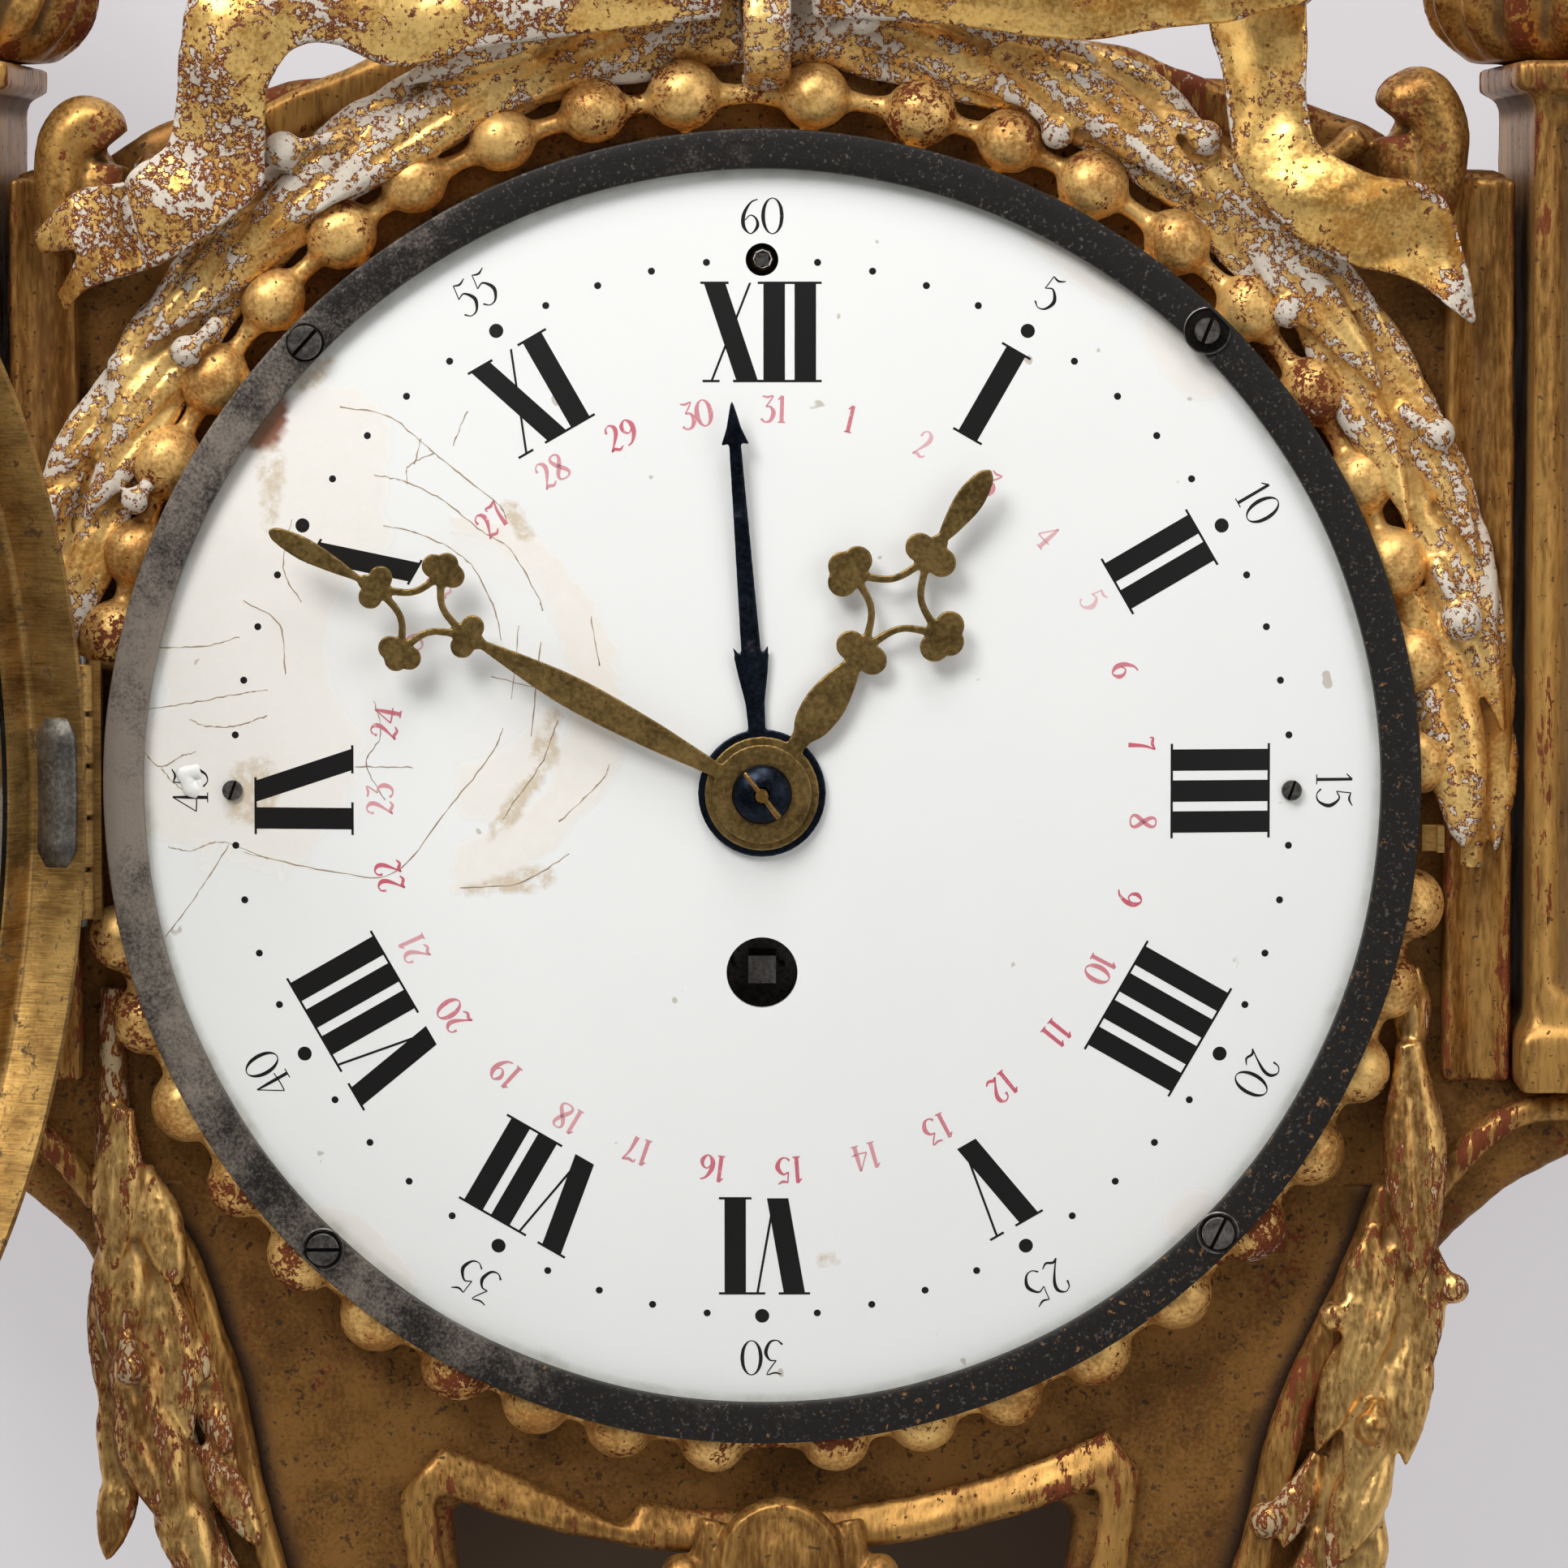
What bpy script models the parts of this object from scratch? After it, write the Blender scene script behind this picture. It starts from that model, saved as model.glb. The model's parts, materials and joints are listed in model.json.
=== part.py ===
"""A gilt wall clock of the cartel kind, with its bezel swung open, as separate pieces.

Lengths are in millimetres until they become mesh points in metres. A place is (x, f, z): x to the
right, f forward from the wall, z up from the centre of the dial. The model's origin is on the back
of the case, just below its hanging plate.
"""

import math

import bmesh
import bpy
from mathutils import Vector

for old in list(bpy.data.objects):
    bpy.data.objects.remove(old)

MM = 0.001

# Clearances
GAP = 0.3  # between pieces that sit on or beside each other
RUN = 0.3  # round an arbor, a pipe or a pin that turns

# Dial and the iron ring over its rim
DIAL_RADIUS = 110.7
DIAL_RISE = 8.7
DIAL_THICK = 1.6
MINUTE_INSET = 16.7  # dots, regulator hole and dial screws, in from the rim
RING_LAP = 0.8  # how far the ring covers the dial's rim
RING_WIDTH = 7.1
RING_THICK = 3.0
RING_SCREW_ANGLES = (46.0, 135.5, 226.3, 315.8)
RING_SCREW_HEAD = 2.9
RING_SCREW_HEAD_HEIGHT = 1.4
RING_SCREW_SHANK = 1.2
RING_SCREW_BITE = 7.0
DIAL_SCREW_HEAD = 1.9
DIAL_SCREW_SHANK = 1.0
WINDING_DROP = 32.0  # winding arbor below the centre
WINDING_HOLE = 6.3
REGULATOR_HOLE = 2.9

# Wooden collar with beads, on the case front
COLLAR_HEIGHT = 10.0
COLLAR_INSET = 1.5  # from the iron ring's edge to the collar's side
BEAD_COUNT = 42
BEAD_RADIUS = 5.8
BEAD_OVERHANG = 1.5  # bead centres outside the iron ring's edge
BEAD_NECK = 0.42  # share of a bead's radius that is left between two beads

# Case
CASE_DEPTH = 68.0
FRONT_BOARD = 12.0
CASE_WALL = 12.0
DIAL_SHOULDER = 4.7  # wood under the rim of the dial, in from the rim
CREST_RISE = 39.0  # crest above the shoulders
SHOULDER_X = 84.0
SHOULDER_Z = 126.0
SLOPE_X = 108.0
SLOPE_DROP = 8.0
WING_INNER_X = 120.0
WING_TOP = 110.0
SHELF_Z = -54.0
SHELF_THICK = 6.0
SHELF_OVERHANG = 2.5
WAIST_HALF = 114.0
WAIST_Z = -105.0
FOOT_HALF = 54.0
FOOT_Z = -370.0
FOOT_SAG = 14.0
HOLLOW_TOP = 132.0

# Pendulum window with its moulding, round boss and the knob under the case
WINDOW_BELOW_BEADS = 15.2
WINDOW_TOP_HALF = 57.0
WINDOW_FOOT_HALF = 34.0
WINDOW_FOOT_Z = -300.0
MOULDING_WIDTH = 8.5
MOULDING_HEIGHT = 4.7
BOSS_RADIUS = 11.5
BOSS_HEIGHT = 5.5
FINIAL_RADIUS = 17.0
FINIAL_LENGTH = 40.0

# Pilasters with urns
PILASTER_WIDTH = 40.0
PILASTER_BACK = 10.0
PILASTER_FRONT = 84.0
PILASTER_TOP = 123.0
CAPITAL_HEIGHT = 6.0
CAPITAL_OVERHANG = 3.7
BASE_HEIGHT = 12.0
BASE_OVERHANG = 2.0
FLUTES = 3
FLUTE_RADIUS = 3.6
URN_RADIUS = 37.5
URN_HEIGHT = 64.0
URN_GADROONS = 8

# Laurel
GARLAND_TOP_WIDTH = 15.0
GARLAND_SIDE_WIDTH = 9.4
GARLAND_TOP_HEIGHT = 15.0
GARLAND_SIDE_HEIGHT = 9.5
GARLAND_START_DEGREES = 4.5  # from the top
GARLAND_END_DEGREES = 95.0
GARLAND_LEAVES = 11
DROP_TOP_Z = -44.0
DROP_LENGTH = 200.0
DROP_WIDTH = 17.0
DROP_HEIGHT = 13.0
DROP_INSET = 5.8  # from the case's edge to the middle of the drop
DROP_LEAVES = 9

# Bow and ribbons
KNOT_RADIUS = 9.0
KNOT_LIFT = 5.0  # knot above the garlands
RIBBON_WIDTH = 15.0
RIBBON_THICK = 2.4
LOOP_REACH = 52.0
LOOP_HALF_HEIGHT = 13.0
LOOP_LIFT = 16.0
LOOP_WIDTH = 15.0

# Scrolls at the ends of the ogee top
SCROLL_RADIUS = 7.0
SCROLL_TUBE = 2.2
SCROLL_DEPTH = 9.0
SCROLL_X = 116.6
SCROLL_Z = 118.5

# Hanging plate
PLATE_WIDTH = 44.0
PLATE_HEIGHT = 17.0
PLATE_THICK = 2.0
PLATE_ABOVE_HOLLOW = 11.0
KEYHOLE_RADIUS = 4.0
KEYHOLE_SLOT = 1.8
KEYHOLE_DEPTH = 9.0

# Bezel, hinge and catch
BEZEL_OVERLAP = 1.0  # bezel's edge outside the iron ring's edge
BEZEL_WALL = 1.2
BEZEL_DEPTH = 14.0
BEZEL_SHOULDER = 8.5  # from the bezel's edge in to the rim of its glass
BEZEL_LIP = 4.0
BEZEL_OPEN_DEGREES = 115.0
GLASS_THICK = 1.8
GLASS_RISE = 8.0
HINGE_KNUCKLE = 9.2
HINGE_KNUCKLES = 5
HINGE_RADIUS = 2.2
HINGE_PIN = 0.9
HINGE_LEAF = 1.0
HINGE_LEAF_DEPTH = 5.6
CATCH_DEGREES = -4.2
CATCH_WIDTH = 4.6
CATCH_REACH = 3.6
CATCH_THICK = 1.2

# Hands
HAND_THICK = 0.9
HAND_SPACE = 0.5
DATE_HAND_LENGTH = 69.0
HOUR_HAND_LENGTH = 69.8
MINUTE_HAND_LENGTH = 98.4
DATE_COLLET = 11.3
HOUR_COLLET = 10.1
MINUTE_COLLET = 8.8
DATE_HAND_DEGREES = -4.4
HOUR_HAND_DEGREES = 35.2
MINUTE_HAND_DEGREES = -61.8
HAND_WASHER_RADIUS = 5.3
HAND_WASHER_HEIGHT = 2.2
HAND_PIN_LENGTH = 10.0
HAND_PIN_RADIUS = 0.5
HAND_PIN_DEGREES = -52.6

# Movement plates
MOVEMENT_SET_BACK = 3.8  # front plate's face behind the case front
MOVEMENT_PLATE = 2.2
PLATE_SPACE = 31.8
MOVEMENT_RADIUS = 62.0
TONGUE_HALF = 13.0
TONGUE_ABOVE_REGULATOR = 7.0
PILLAR_RADIUS = 3.5
PILLAR_CIRCLE = 52.0
PILLAR_ANGLES = (40.0, 140.0, 230.0, 310.0)
SEAT_WIDTH = 22.6
SEAT_THICK = 2.0
SEAT_STRAP_HALF = 4.0
SEAT_STRAP_Z = 48.0
SEAT_POST_X = 30.0
SEAT_POST_RADIUS = 3.0

# Going train: teeth, leaves and modules
ARBOR = 1.0
CENTRE_ARBOR = 1.2
WHEEL_THICK = 1.6
BARREL_TEETH, BARREL_MODULE = 48, 1.133
INTERMEDIATE_LEAVES, INTERMEDIATE_TEETH, INTERMEDIATE_MODULE = 6, 48, 0.96
CENTRE_LEAVES, CENTRE_TEETH, CENTRE_MODULE = 6, 64, 0.70
THIRD_LEAVES, THIRD_TEETH, THIRD_MODULE = 6, 60, 0.62
ESCAPE_LEAVES, ESCAPE_TEETH = 6, 30
ESCAPE_RADIUS = 17.0
THIRD_DEGREES = 125.0  # direction of the third arbor from the centre
BARREL_DRUM = 24.5
BARREL_HEIGHT = 17.0
WINDING_ARBOR = 3.0
WINDING_SQUARE = 4.9
WINDING_SQUARE_TIP = 6.0  # below the face of the dial
RATCHET_RADIUS = 10.0
RATCHET_TEETH = 14
CLICK_LENGTH = 13.0
CLICK_RADIUS = 2.4

# Wheel teeth, in modules and in shares of a pitch
TOOTH_RISE, TOOTH_ROOT = 1.0, 1.3
LEAF_RISE, LEAF_ROOT, LEAF_FOOT, LEAF_TIP = 0.5, 1.2, 0.165, 0.105

# Motion work and date work
CANNON_LEAVES, MINUTE_TEETH, CANNON_MODULE = 10, 30, 0.84
MINUTE_LEAVES, HOUR_TEETH = 8, 32
DAY_LEAVES, DAY_TEETH, DAY_MODULE = 12, 24, 1.16
MINUTE_STUD_DEGREES = 30.0
DAY_STUD_DEGREES = 180.0
PIPE_WALL = 0.8
DATE_TEETH = 31
DATE_WHEEL_RADIUS = 14.0

# Escapement, suspension and pendulum
ANCHOR_HEIGHT = 62.0
PALLET_DEGREES = 51.0
PALLET_WIDTH = 2.3
SWING_DEGREES = 4.0
CRUTCH_LENGTH = 48.0
CRUTCH_WIDTH = 3.0
PENDULUM_BEHIND = 12.0  # pendulum behind the back plate
PENDULUM_LENGTH = 314.0
ROD_HALF = 1.1
BOB_RADIUS = 24.0
BOB_THICK = 12.0
REGULATOR_ARBOR = 1.5
REGULATOR_SQUARE = 2.3
REGULATOR_TIP = 1.5  # below the face of the dial
SILK_RADIUS = 0.45
COCK_THICK = 2.5
COCK_HALF = 9.0

# Sizes that follow from those above
MINUTE_CIRCLE = DIAL_RADIUS - MINUTE_INSET
DIAL_OPENING = DIAL_RADIUS - DIAL_SHOULDER
RING_OUTER = DIAL_RADIUS - RING_LAP + RING_WIDTH
RING_INNER = DIAL_RADIUS - RING_LAP
RING_MIDDLE = (DIAL_RADIUS + GAP + RING_OUTER - COLLAR_INSET) / 2
COLLAR_INNER = DIAL_RADIUS + GAP
BEAD_CIRCLE = RING_OUTER + BEAD_OVERHANG
BEAD_OUTER = BEAD_CIRCLE + BEAD_RADIUS
WING_HALF = BEAD_OUTER + GAP + GARLAND_SIDE_WIDTH
PILASTER_INNER = WING_HALF + GAP + BASE_OVERHANG
SHELF_HALF = PILASTER_INNER + PILASTER_WIDTH + SHELF_OVERHANG
COLLAR_TOP = CASE_DEPTH + GAP + COLLAR_HEIGHT
RING_BACK = COLLAR_TOP + GAP
RING_FRONT = RING_BACK + RING_THICK
DIAL_EDGE = RING_BACK - GAP
DIAL_FACE = DIAL_EDGE + DIAL_RISE
DATE_HAND_BACK = DIAL_FACE + HAND_SPACE
HOUR_HAND_BACK = DATE_HAND_BACK + HAND_THICK + HAND_SPACE
MINUTE_HAND_BACK = HOUR_HAND_BACK + HAND_THICK + HAND_SPACE
MINUTE_HAND_FRONT = MINUTE_HAND_BACK + HAND_THICK
WASHER_BACK = MINUTE_HAND_FRONT + GAP
HAND_PIN_F = WASHER_BACK + HAND_WASHER_HEIGHT + GAP + HAND_PIN_RADIUS
ARBOR_TIP = HAND_PIN_F + 2.2
FRONT_FACE = CASE_DEPTH - MOVEMENT_SET_BACK
FRONT_BACK = FRONT_FACE - MOVEMENT_PLATE
BACK_FRONT = FRONT_BACK - PLATE_SPACE
BACK_FACE = BACK_FRONT - MOVEMENT_PLATE
PENDULUM_F = BACK_FACE - PENDULUM_BEHIND
HANGER_Z = HOLLOW_TOP + PLATE_ABOVE_HOLLOW
DIAL_DROP = HOLLOW_TOP + PLATE_ABOVE_HOLLOW / 2
WINDOW_RADIUS = BEAD_OUTER + WINDOW_BELOW_BEADS
BEZEL_OUTER = RING_OUTER + BEZEL_OVERLAP
BEZEL_BACK = RING_FRONT + GAP
HINGE_X = -(BEZEL_OUTER + HINGE_RADIUS + GAP)
HINGE_F = BEZEL_BACK + HINGE_RADIUS + GAP
GARLAND_CIRCLE_TOP = BEAD_OUTER + GAP + GARLAND_TOP_WIDTH / 2
KNOT_Z = BEAD_OUTER + GARLAND_TOP_WIDTH + KNOT_LIFT + KNOT_RADIUS
RIBBON_F = CASE_DEPTH + GARLAND_TOP_HEIGHT + 2 * GAP
CANNON_OUTER = CENTRE_ARBOR + RUN + PIPE_WALL
HOUR_PIPE = CANNON_OUTER + RUN + PIPE_WALL
DATE_PIPE = HOUR_PIPE + RUN + PIPE_WALL


def polar(radius, degrees):
    """The (x, z) point at this distance and direction from the centre, counted from +x to +z."""
    turn = math.radians(degrees)
    return radius * math.cos(turn), radius * math.sin(turn)


def meeting(first, reach, second, other_reach, side):
    """The point this far from two others, on the right (side 1) or on the left (side -1)."""
    (ax, az), (bx, bz) = first, second
    apart = math.hypot(bx - ax, bz - az)
    along = (reach**2 - other_reach**2 + apart**2) / (2 * apart)
    across = math.sqrt(reach**2 - along**2)
    ux, uz = (bx - ax) / apart, (bz - az) / apart
    return ax + ux * along + side * uz * across, az + uz * along - side * ux * across


def towards(start, end):
    """The direction from one point to another, in degrees."""
    return math.degrees(math.atan2(end[1] - start[1], end[0] - start[0]))


# Places of the arbors, as (x, z)
CENTRE = (0.0, 0.0)
WINDING = (0.0, -WINDING_DROP)
REGULATOR = (0.0, MINUTE_CIRCLE)
INTERMEDIATE = meeting(
    WINDING, BARREL_MODULE * (BARREL_TEETH + INTERMEDIATE_LEAVES) / 2,
    CENTRE, INTERMEDIATE_MODULE * (INTERMEDIATE_TEETH + CENTRE_LEAVES) / 2, 1)
THIRD = polar(CENTRE_MODULE * (CENTRE_TEETH + THIRD_LEAVES) / 2, THIRD_DEGREES)
ESCAPE_REACH = THIRD_MODULE * (THIRD_TEETH + ESCAPE_LEAVES) / 2
ESCAPE = (0.0, THIRD[1] + math.sqrt(ESCAPE_REACH**2 - THIRD[0]**2))
ANCHOR = (0.0, ANCHOR_HEIGHT)
MINUTE_REACH = CANNON_MODULE * (CANNON_LEAVES + MINUTE_TEETH) / 2
HOUR_MODULE = 2 * MINUTE_REACH / (MINUTE_LEAVES + HOUR_TEETH)
MINUTE_STUD = polar(MINUTE_REACH, MINUTE_STUD_DEGREES)
DAY_STUD = polar(DAY_MODULE * (DAY_LEAVES + DAY_TEETH) / 2, DAY_STUD_DEGREES)
CLICK = (CLICK_LENGTH, -WINDING_DROP + RATCHET_RADIUS + GAP)

# Levels of the wheels between the plates and in front of them
BARREL_BACK = BACK_FRONT + 3.0
BARREL_WHEEL_F = BARREL_BACK + BARREL_HEIGHT
INTERMEDIATE_WHEEL_F = FRONT_BACK - 6.4
CENTRE_WHEEL_F = FRONT_BACK - 3.2
THIRD_WHEEL_F = BACK_FRONT + 14.0
ESCAPE_WHEEL_F = BACK_FRONT + 6.0
MINUTE_WHEEL_F = FRONT_FACE + 2.6
HOUR_WHEEL_F = MINUTE_WHEEL_F + WHEEL_THICK + 2.6
DAY_WHEEL_F = HOUR_WHEEL_F + WHEEL_THICK + 0.9
DATE_WHEEL_F = DAY_WHEEL_F + WHEEL_THICK + 1.6


def finish(name, colour, metallic, roughness):
    """A Principled material."""
    made = bpy.data.materials.new(name)
    made.use_nodes = True
    shader = made.node_tree.nodes["Principled BSDF"]
    shader.inputs["Base Color"].default_value = (*colour, 1)
    shader.inputs["Metallic"].default_value = metallic
    shader.inputs["Roughness"].default_value = roughness
    return made


GILT = finish("gilt_wood", (0.55, 0.36, 0.13), 0.6, 0.42)
DULL_GILT = finish("dull_gilt_wood", (0.30, 0.20, 0.09), 0.3, 0.6)
IRON = finish("iron", (0.10, 0.10, 0.10), 0.9, 0.5)
ENAMEL = finish("enamel", (0.82, 0.81, 0.77), 0.0, 0.15)
BRASS = finish("brass", (0.60, 0.43, 0.18), 1.0, 0.35)
STEEL = finish("blued_steel", (0.07, 0.08, 0.11), 0.9, 0.35)
GLASS = finish("glass", (0.85, 0.90, 0.87), 0.0, 0.03)
SILK = finish("silk", (0.45, 0.38, 0.25), 0.0, 0.8)


def point(x, f, z):
    """A place in millimetres as a point in metres; forward is -Y."""
    return Vector((x, -f, z)) * MM


HUB = bpy.data.objects.new("dial_centre", None)
HUB.location = point(0, 0, -DIAL_DROP)
bpy.context.collection.objects.link(HUB)


def piece(name, bm, material, at=(0, 0, 0), turn=0.0, parent=HUB):
    """Makes an object of a finished mesh, with its origin at a place and turned clockwise."""
    bmesh.ops.recalc_face_normals(bm, faces=bm.faces)
    mesh = bpy.data.meshes.new(name)
    bm.to_mesh(mesh)
    bm.free()
    mesh.materials.append(material)
    mesh.shade_smooth()
    mesh.set_sharp_from_angle(angle=math.radians(35))
    made = bpy.data.objects.new(name, mesh)
    made.location = point(*at)
    made.rotation_euler.y = math.radians(turn)
    made.parent = parent
    bpy.context.collection.objects.link(made)
    return made


def prism(name, loops, back, front, material, **place):
    """An outline in x and z, with any holes after it, made thick from back to front."""
    bm = bmesh.new()
    edges = []
    for loop in loops:
        corners = [bm.verts.new(point(x, back, z)) for x, z in loop]
        edges += [bm.edges.new((corners[k - 1], corners[k])) for k in range(len(corners))]
    filled = bmesh.ops.triangle_fill(bm, edges=edges, use_beauty=True)["geom"]
    cap = [part for part in filled if isinstance(part, bmesh.types.BMFace)]
    grown = bmesh.ops.extrude_face_region(bm, geom=cap)["geom"]
    far = [part for part in grown if isinstance(part, bmesh.types.BMVert)]
    bmesh.ops.translate(bm, verts=far, vec=point(0, front - back, 0))
    return piece(name, bm, material, **place)


def loft(name, rings, material, closed=False, **place):
    """A skin over rings of (x, f, z) points, joined end to end or capped."""
    bm = bmesh.new()
    rows = [[bm.verts.new(point(*corner)) for corner in ring] for ring in rings]
    pairs = list(zip(rows, rows[1:]))
    if closed:
        pairs.append((rows[-1], rows[0]))
    else:
        bm.faces.new(rows[0])
        bm.faces.new(rows[-1])
    for row, after in pairs:
        for k in range(len(row)):
            bm.faces.new((row[k - 1], row[k], after[k], after[k - 1]))
    return piece(name, bm, material, **place)


def lathe(name, profile, material, steps=32, upright=False, swell=None, **place):
    """Turns (radius, along) points about the axis of the dial, or about z when upright.

    A profile that starts and ends on the axis makes a solid, and one that stays off it a ring.
    """
    bm = bmesh.new()
    rows = []
    for radius, along in profile:
        row = []
        for k in range(steps if radius else 1):
            reach = radius * (swell(k * 360 / steps, along) if swell else 1)
            across, up = polar(reach, k * 360 / steps)
            row.append(bm.verts.new(point(across, up, along) if upright else point(across, along, up)))
        rows.append(row)
    pairs = list(zip(rows, rows[1:]))
    if profile[0][0]:
        pairs.append((rows[-1], rows[0]))
    for row, after in pairs:
        for k in range(steps):
            near = [row[(k - 1) % len(row)], row[k % len(row)]]
            far = [after[k % len(after)], after[(k - 1) % len(after)]]
            bm.faces.new(list(dict.fromkeys(near + far)))
    return piece(name, bm, material, **place)


def join(target, others, operation="UNION"):
    """Adds the other pieces to this one, or cuts them from it, and removes them."""
    for other in others:
        step = target.modifiers.new(other.name, "BOOLEAN")
        step.operation = operation
        step.object = other
        step.solver = "EXACT"
    bpy.context.view_layer.update()
    graph = bpy.context.evaluated_depsgraph_get()
    mesh = bpy.data.meshes.new_from_object(target.evaluated_get(graph))
    target.modifiers.clear()
    target.data = mesh
    for other in others:
        bpy.data.objects.remove(other)
    return target


def cut(target, cutters):
    """Cuts the other pieces from this one."""
    return join(target, cutters, "DIFFERENCE")


def arc(radius, start, end, count, middle=CENTRE, tall=None):
    """Points along a round or oval arc, both ends included."""
    points = []
    for k in range(count + 1):
        turn = math.radians(start + (end - start) * k / count)
        across, up = radius * math.cos(turn), (tall or radius) * math.sin(turn)
        points.append((middle[0] + across, middle[1] + up))
    return points


def circle(radius, count, middle=CENTRE):
    """A closed round outline."""
    return arc(radius, 0, 360, count, middle)[:-1]


def square(side, middle=CENTRE):
    """A closed square outline."""
    half = side / 2
    corners = ((-half, -half), (half, -half), (half, half), (-half, half))
    return [(middle[0] + x, middle[1] + z) for x, z in corners]


def mirrored(right_half):
    """A closed outline from its right half, which runs from top to bottom on the middle line."""
    return right_half + [(-x, z) for x, z in reversed(right_half) if x > 0]


def round_bar(name, radius, back, front, material, count=8, **place):
    """A round bar along the axis of the dial."""
    return prism(name, [circle(radius, count)], back, front, material, **place)


def block(name, x, f, z, material, **place):
    """A plain block between two limits each way."""
    outline = [(x[0], z[0]), (x[1], z[0]), (x[1], z[1]), (x[0], z[1])]
    return prism(name, [outline], f[0], f[1], material, **place)


def smooth_path(knots, steps):
    """Points on a smooth curve through the knots, this many for each stretch."""
    ends = [knots[0], *knots, knots[-1]]
    path = []
    for k in range(len(knots) - 1):
        a, b, c, d = (Vector(knot) for knot in ends[k:k + 4])
        for step in range(steps):
            t = step / steps
            path.append(b + (c - a) * t / 2 + (a - 2.5 * b + 2 * c - d / 2) * t**2
                        + (1.5 * (b - c) + (d - a) / 2) * t**3)
    return path + [Vector(knots[-1])]


# The case

def case_outline():
    """The case seen from the front: ogee top, wings, shelf, hollow brackets and tapering trunk."""
    half = [(SHOULDER_X * k / 6, SHOULDER_Z + CREST_RISE * (1 - k / 6)**2.2) for k in range(7)]
    half += [(SLOPE_X, SHOULDER_Z - SLOPE_DROP), (WING_INNER_X, WING_TOP), (WING_HALF, WING_TOP)]
    half += [(WING_HALF, SHELF_Z), (SHELF_HALF, SHELF_Z)]
    half += arc(SHELF_HALF - WAIST_HALF, 90, 180, 6, (SHELF_HALF, WAIST_Z), SHELF_Z - SHELF_THICK - WAIST_Z)
    half += [(FOOT_HALF, FOOT_Z), (FOOT_HALF / 2, FOOT_Z - FOOT_SAG * 0.75), (0, FOOT_Z - FOOT_SAG)]
    return mirrored(half)


def hollow_outline():
    """The open inside of the case, one wall in from its outline."""
    taper = (WAIST_HALF - FOOT_HALF) / (WAIST_Z - FOOT_Z)
    floor_z = FOOT_Z + CASE_WALL
    half = [(0, HOLLOW_TOP), (SHOULDER_X - 2 * CASE_WALL, SHOULDER_Z - CASE_WALL)]
    half += [(WING_HALF - CASE_WALL, WING_TOP - CASE_WALL), (WING_HALF - CASE_WALL, SHELF_Z)]
    half += [(WAIST_HALF - CASE_WALL, WAIST_Z), (FOOT_HALF - CASE_WALL * (1 - taper), floor_z), (0, floor_z)]
    return mirrored(half)


def window_outline(wider=0.0):
    """The pendulum window, its top rail round the dial, grown by a margin."""
    top = WINDOW_RADIUS - wider
    half_top = WINDOW_TOP_HALF + wider
    reach = math.degrees(math.asin(half_top / top))
    sides = arc(top, -90 + reach, -90 - reach, 10)
    foot = arc(WINDOW_FOOT_HALF + wider, 180, 360, 10, (0, WINDOW_FOOT_Z), WINDOW_FOOT_HALF / 2 + wider)
    return sides + foot


def keyhole():
    """A round hole with a slot above it."""
    middle = (0, HANGER_Z + PLATE_HEIGHT * 0.4)
    start = math.degrees(math.acos(KEYHOLE_SLOT / KEYHOLE_RADIUS))
    hole = arc(KEYHOLE_RADIUS, 180 - start, 360 + start, 10, middle)
    return hole + arc(KEYHOLE_SLOT, 0, 180, 4, (0, HANGER_Z + PLATE_HEIGHT * 0.8))


def plate_outline(wider):
    """The hanging plate, or the recess for it."""
    half = PLATE_WIDTH / 2 + wider
    low, high = HANGER_Z - wider, HANGER_Z + PLATE_HEIGHT + wider
    return [(-half, low), (half, low), (half, high), (-half, high)]


def build_case():
    """The wooden case with its openings, and the iron plate that it hangs by."""
    case = prism("case_carcass", [case_outline()], 0, CASE_DEPTH, DULL_GILT)
    past = CASE_DEPTH + 1
    pocket_z = HANGER_Z + PLATE_HEIGHT / 2
    cut(case, [
        prism("hollow", [hollow_outline()], -1, CASE_DEPTH - FRONT_BOARD, IRON),
        round_bar("dial_opening", DIAL_OPENING, 1, past, IRON, 40),
        prism("window", [window_outline()], 1, past, IRON),
        prism("plate_recess", [plate_outline(GAP)], -1, PLATE_THICK + GAP, IRON),
        round_bar("nail_pocket", PLATE_HEIGHT * 0.4, -2, KEYHOLE_DEPTH, IRON, at=(0, 0, pocket_z)),
    ])
    prism("hanging_plate", [plate_outline(0), keyhole()], 0, PLATE_THICK, IRON)


def build_window_trim():
    """The moulding round the pendulum window, its round boss and the knob under the case."""
    steps = [(0.0, 0.0), (0.0, 0.55), (0.25, 1.0), (0.6, 0.7), (1.0, 0.4), (1.0, 0.0)]
    base = CASE_DEPTH + GAP
    outlines = [window_outline(GAP + share * MOULDING_WIDTH) for share, _ in steps]
    rings = []
    for k in range(len(outlines[0])):
        rings.append([(line[k][0], base + rise * MOULDING_HEIGHT, line[k][1])
                      for line, (_, rise) in zip(outlines, steps)])
    loft("window_moulding", rings, GILT, closed=True)
    boss_base = base + MOULDING_HEIGHT + GAP
    shape = [(0, 0), (1.0, 0), (1.0, 0.5), (0.9, 0.75), (0.8, 0.45), (0.6, 0.45), (0.35, 0.95), (0, 1.0)]
    lathe("keystone_boss", [(r * BOSS_RADIUS, boss_base + h * BOSS_HEIGHT) for r, h in shape], GILT, 18,
          at=(0, 0, -BEAD_OUTER - GAP - BOSS_RADIUS))
    shape = [(0, 0), (0.8, 0), (1, -0.12), (0.62, -0.24), (0.8, -0.4), (0.72, -0.62), (0.35, -0.85), (0, -1)]
    lathe("bottom_finial", [(r * FINIAL_RADIUS, h * FINIAL_LENGTH) for r, h in shape], GILT, 14, upright=True,
          at=(0, CASE_DEPTH / 2, FOOT_Z - FOOT_SAG - GAP))


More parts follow.
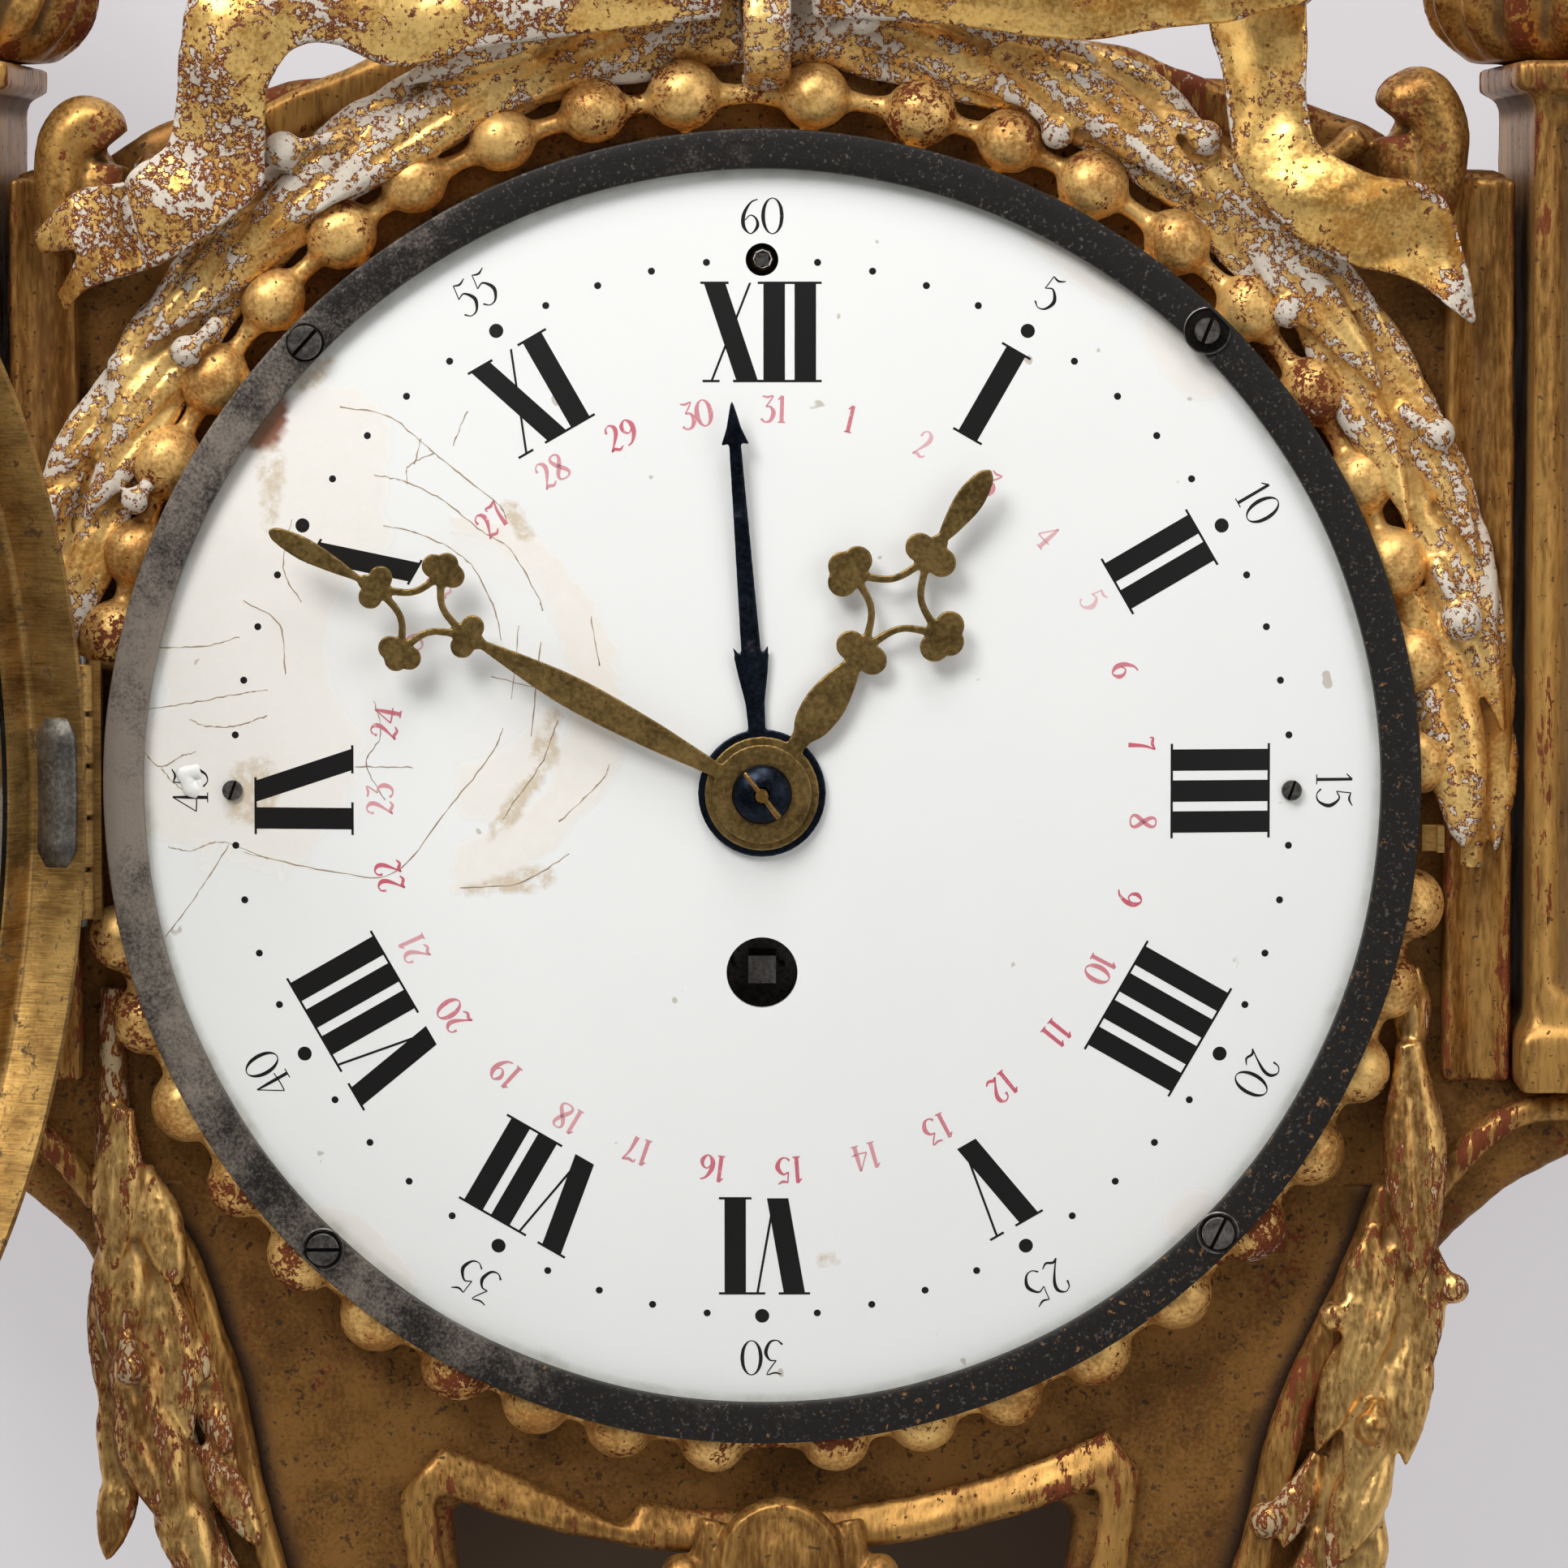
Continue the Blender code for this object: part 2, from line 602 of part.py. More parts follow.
def pilaster_ring(z, overhang, flute):
    """One level of a pilaster: a block with hollow flutes down its front."""
    left, right = -PILASTER_WIDTH / 2 - overhang, PILASTER_WIDTH / 2 + overhang
    front = PILASTER_FRONT + overhang
    ring = [(left, front, z), (left, PILASTER_BACK, z), (right, PILASTER_BACK, z), (right, front, z)]
    for k in range(FLUTES):
        middle = PILASTER_WIDTH * (FLUTES - 1 - 2 * k) / (2 * FLUTES)
        for across, depth in arc(FLUTE_RADIUS, 0, 180, 2):
            ring.append((middle + across, front - depth * flute, z))
    return ring


def build_sides():
    """The two pilasters on their shelves, each with a gadrooned urn."""
    foot = SHELF_Z + GAP
    base_top = foot + BASE_HEIGHT
    levels = [(foot, BASE_OVERHANG, 0), (base_top - 2, BASE_OVERHANG, 0), (base_top, 0, 0),
              (base_top + FLUTE_RADIUS, 0, 0), (base_top + 2 * FLUTE_RADIUS, 0, 1),
              (PILASTER_TOP - 2 * FLUTE_RADIUS, 0, 1), (PILASTER_TOP - FLUTE_RADIUS, 0, 0),
              (PILASTER_TOP, 0, 0), (PILASTER_TOP + 1, CAPITAL_OVERHANG, 0),
              (PILASTER_TOP + CAPITAL_HEIGHT, CAPITAL_OVERHANG, 0)]
    urn = [(0, 0), (0.76, 0), (0.86, 0.04), (0.96, 0.11), (1.0, 0.21), (0.95, 0.36), (0.82, 0.5), (0.58, 0.6),
           (0.4, 0.66), (0.46, 0.72), (0.28, 0.86), (0.12, 0.96), (0, 1.0)]

    def gadroon(degrees, height):
        share = height / URN_HEIGHT
        return 1 + 0.05 * math.cos(math.radians(URN_GADROONS * degrees + 240 * share)) * (0.05 < share < 0.6)

    for side, name in ((-1, "left"), (1, "right")):
        x = side * (PILASTER_INNER + PILASTER_WIDTH / 2)
        loft("pilaster_" + name, [pilaster_ring(*level) for level in levels], GILT, at=(x, 0, 0))
        lathe("urn_" + name, [(r * URN_RADIUS, h * URN_HEIGHT) for r, h in urn], GILT, 2 * URN_GADROONS,
              upright=True, swell=gadroon,
              at=(x, (PILASTER_BACK + PILASTER_FRONT) / 2, PILASTER_TOP + CAPITAL_HEIGHT + GAP))


# Carved ornament

def bead_free(degrees):
    """True beside the hinge and the catch, where the beads are left off."""
    hinge_half = math.degrees(math.asin((HINGE_KNUCKLES * HINGE_KNUCKLE / 2 + 2) / BEAD_CIRCLE))
    catch_half = math.degrees(CATCH_WIDTH / BEAD_CIRCLE)
    return abs(degrees - 180) < hinge_half or abs((degrees - CATCH_DEGREES + 180) % 360 - 180) < catch_half


def build_bead_ring():
    """The turned collar that carries the iron ring, with a string of beads round its foot."""
    base, top = CASE_DEPTH + GAP, COLLAR_TOP
    side = RING_OUTER - COLLAR_INSET
    rings = []
    for k in range(BEAD_COUNT * 2):
        degrees = k * 180 / BEAD_COUNT
        swell = (1.0, BEAD_NECK)[k % 2] * BEAD_RADIUS
        reach = side + 0.5 if bead_free(degrees) else BEAD_CIRCLE + swell
        deep = 1.0 if bead_free(degrees) else swell
        middle = base + BEAD_RADIUS
        section = [(COLLAR_INNER, base), (COLLAR_INNER, top), (side, top), (reach, middle + deep * 0.35),
                   (reach, middle - deep * 0.5), (side, base)]
        turn = math.radians(degrees)
        rings.append([(r * math.cos(turn), f, r * math.sin(turn)) for r, f in section])
    ring = loft("bead_ring", rings, GILT, closed=True)
    bottom = top - RING_SCREW_BITE - 2 * GAP
    holes = []
    for degrees in RING_SCREW_ANGLES:
        x, z = polar(RING_MIDDLE, degrees)
        holes.append(round_bar("hole", RING_SCREW_SHANK + RUN, bottom, top + 1, IRON, at=(x, 0, z)))
    cut(ring, holes)


def leaf_swell(share):
    """How far a leaf stands out along its length: a slow rise and a quick fall."""
    share %= 1
    return share / 0.8 if share < 0.8 else (1 - share) / 0.2


def leafy_rope(name, path, leaves):
    """Overlapping laurel leaves in two staggered rows along a path of (x, z, half width, height)."""
    base = CASE_DEPTH + GAP
    rings = []
    for k, (x, z, half, height) in enumerate(path):
        before, after = path[max(k - 1, 0)], path[min(k + 1, len(path) - 1)]
        length = math.hypot(after[0] - before[0], after[1] - before[1])
        nx, nz = (after[1] - before[1]) / length, (before[0] - after[0]) / length
        share = k / (len(path) - 1)
        end = min(1.0, 0.35 + 6 * min(share, 1 - share))
        ring = []
        for corner in range(5):
            turn = math.radians(45 * corner)
            stagger = 0.5 if corner > 2 else 0.0
            scale = end * (0.72 + 0.28 * leaf_swell(share * leaves + stagger))
            off = half * math.cos(turn) * scale
            ring.append((x + nx * off, base + height * math.sin(turn) * scale, z + nz * off))
        rings.append(ring)
    loft(name, rings, GILT)


def build_laurel():
    """The two garlands round the dial and the two drops down the trunk."""
    steps = GARLAND_LEAVES * 3
    for side, name in ((-1, "left"), (1, "right")):
        path = []
        for k in range(steps + 1):
            share = k / steps
            turn = math.radians(GARLAND_START_DEGREES + (GARLAND_END_DEGREES - GARLAND_START_DEGREES) * share)
            half = (GARLAND_TOP_WIDTH + (GARLAND_SIDE_WIDTH - GARLAND_TOP_WIDTH) * share) / 2
            height = GARLAND_TOP_HEIGHT + (GARLAND_SIDE_HEIGHT - GARLAND_TOP_HEIGHT) * share
            reach = BEAD_OUTER + GAP + half
            path.append((side * reach * math.sin(turn), reach * math.cos(turn), half, height))
        leafy_rope("garland_" + name, path, GARLAND_LEAVES)
        path = []
        steps_down = DROP_LEAVES * 3
        for k in range(steps_down + 1):
            share = k / steps_down
            z = DROP_TOP_Z - DROP_LENGTH * share
            edge = WAIST_HALF + (FOOT_HALF - WAIST_HALF) * (WAIST_Z - min(z, WAIST_Z)) / (WAIST_Z - FOOT_Z)
            half = DROP_WIDTH / 2 * (1 - 0.55 * share**2)
            beside_beads = math.sqrt(max(0, BEAD_OUTER**2 - z**2)) + 2 * GAP + half
            x = max(edge - DROP_INSET * (0.2 + share), beside_beads)
            path.append((side * x, z, half, DROP_HEIGHT * (1 - 0.4 * share)))
        leafy_rope("laurel_drop_" + name, path, DROP_LEAVES)


def strip(name, middles, widths, thick, material):
    """A ribbon: a thin rectangle carried along a path, with its width along a given vector."""
    rings = []
    for k, (middle, width) in enumerate(zip(middles, widths)):
        along = middles[min(k + 1, len(middles) - 1)] - middles[max(k - 1, 0)]
        normal = along.cross(width).normalized() * (thick / 2)
        half = width / 2
        rings.append([tuple(middle + half + normal), tuple(middle + half - normal),
                      tuple(middle - half - normal), tuple(middle - half + normal)])
    return loft(name, rings, material)


def build_bow():
    """The knot with its two loops above the garlands, and the ribbon that falls on each side."""
    base = CASE_DEPTH + GAP
    shape = [(0, 0), (0.8, 0), (1.0, 0.25), (0.95, 0.7), (0.55, 0.97), (0, 1.0)]
    height = RIBBON_F + RIBBON_WIDTH / 2 - base
    knot = lathe("bow", [(r * KNOT_RADIUS, base + h * height) for r, h in shape], GILT, 12, at=(0, 0, KNOT_Z))
    loops = []
    for side in (-1, 1):
        centre_x = side * (LOOP_REACH / 2 + KNOT_RADIUS / 2)
        oval = arc(side * LOOP_REACH / 2, 200, 520, 14, (centre_x, KNOT_Z + LOOP_LIFT), LOOP_HALF_HEIGHT)
        tilt = LOOP_LIFT / (LOOP_REACH / 2)
        middles = [Vector((x, RIBBON_F, z - tilt * max(0, centre_x - x if side > 0 else x - centre_x)))
                   for x, z in oval]
        widths = [Vector((0, LOOP_WIDTH, 0)) for _ in middles]
        loops.append(strip("loop", middles, widths, RIBBON_THICK, GILT))
    join(knot, loops)
    reach = BEAD_OUTER + GARLAND_TOP_WIDTH
    for side, name in ((-1, "left"), (1, "right")):
        start_z = KNOT_Z - KNOT_RADIUS - GAP - RIBBON_WIDTH / 2
        knots = [(2 * GAP, start_z), (0.27 * reach, start_z), (0.5 * reach, start_z),
                 (0.61 * reach, 0.97 * reach), (0.66 * reach, 0.88 * reach), (0.66 * reach, 0.78 * reach),
                 (0.73 * reach, 0.69 * reach), (0.9 * reach, 0.6 * reach)]
        path = smooth_path([(side * x, RIBBON_F + RIBBON_THICK / 2, z) for x, z in knots], 3)
        widths = []
        for k in range(len(path)):
            along = path[min(k + 1, len(path) - 1)] - path[max(k - 1, 0)]
            share = k / (len(path) - 1)
            flare = RIBBON_WIDTH * (1 + 0.12 * math.sin(14 * share)) * min(1.0, 0.3 + 5 * (1 - share))
            widths.append(Vector((-along.z, 0, along.x)).normalized() * flare)
        strip("ribbon_" + name, path, widths, RIBBON_THICK, GILT)


def build_scrolls():
    """The curl at each end of the ogee top, beside the pilaster."""
    for side, name in ((-1, "left"), (1, "right")):
        rings = []
        for k in range(15):
            share = k / 14
            turn = math.radians(-80 + 420 * share)
            reach = SCROLL_RADIUS * (1 - 0.72 * share)
            tube = SCROLL_TUBE * (1.35 - 0.75 * share)
            height = SCROLL_DEPTH * (0.7 + 0.3 * share)
            ring = []
            for across, up in ((-1, 0), (1, 0), (1, 0.6), (0, 1), (-1, 0.6)):
                out = reach + tube * across
                ring.append((side * (SCROLL_X + out * math.cos(turn)), CASE_DEPTH + GAP + height * up,
                             SCROLL_Z + out * math.sin(turn)))
            rings.append(ring)
        loft("scroll_" + name, rings, GILT)


# The dial

def dial_height(radius):
    """The face of the domed dial at this distance from its middle."""
    return DIAL_EDGE + DIAL_RISE * (1 - (radius / DIAL_RADIUS)**2)


def build_dial():
    """The domed enamel dial with its holes, the iron ring over its rim, and their screws."""
    rings = [DIAL_RADIUS * share for share in (1.0, 0.72, 0.4)]
    face = [(r, dial_height(r)) for r in rings] + [(0, DIAL_FACE)]
    under = [(0, DIAL_FACE - DIAL_THICK)] + [(r, dial_height(r) - DIAL_THICK) for r in reversed(rings)]
    dial = lathe("dial_plate", under + face, ENAMEL, 30)
    screws = [(side * MINUTE_CIRCLE, 0) for side in (-1, 1)]
    holes = [(CENTRE, DATE_PIPE + 2 * RUN), (WINDING, WINDING_HOLE), (REGULATOR, REGULATOR_HOLE)]
    holes += [(middle, DIAL_SCREW_SHANK + RUN) for middle in screws]
    low, high = DIAL_EDGE - DIAL_THICK - 1, DIAL_FACE + 1
    cut(dial, [round_bar("hole", radius, low, high, IRON, 8, at=(x, 0, z)) for (x, z), radius in holes])
    bores = [circle(RING_SCREW_SHANK + RUN, 6, polar(RING_MIDDLE, angle)) for angle in RING_SCREW_ANGLES]
    prism("dial_ring", [circle(RING_OUTER, 40), circle(RING_INNER, 40)] + bores, RING_BACK, RING_FRONT, IRON)
    for k, angle in enumerate(RING_SCREW_ANGLES):
        x, z = polar(RING_MIDDLE, angle)
        seat = RING_FRONT + GAP
        head = RING_SCREW_HEAD
        profile = [(0, COLLAR_TOP - RING_SCREW_BITE), (RING_SCREW_SHANK, COLLAR_TOP - RING_SCREW_BITE + 1.5),
                   (RING_SCREW_SHANK, seat), (head, seat), (head, seat + RING_SCREW_HEAD_HEIGHT * 0.6),
                   (head * 0.75, seat + RING_SCREW_HEAD_HEIGHT), (0, seat + RING_SCREW_HEAD_HEIGHT)]
        lathe("ring_screw_%d" % (k + 1), profile, IRON, 8, at=(x, 0, z))
    for (x, z), name in zip(screws, ("left", "right")):
        seat = dial_height(MINUTE_CIRCLE - DIAL_SCREW_HEAD) + GAP
        shank = DIAL_SCREW_SHANK
        head = DIAL_SCREW_HEAD
        profile = [(0, CASE_DEPTH + 2 * GAP), (shank, CASE_DEPTH + 3 * GAP), (shank, seat), (head, seat),
                   (head * 0.9, seat + 0.7), (0, seat + 0.9)]
        lathe("dial_screw_" + name, profile, BRASS, 8, at=(x, 0, z))


# The hands

def trefoil(middle, radius, start, end, count):
    """Part of a three-lobed outline round a middle, counted like the compass arc of a circle."""
    points = []
    for k in range(count + 1):
        degrees = start + (end - start) * k / count
        reach = radius * (1 + 0.25 * math.cos(math.radians(3 * (degrees - 90))))
        x, z = polar(reach, degrees)
        points.append((middle[0] + x, middle[1] + z))
    return points


def pierced_hand(length, collet):
    """The right half of a pierced hand, from its tip down: leaf, lattice of trefoils, blade."""
    lattice = length * 0.71  # middle of the lattice
    spread = length * 0.10
    lobe = length * 0.045
    bar = length * 0.008
    blade = length * 0.028
    top, side, foot = (0, lattice + spread), (spread, lattice), (0, lattice - spread)
    waist = spread * 0.42
    half = [(0, length), (blade * 0.55, length * 0.93), (blade * 0.75, length * 0.885)]
    half += [(blade * 0.3, top[1] + lobe)]
    half += trefoil(top, lobe, 50, -20, 4)
    half += [(waist + bar, lattice + waist + bar)]
    half += trefoil(side, lobe, 110, -110, 7)
    half += [(waist + bar, lattice - waist - bar)]
    half += trefoil(foot, lobe, 20, -60, 4)
    half += [(blade * 0.35, foot[1] - lobe * 1.3), (blade, length * 0.36), (blade * 0.55, collet * 0.99)]
    near = waist - bar
    inner = [(0, top[1] - lobe * 0.95), (near, lattice + near), (side[0] - lobe * 0.95, lattice),
             (near, lattice - near), (0, foot[1] + lobe * 0.95)]
    start = 90 - math.degrees(math.asin(blade * 0.55 / collet))
    half += arc(collet, start, -90, 9)[1:]
    return mirrored(half), mirrored(inner)


def build_hands():
    """The date, hour and minute hands, with the domed washer and the pin that hold them."""
    hour = (HOUR_HAND_LENGTH, HOUR_COLLET, HOUR_PIPE, HOUR_HAND_BACK, HOUR_HAND_DEGREES)
    minute = (MINUTE_HAND_LENGTH, MINUTE_COLLET, CANNON_OUTER, MINUTE_HAND_BACK, MINUTE_HAND_DEGREES)
    for name, (length, collet, pipe, back, turn) in (("hour_hand", hour), ("minute_hand", minute)):
        outline, inner = pierced_hand(length, collet)
        prism(name, [outline, inner, circle(pipe + RUN, 8)], back, back + HAND_THICK, BRASS, turn=turn)
    tip, collet = DATE_HAND_LENGTH, DATE_COLLET
    half = [(0, tip), (2.2, tip - 6.2), (1.0, tip - 5.4), (1.4, collet + 12), (3.2, collet + 9)]
    half += [(1.5, collet + 6), (1.8, collet * 0.98)]
    half += arc(collet, 80, -90, 9)[1:]
    prism("date_hand", [mirrored(half), circle(DATE_PIPE + RUN, 8)], DATE_HAND_BACK,
          DATE_HAND_BACK + HAND_THICK, STEEL, turn=DATE_HAND_DEGREES)
    hole, edge, rise = CENTRE_ARBOR + RUN, HAND_WASHER_RADIUS, HAND_WASHER_HEIGHT
    dome = [(hole, 0), (edge, 0), (edge, 0.15), (edge * 0.85, 0.55), (edge * 0.55, 0.9), (hole, 1.0)]
    lathe("hand_washer", [(r, WASHER_BACK + h * rise) for r, h in dome], STEEL, 14)
    cross_pin("hand_pin", HAND_PIN_RADIUS)


# Bezel, hinge and catch

def build_bezel():
    """The glazed bezel on its five-knuckle hinge, swung open, and the catch on the other side."""
    axis = bpy.data.objects.new("bezel_axis", None)
    axis.location = point(HINGE_X, HINGE_F, 0)
    axis.rotation_euler.z = math.radians(-BEZEL_OPEN_DEGREES)
    axis.parent = HUB
    bpy.context.collection.objects.link(axis)
    swung = {"at": (-HINGE_X, -HINGE_F, 0), "parent": axis}
    front = BEZEL_BACK + BEZEL_DEPTH
    inner = BEZEL_OUTER - BEZEL_SHOULDER
    lip = inner - BEZEL_LIP
    wall = BEZEL_OUTER - BEZEL_WALL
    lip_back = front - 0.9
    rebate = lip_back - GLASS_THICK - 2 * GAP
    lathe("bezel_ring", [
        (wall, BEZEL_BACK), (BEZEL_OUTER, BEZEL_BACK), (BEZEL_OUTER, front - 6),
        (BEZEL_OUTER - 2.5, front - 2.6), (BEZEL_OUTER - 6, front), (lip, front), (lip, lip_back),
        (inner, lip_back), (inner, rebate), (wall, rebate - 3)], BRASS, 30, **swung)
    edge = inner - GAP
    seat = lip_back - GAP
    crown = [(edge * share, seat + GLASS_RISE * (1 - share**2)) for share in (0.9, 0.5)]
    rim = lip / edge
    outside = [(edge, seat), (edge * rim, seat)] + crown + [(0, seat + GLASS_RISE)]
    inside = [(0, seat + GLASS_RISE - GLASS_THICK)] + [(r, f - GLASS_THICK) for r, f in reversed(crown)]
    lathe("bezel_glass", inside + [(edge, seat - GLASS_THICK)] + outside, GLASS, 30, **swung)

    length = HINGE_KNUCKLES * HINGE_KNUCKLE
    eye = HINGE_PIN + RUN
    still, moving = {"at": (HINGE_X, HINGE_F, 0)}, {"parent": axis}
    clear = HINGE_RADIUS + 2 * GAP
    leaf_x = HINGE_RADIUS - HINGE_LEAF
    ring_edge = -HINGE_X - RING_OUTER - GAP
    for name, first, side, leaf_end, place in (("hinge_leaf_case", 0, -1, ring_edge, still),
                                               ("hinge_leaf_bezel", 1, 1, HINGE_RADIUS, moving)):
        depth = sorted((side * clear, side * (clear + HINGE_LEAF_DEPTH)))
        leaf = block(name, (leaf_x, leaf_end), depth, (-length / 2, length / 2), BRASS, **place)
        knuckles = []
        for k in range(first, HINGE_KNUCKLES, 2):
            low = -length / 2 + k * HINGE_KNUCKLE + GAP / 2
            high = low + HINGE_KNUCKLE - GAP
            profile = [(eye, low), (HINGE_RADIUS, low), (HINGE_RADIUS, high), (eye, high)]
            knuckles.append(lathe("knuckle", profile, BRASS, 8, upright=True, **place))
            tang = (eye + 0.1, HINGE_RADIUS - 0.1)
            reach = sorted((side * 0.2, side * (clear + 1)))
            knuckles.append(block("tang", tang, reach, (low + 0.1, high - 0.1), BRASS, **place))
        join(leaf, knuckles)
    ends = length / 2 + 1
    lathe("hinge_pin", [(0, -ends), (HINGE_PIN, -ends), (HINGE_PIN, ends), (0, ends)], BRASS, 8, upright=True,
          at=(HINGE_X, HINGE_F, 0))
    build_catch()


def build_catch():
    """The hooked spring that holds the bezel shut, on the right edge of the iron ring."""
    near = RING_OUTER + GAP
    far = near + CATCH_REACH
    hook = BEZEL_BACK + 2 * CATCH_THICK
    side = [(near, RING_BACK), (far, RING_BACK), (far, hook), (far - CATCH_THICK, hook),
            (far - CATCH_THICK, RING_BACK + CATCH_THICK), (near, RING_BACK + CATCH_THICK)]
    middle = RING_OUTER * math.sin(math.radians(CATCH_DEGREES))
    rings = [[(x, f, middle + end * CATCH_WIDTH / 2) for x, f in side] for end in (-1, 1)]
    loft("bezel_catch", rings, BRASS)


# The movement

def wheel_outline(teeth, module, direction):
    """A wheel with pointed teeth, one of them facing this way."""
    outer, root = module * (teeth / 2 + TOOTH_RISE), module * (teeth / 2 - TOOTH_ROOT)
    pitch = 360 / teeth
    outline = []
    for k in range(teeth):
        outline += [polar(outer, direction + k * pitch), polar(root, direction + (k + 0.5) * pitch)]
    return outline


def pinion_outline(leaves, module, direction):
    """A pinion, four points a leaf, with one gap facing this way."""
    outer, root = module * (leaves / 2 + LEAF_RISE), module * (leaves / 2 - LEAF_ROOT)
    pitch = 360 / leaves
    outline = []
    for k in range(leaves):
        middle = direction + (k + 0.5) * pitch
        outline += [polar(root, middle - LEAF_FOOT * pitch), polar(outer, middle - LEAF_TIP * pitch),
                    polar(outer, middle + LEAF_TIP * pitch), polar(root, middle + LEAF_FOOT * pitch)]
    return outline


def saw_outline(teeth, outer, root, lean):
    """A ratchet or escape wheel: a point and a foot for each tooth."""
    pitch = 360 / teeth
    outline = []
    for k in range(teeth):
        outline += [polar(outer, k * pitch), polar(root, (k + lean) * pitch)]
    return outline


def wheel_on_arbor(name, middle, wheel, level, pinion, mate_level, bar, ends):
    """A wheel with its pinion and arbor as one piece; the pinion reaches past the wheel it meets."""
    place = {"at": (middle[0], 0, middle[1])}
    made = prism(name, [wheel], level, level + WHEEL_THICK, BRASS, **place)
    parts = [round_bar("arbor", bar, *ends, STEEL, **place)]
    parts.append(prism("pinion", [pinion], mate_level - 1, mate_level + WHEEL_THICK + 1, STEEL, **place))
    return join(made, parts)


def build_train():
    """Barrel, going train and escape wheel between the plates."""
    ends = (BACK_FACE + GAP, FRONT_FACE - GAP)
    place = {"at": (WINDING[0], 0, WINDING[1])}
    hole = WINDING_ARBOR + RUN
    great = wheel_outline(BARREL_TEETH, BARREL_MODULE, towards(WINDING, INTERMEDIATE))
    levels = (BARREL_WHEEL_F, BARREL_WHEEL_F + WHEEL_THICK)
    barrel = prism("barrel", [great, circle(hole, 12)], *levels, BRASS, **place)
    drum = [circle(BARREL_DRUM, 20), circle(hole + GAP, 12)]
    join(barrel, [prism("drum", drum, BARREL_BACK, BARREL_WHEEL_F + WHEEL_THICK / 2, BRASS, **place)])

    low, high = FRONT_FACE + GAP, FRONT_FACE + GAP + WHEEL_THICK
    arbor = round_bar("barrel_arbor", WINDING_ARBOR, BACK_FACE + GAP, high, STEEL, **place)
    ratchet = saw_outline(RATCHET_TEETH, RATCHET_RADIUS, RATCHET_RADIUS * 0.86, 0.15)
    tip = dial_height(WINDING_DROP) - WINDING_SQUARE_TIP
    join(arbor, [
        prism("ratchet", [ratchet], low, high, STEEL, **place),
        prism("winding_square", [square(WINDING_SQUARE)], (low + high) / 2, tip, STEEL, **place)])
    hub = arc(CLICK_RADIUS, 100, -120, 8)
    beak = -CLICK_LENGTH
    tail = [(beak * 0.95, 0), (beak, CLICK_RADIUS * 0.6), (beak * 0.8, CLICK_RADIUS)]
    eye = circle(CLICK_RADIUS / 2 + RUN, 8)
    prism("click", [hub + tail, eye], low, high, STEEL, at=(CLICK[0], 0, CLICK[1]))

    wheel_on_arbor("intermediate_wheel", INTERMEDIATE,
                   wheel_outline(INTERMEDIATE_TEETH, INTERMEDIATE_MODULE, towards(INTERMEDIATE, CENTRE)),
                   INTERMEDIATE_WHEEL_F,
                   pinion_outline(INTERMEDIATE_LEAVES, BARREL_MODULE, towards(INTERMEDIATE, WINDING)),
                   BARREL_WHEEL_F, ARBOR, ends)
    centre = wheel_on_arbor("centre_wheel", CENTRE,
                            wheel_outline(CENTRE_TEETH, CENTRE_MODULE, towards(CENTRE, THIRD)),
                            CENTRE_WHEEL_F,
                            pinion_outline(CENTRE_LEAVES, INTERMEDIATE_MODULE, towards(CENTRE, INTERMEDIATE)),
                            INTERMEDIATE_WHEEL_F, CENTRE_ARBOR, (BACK_FACE + GAP, ARBOR_TIP))
    cut(centre, [cross_pin("pin_hole", HAND_PIN_RADIUS + RUN)])
    wheel_on_arbor("third_wheel", THIRD,
                   wheel_outline(THIRD_TEETH, THIRD_MODULE, towards(THIRD, ESCAPE)), THIRD_WHEEL_F,
                   pinion_outline(THIRD_LEAVES, CENTRE_MODULE, towards(THIRD, CENTRE)),
                   CENTRE_WHEEL_F, ARBOR, ends)
    teeth = saw_outline(ESCAPE_TEETH, ESCAPE_RADIUS, ESCAPE_RADIUS * 0.8, 0.3)
    wheel_on_arbor("escape_wheel", ESCAPE, teeth, ESCAPE_WHEEL_F,
                   pinion_outline(ESCAPE_LEAVES, THIRD_MODULE, towards(ESCAPE, THIRD)),
                   THIRD_WHEEL_F, ARBOR, ends)


def plate_shape():
    """A round movement plate with a tongue that carries the regulator."""
    reach = math.degrees(math.asin(TONGUE_HALF / MOVEMENT_RADIUS))
    top = REGULATOR[1] + TONGUE_ABOVE_REGULATOR
    corner = TONGUE_HALF * 0.3
    tongue = [(-TONGUE_HALF, top - corner), (-TONGUE_HALF + corner, top), (TONGUE_HALF - corner, top),
              (TONGUE_HALF, top - corner)]
    return arc(MOVEMENT_RADIUS, 90 - reach, -270 + reach, 20) + tongue


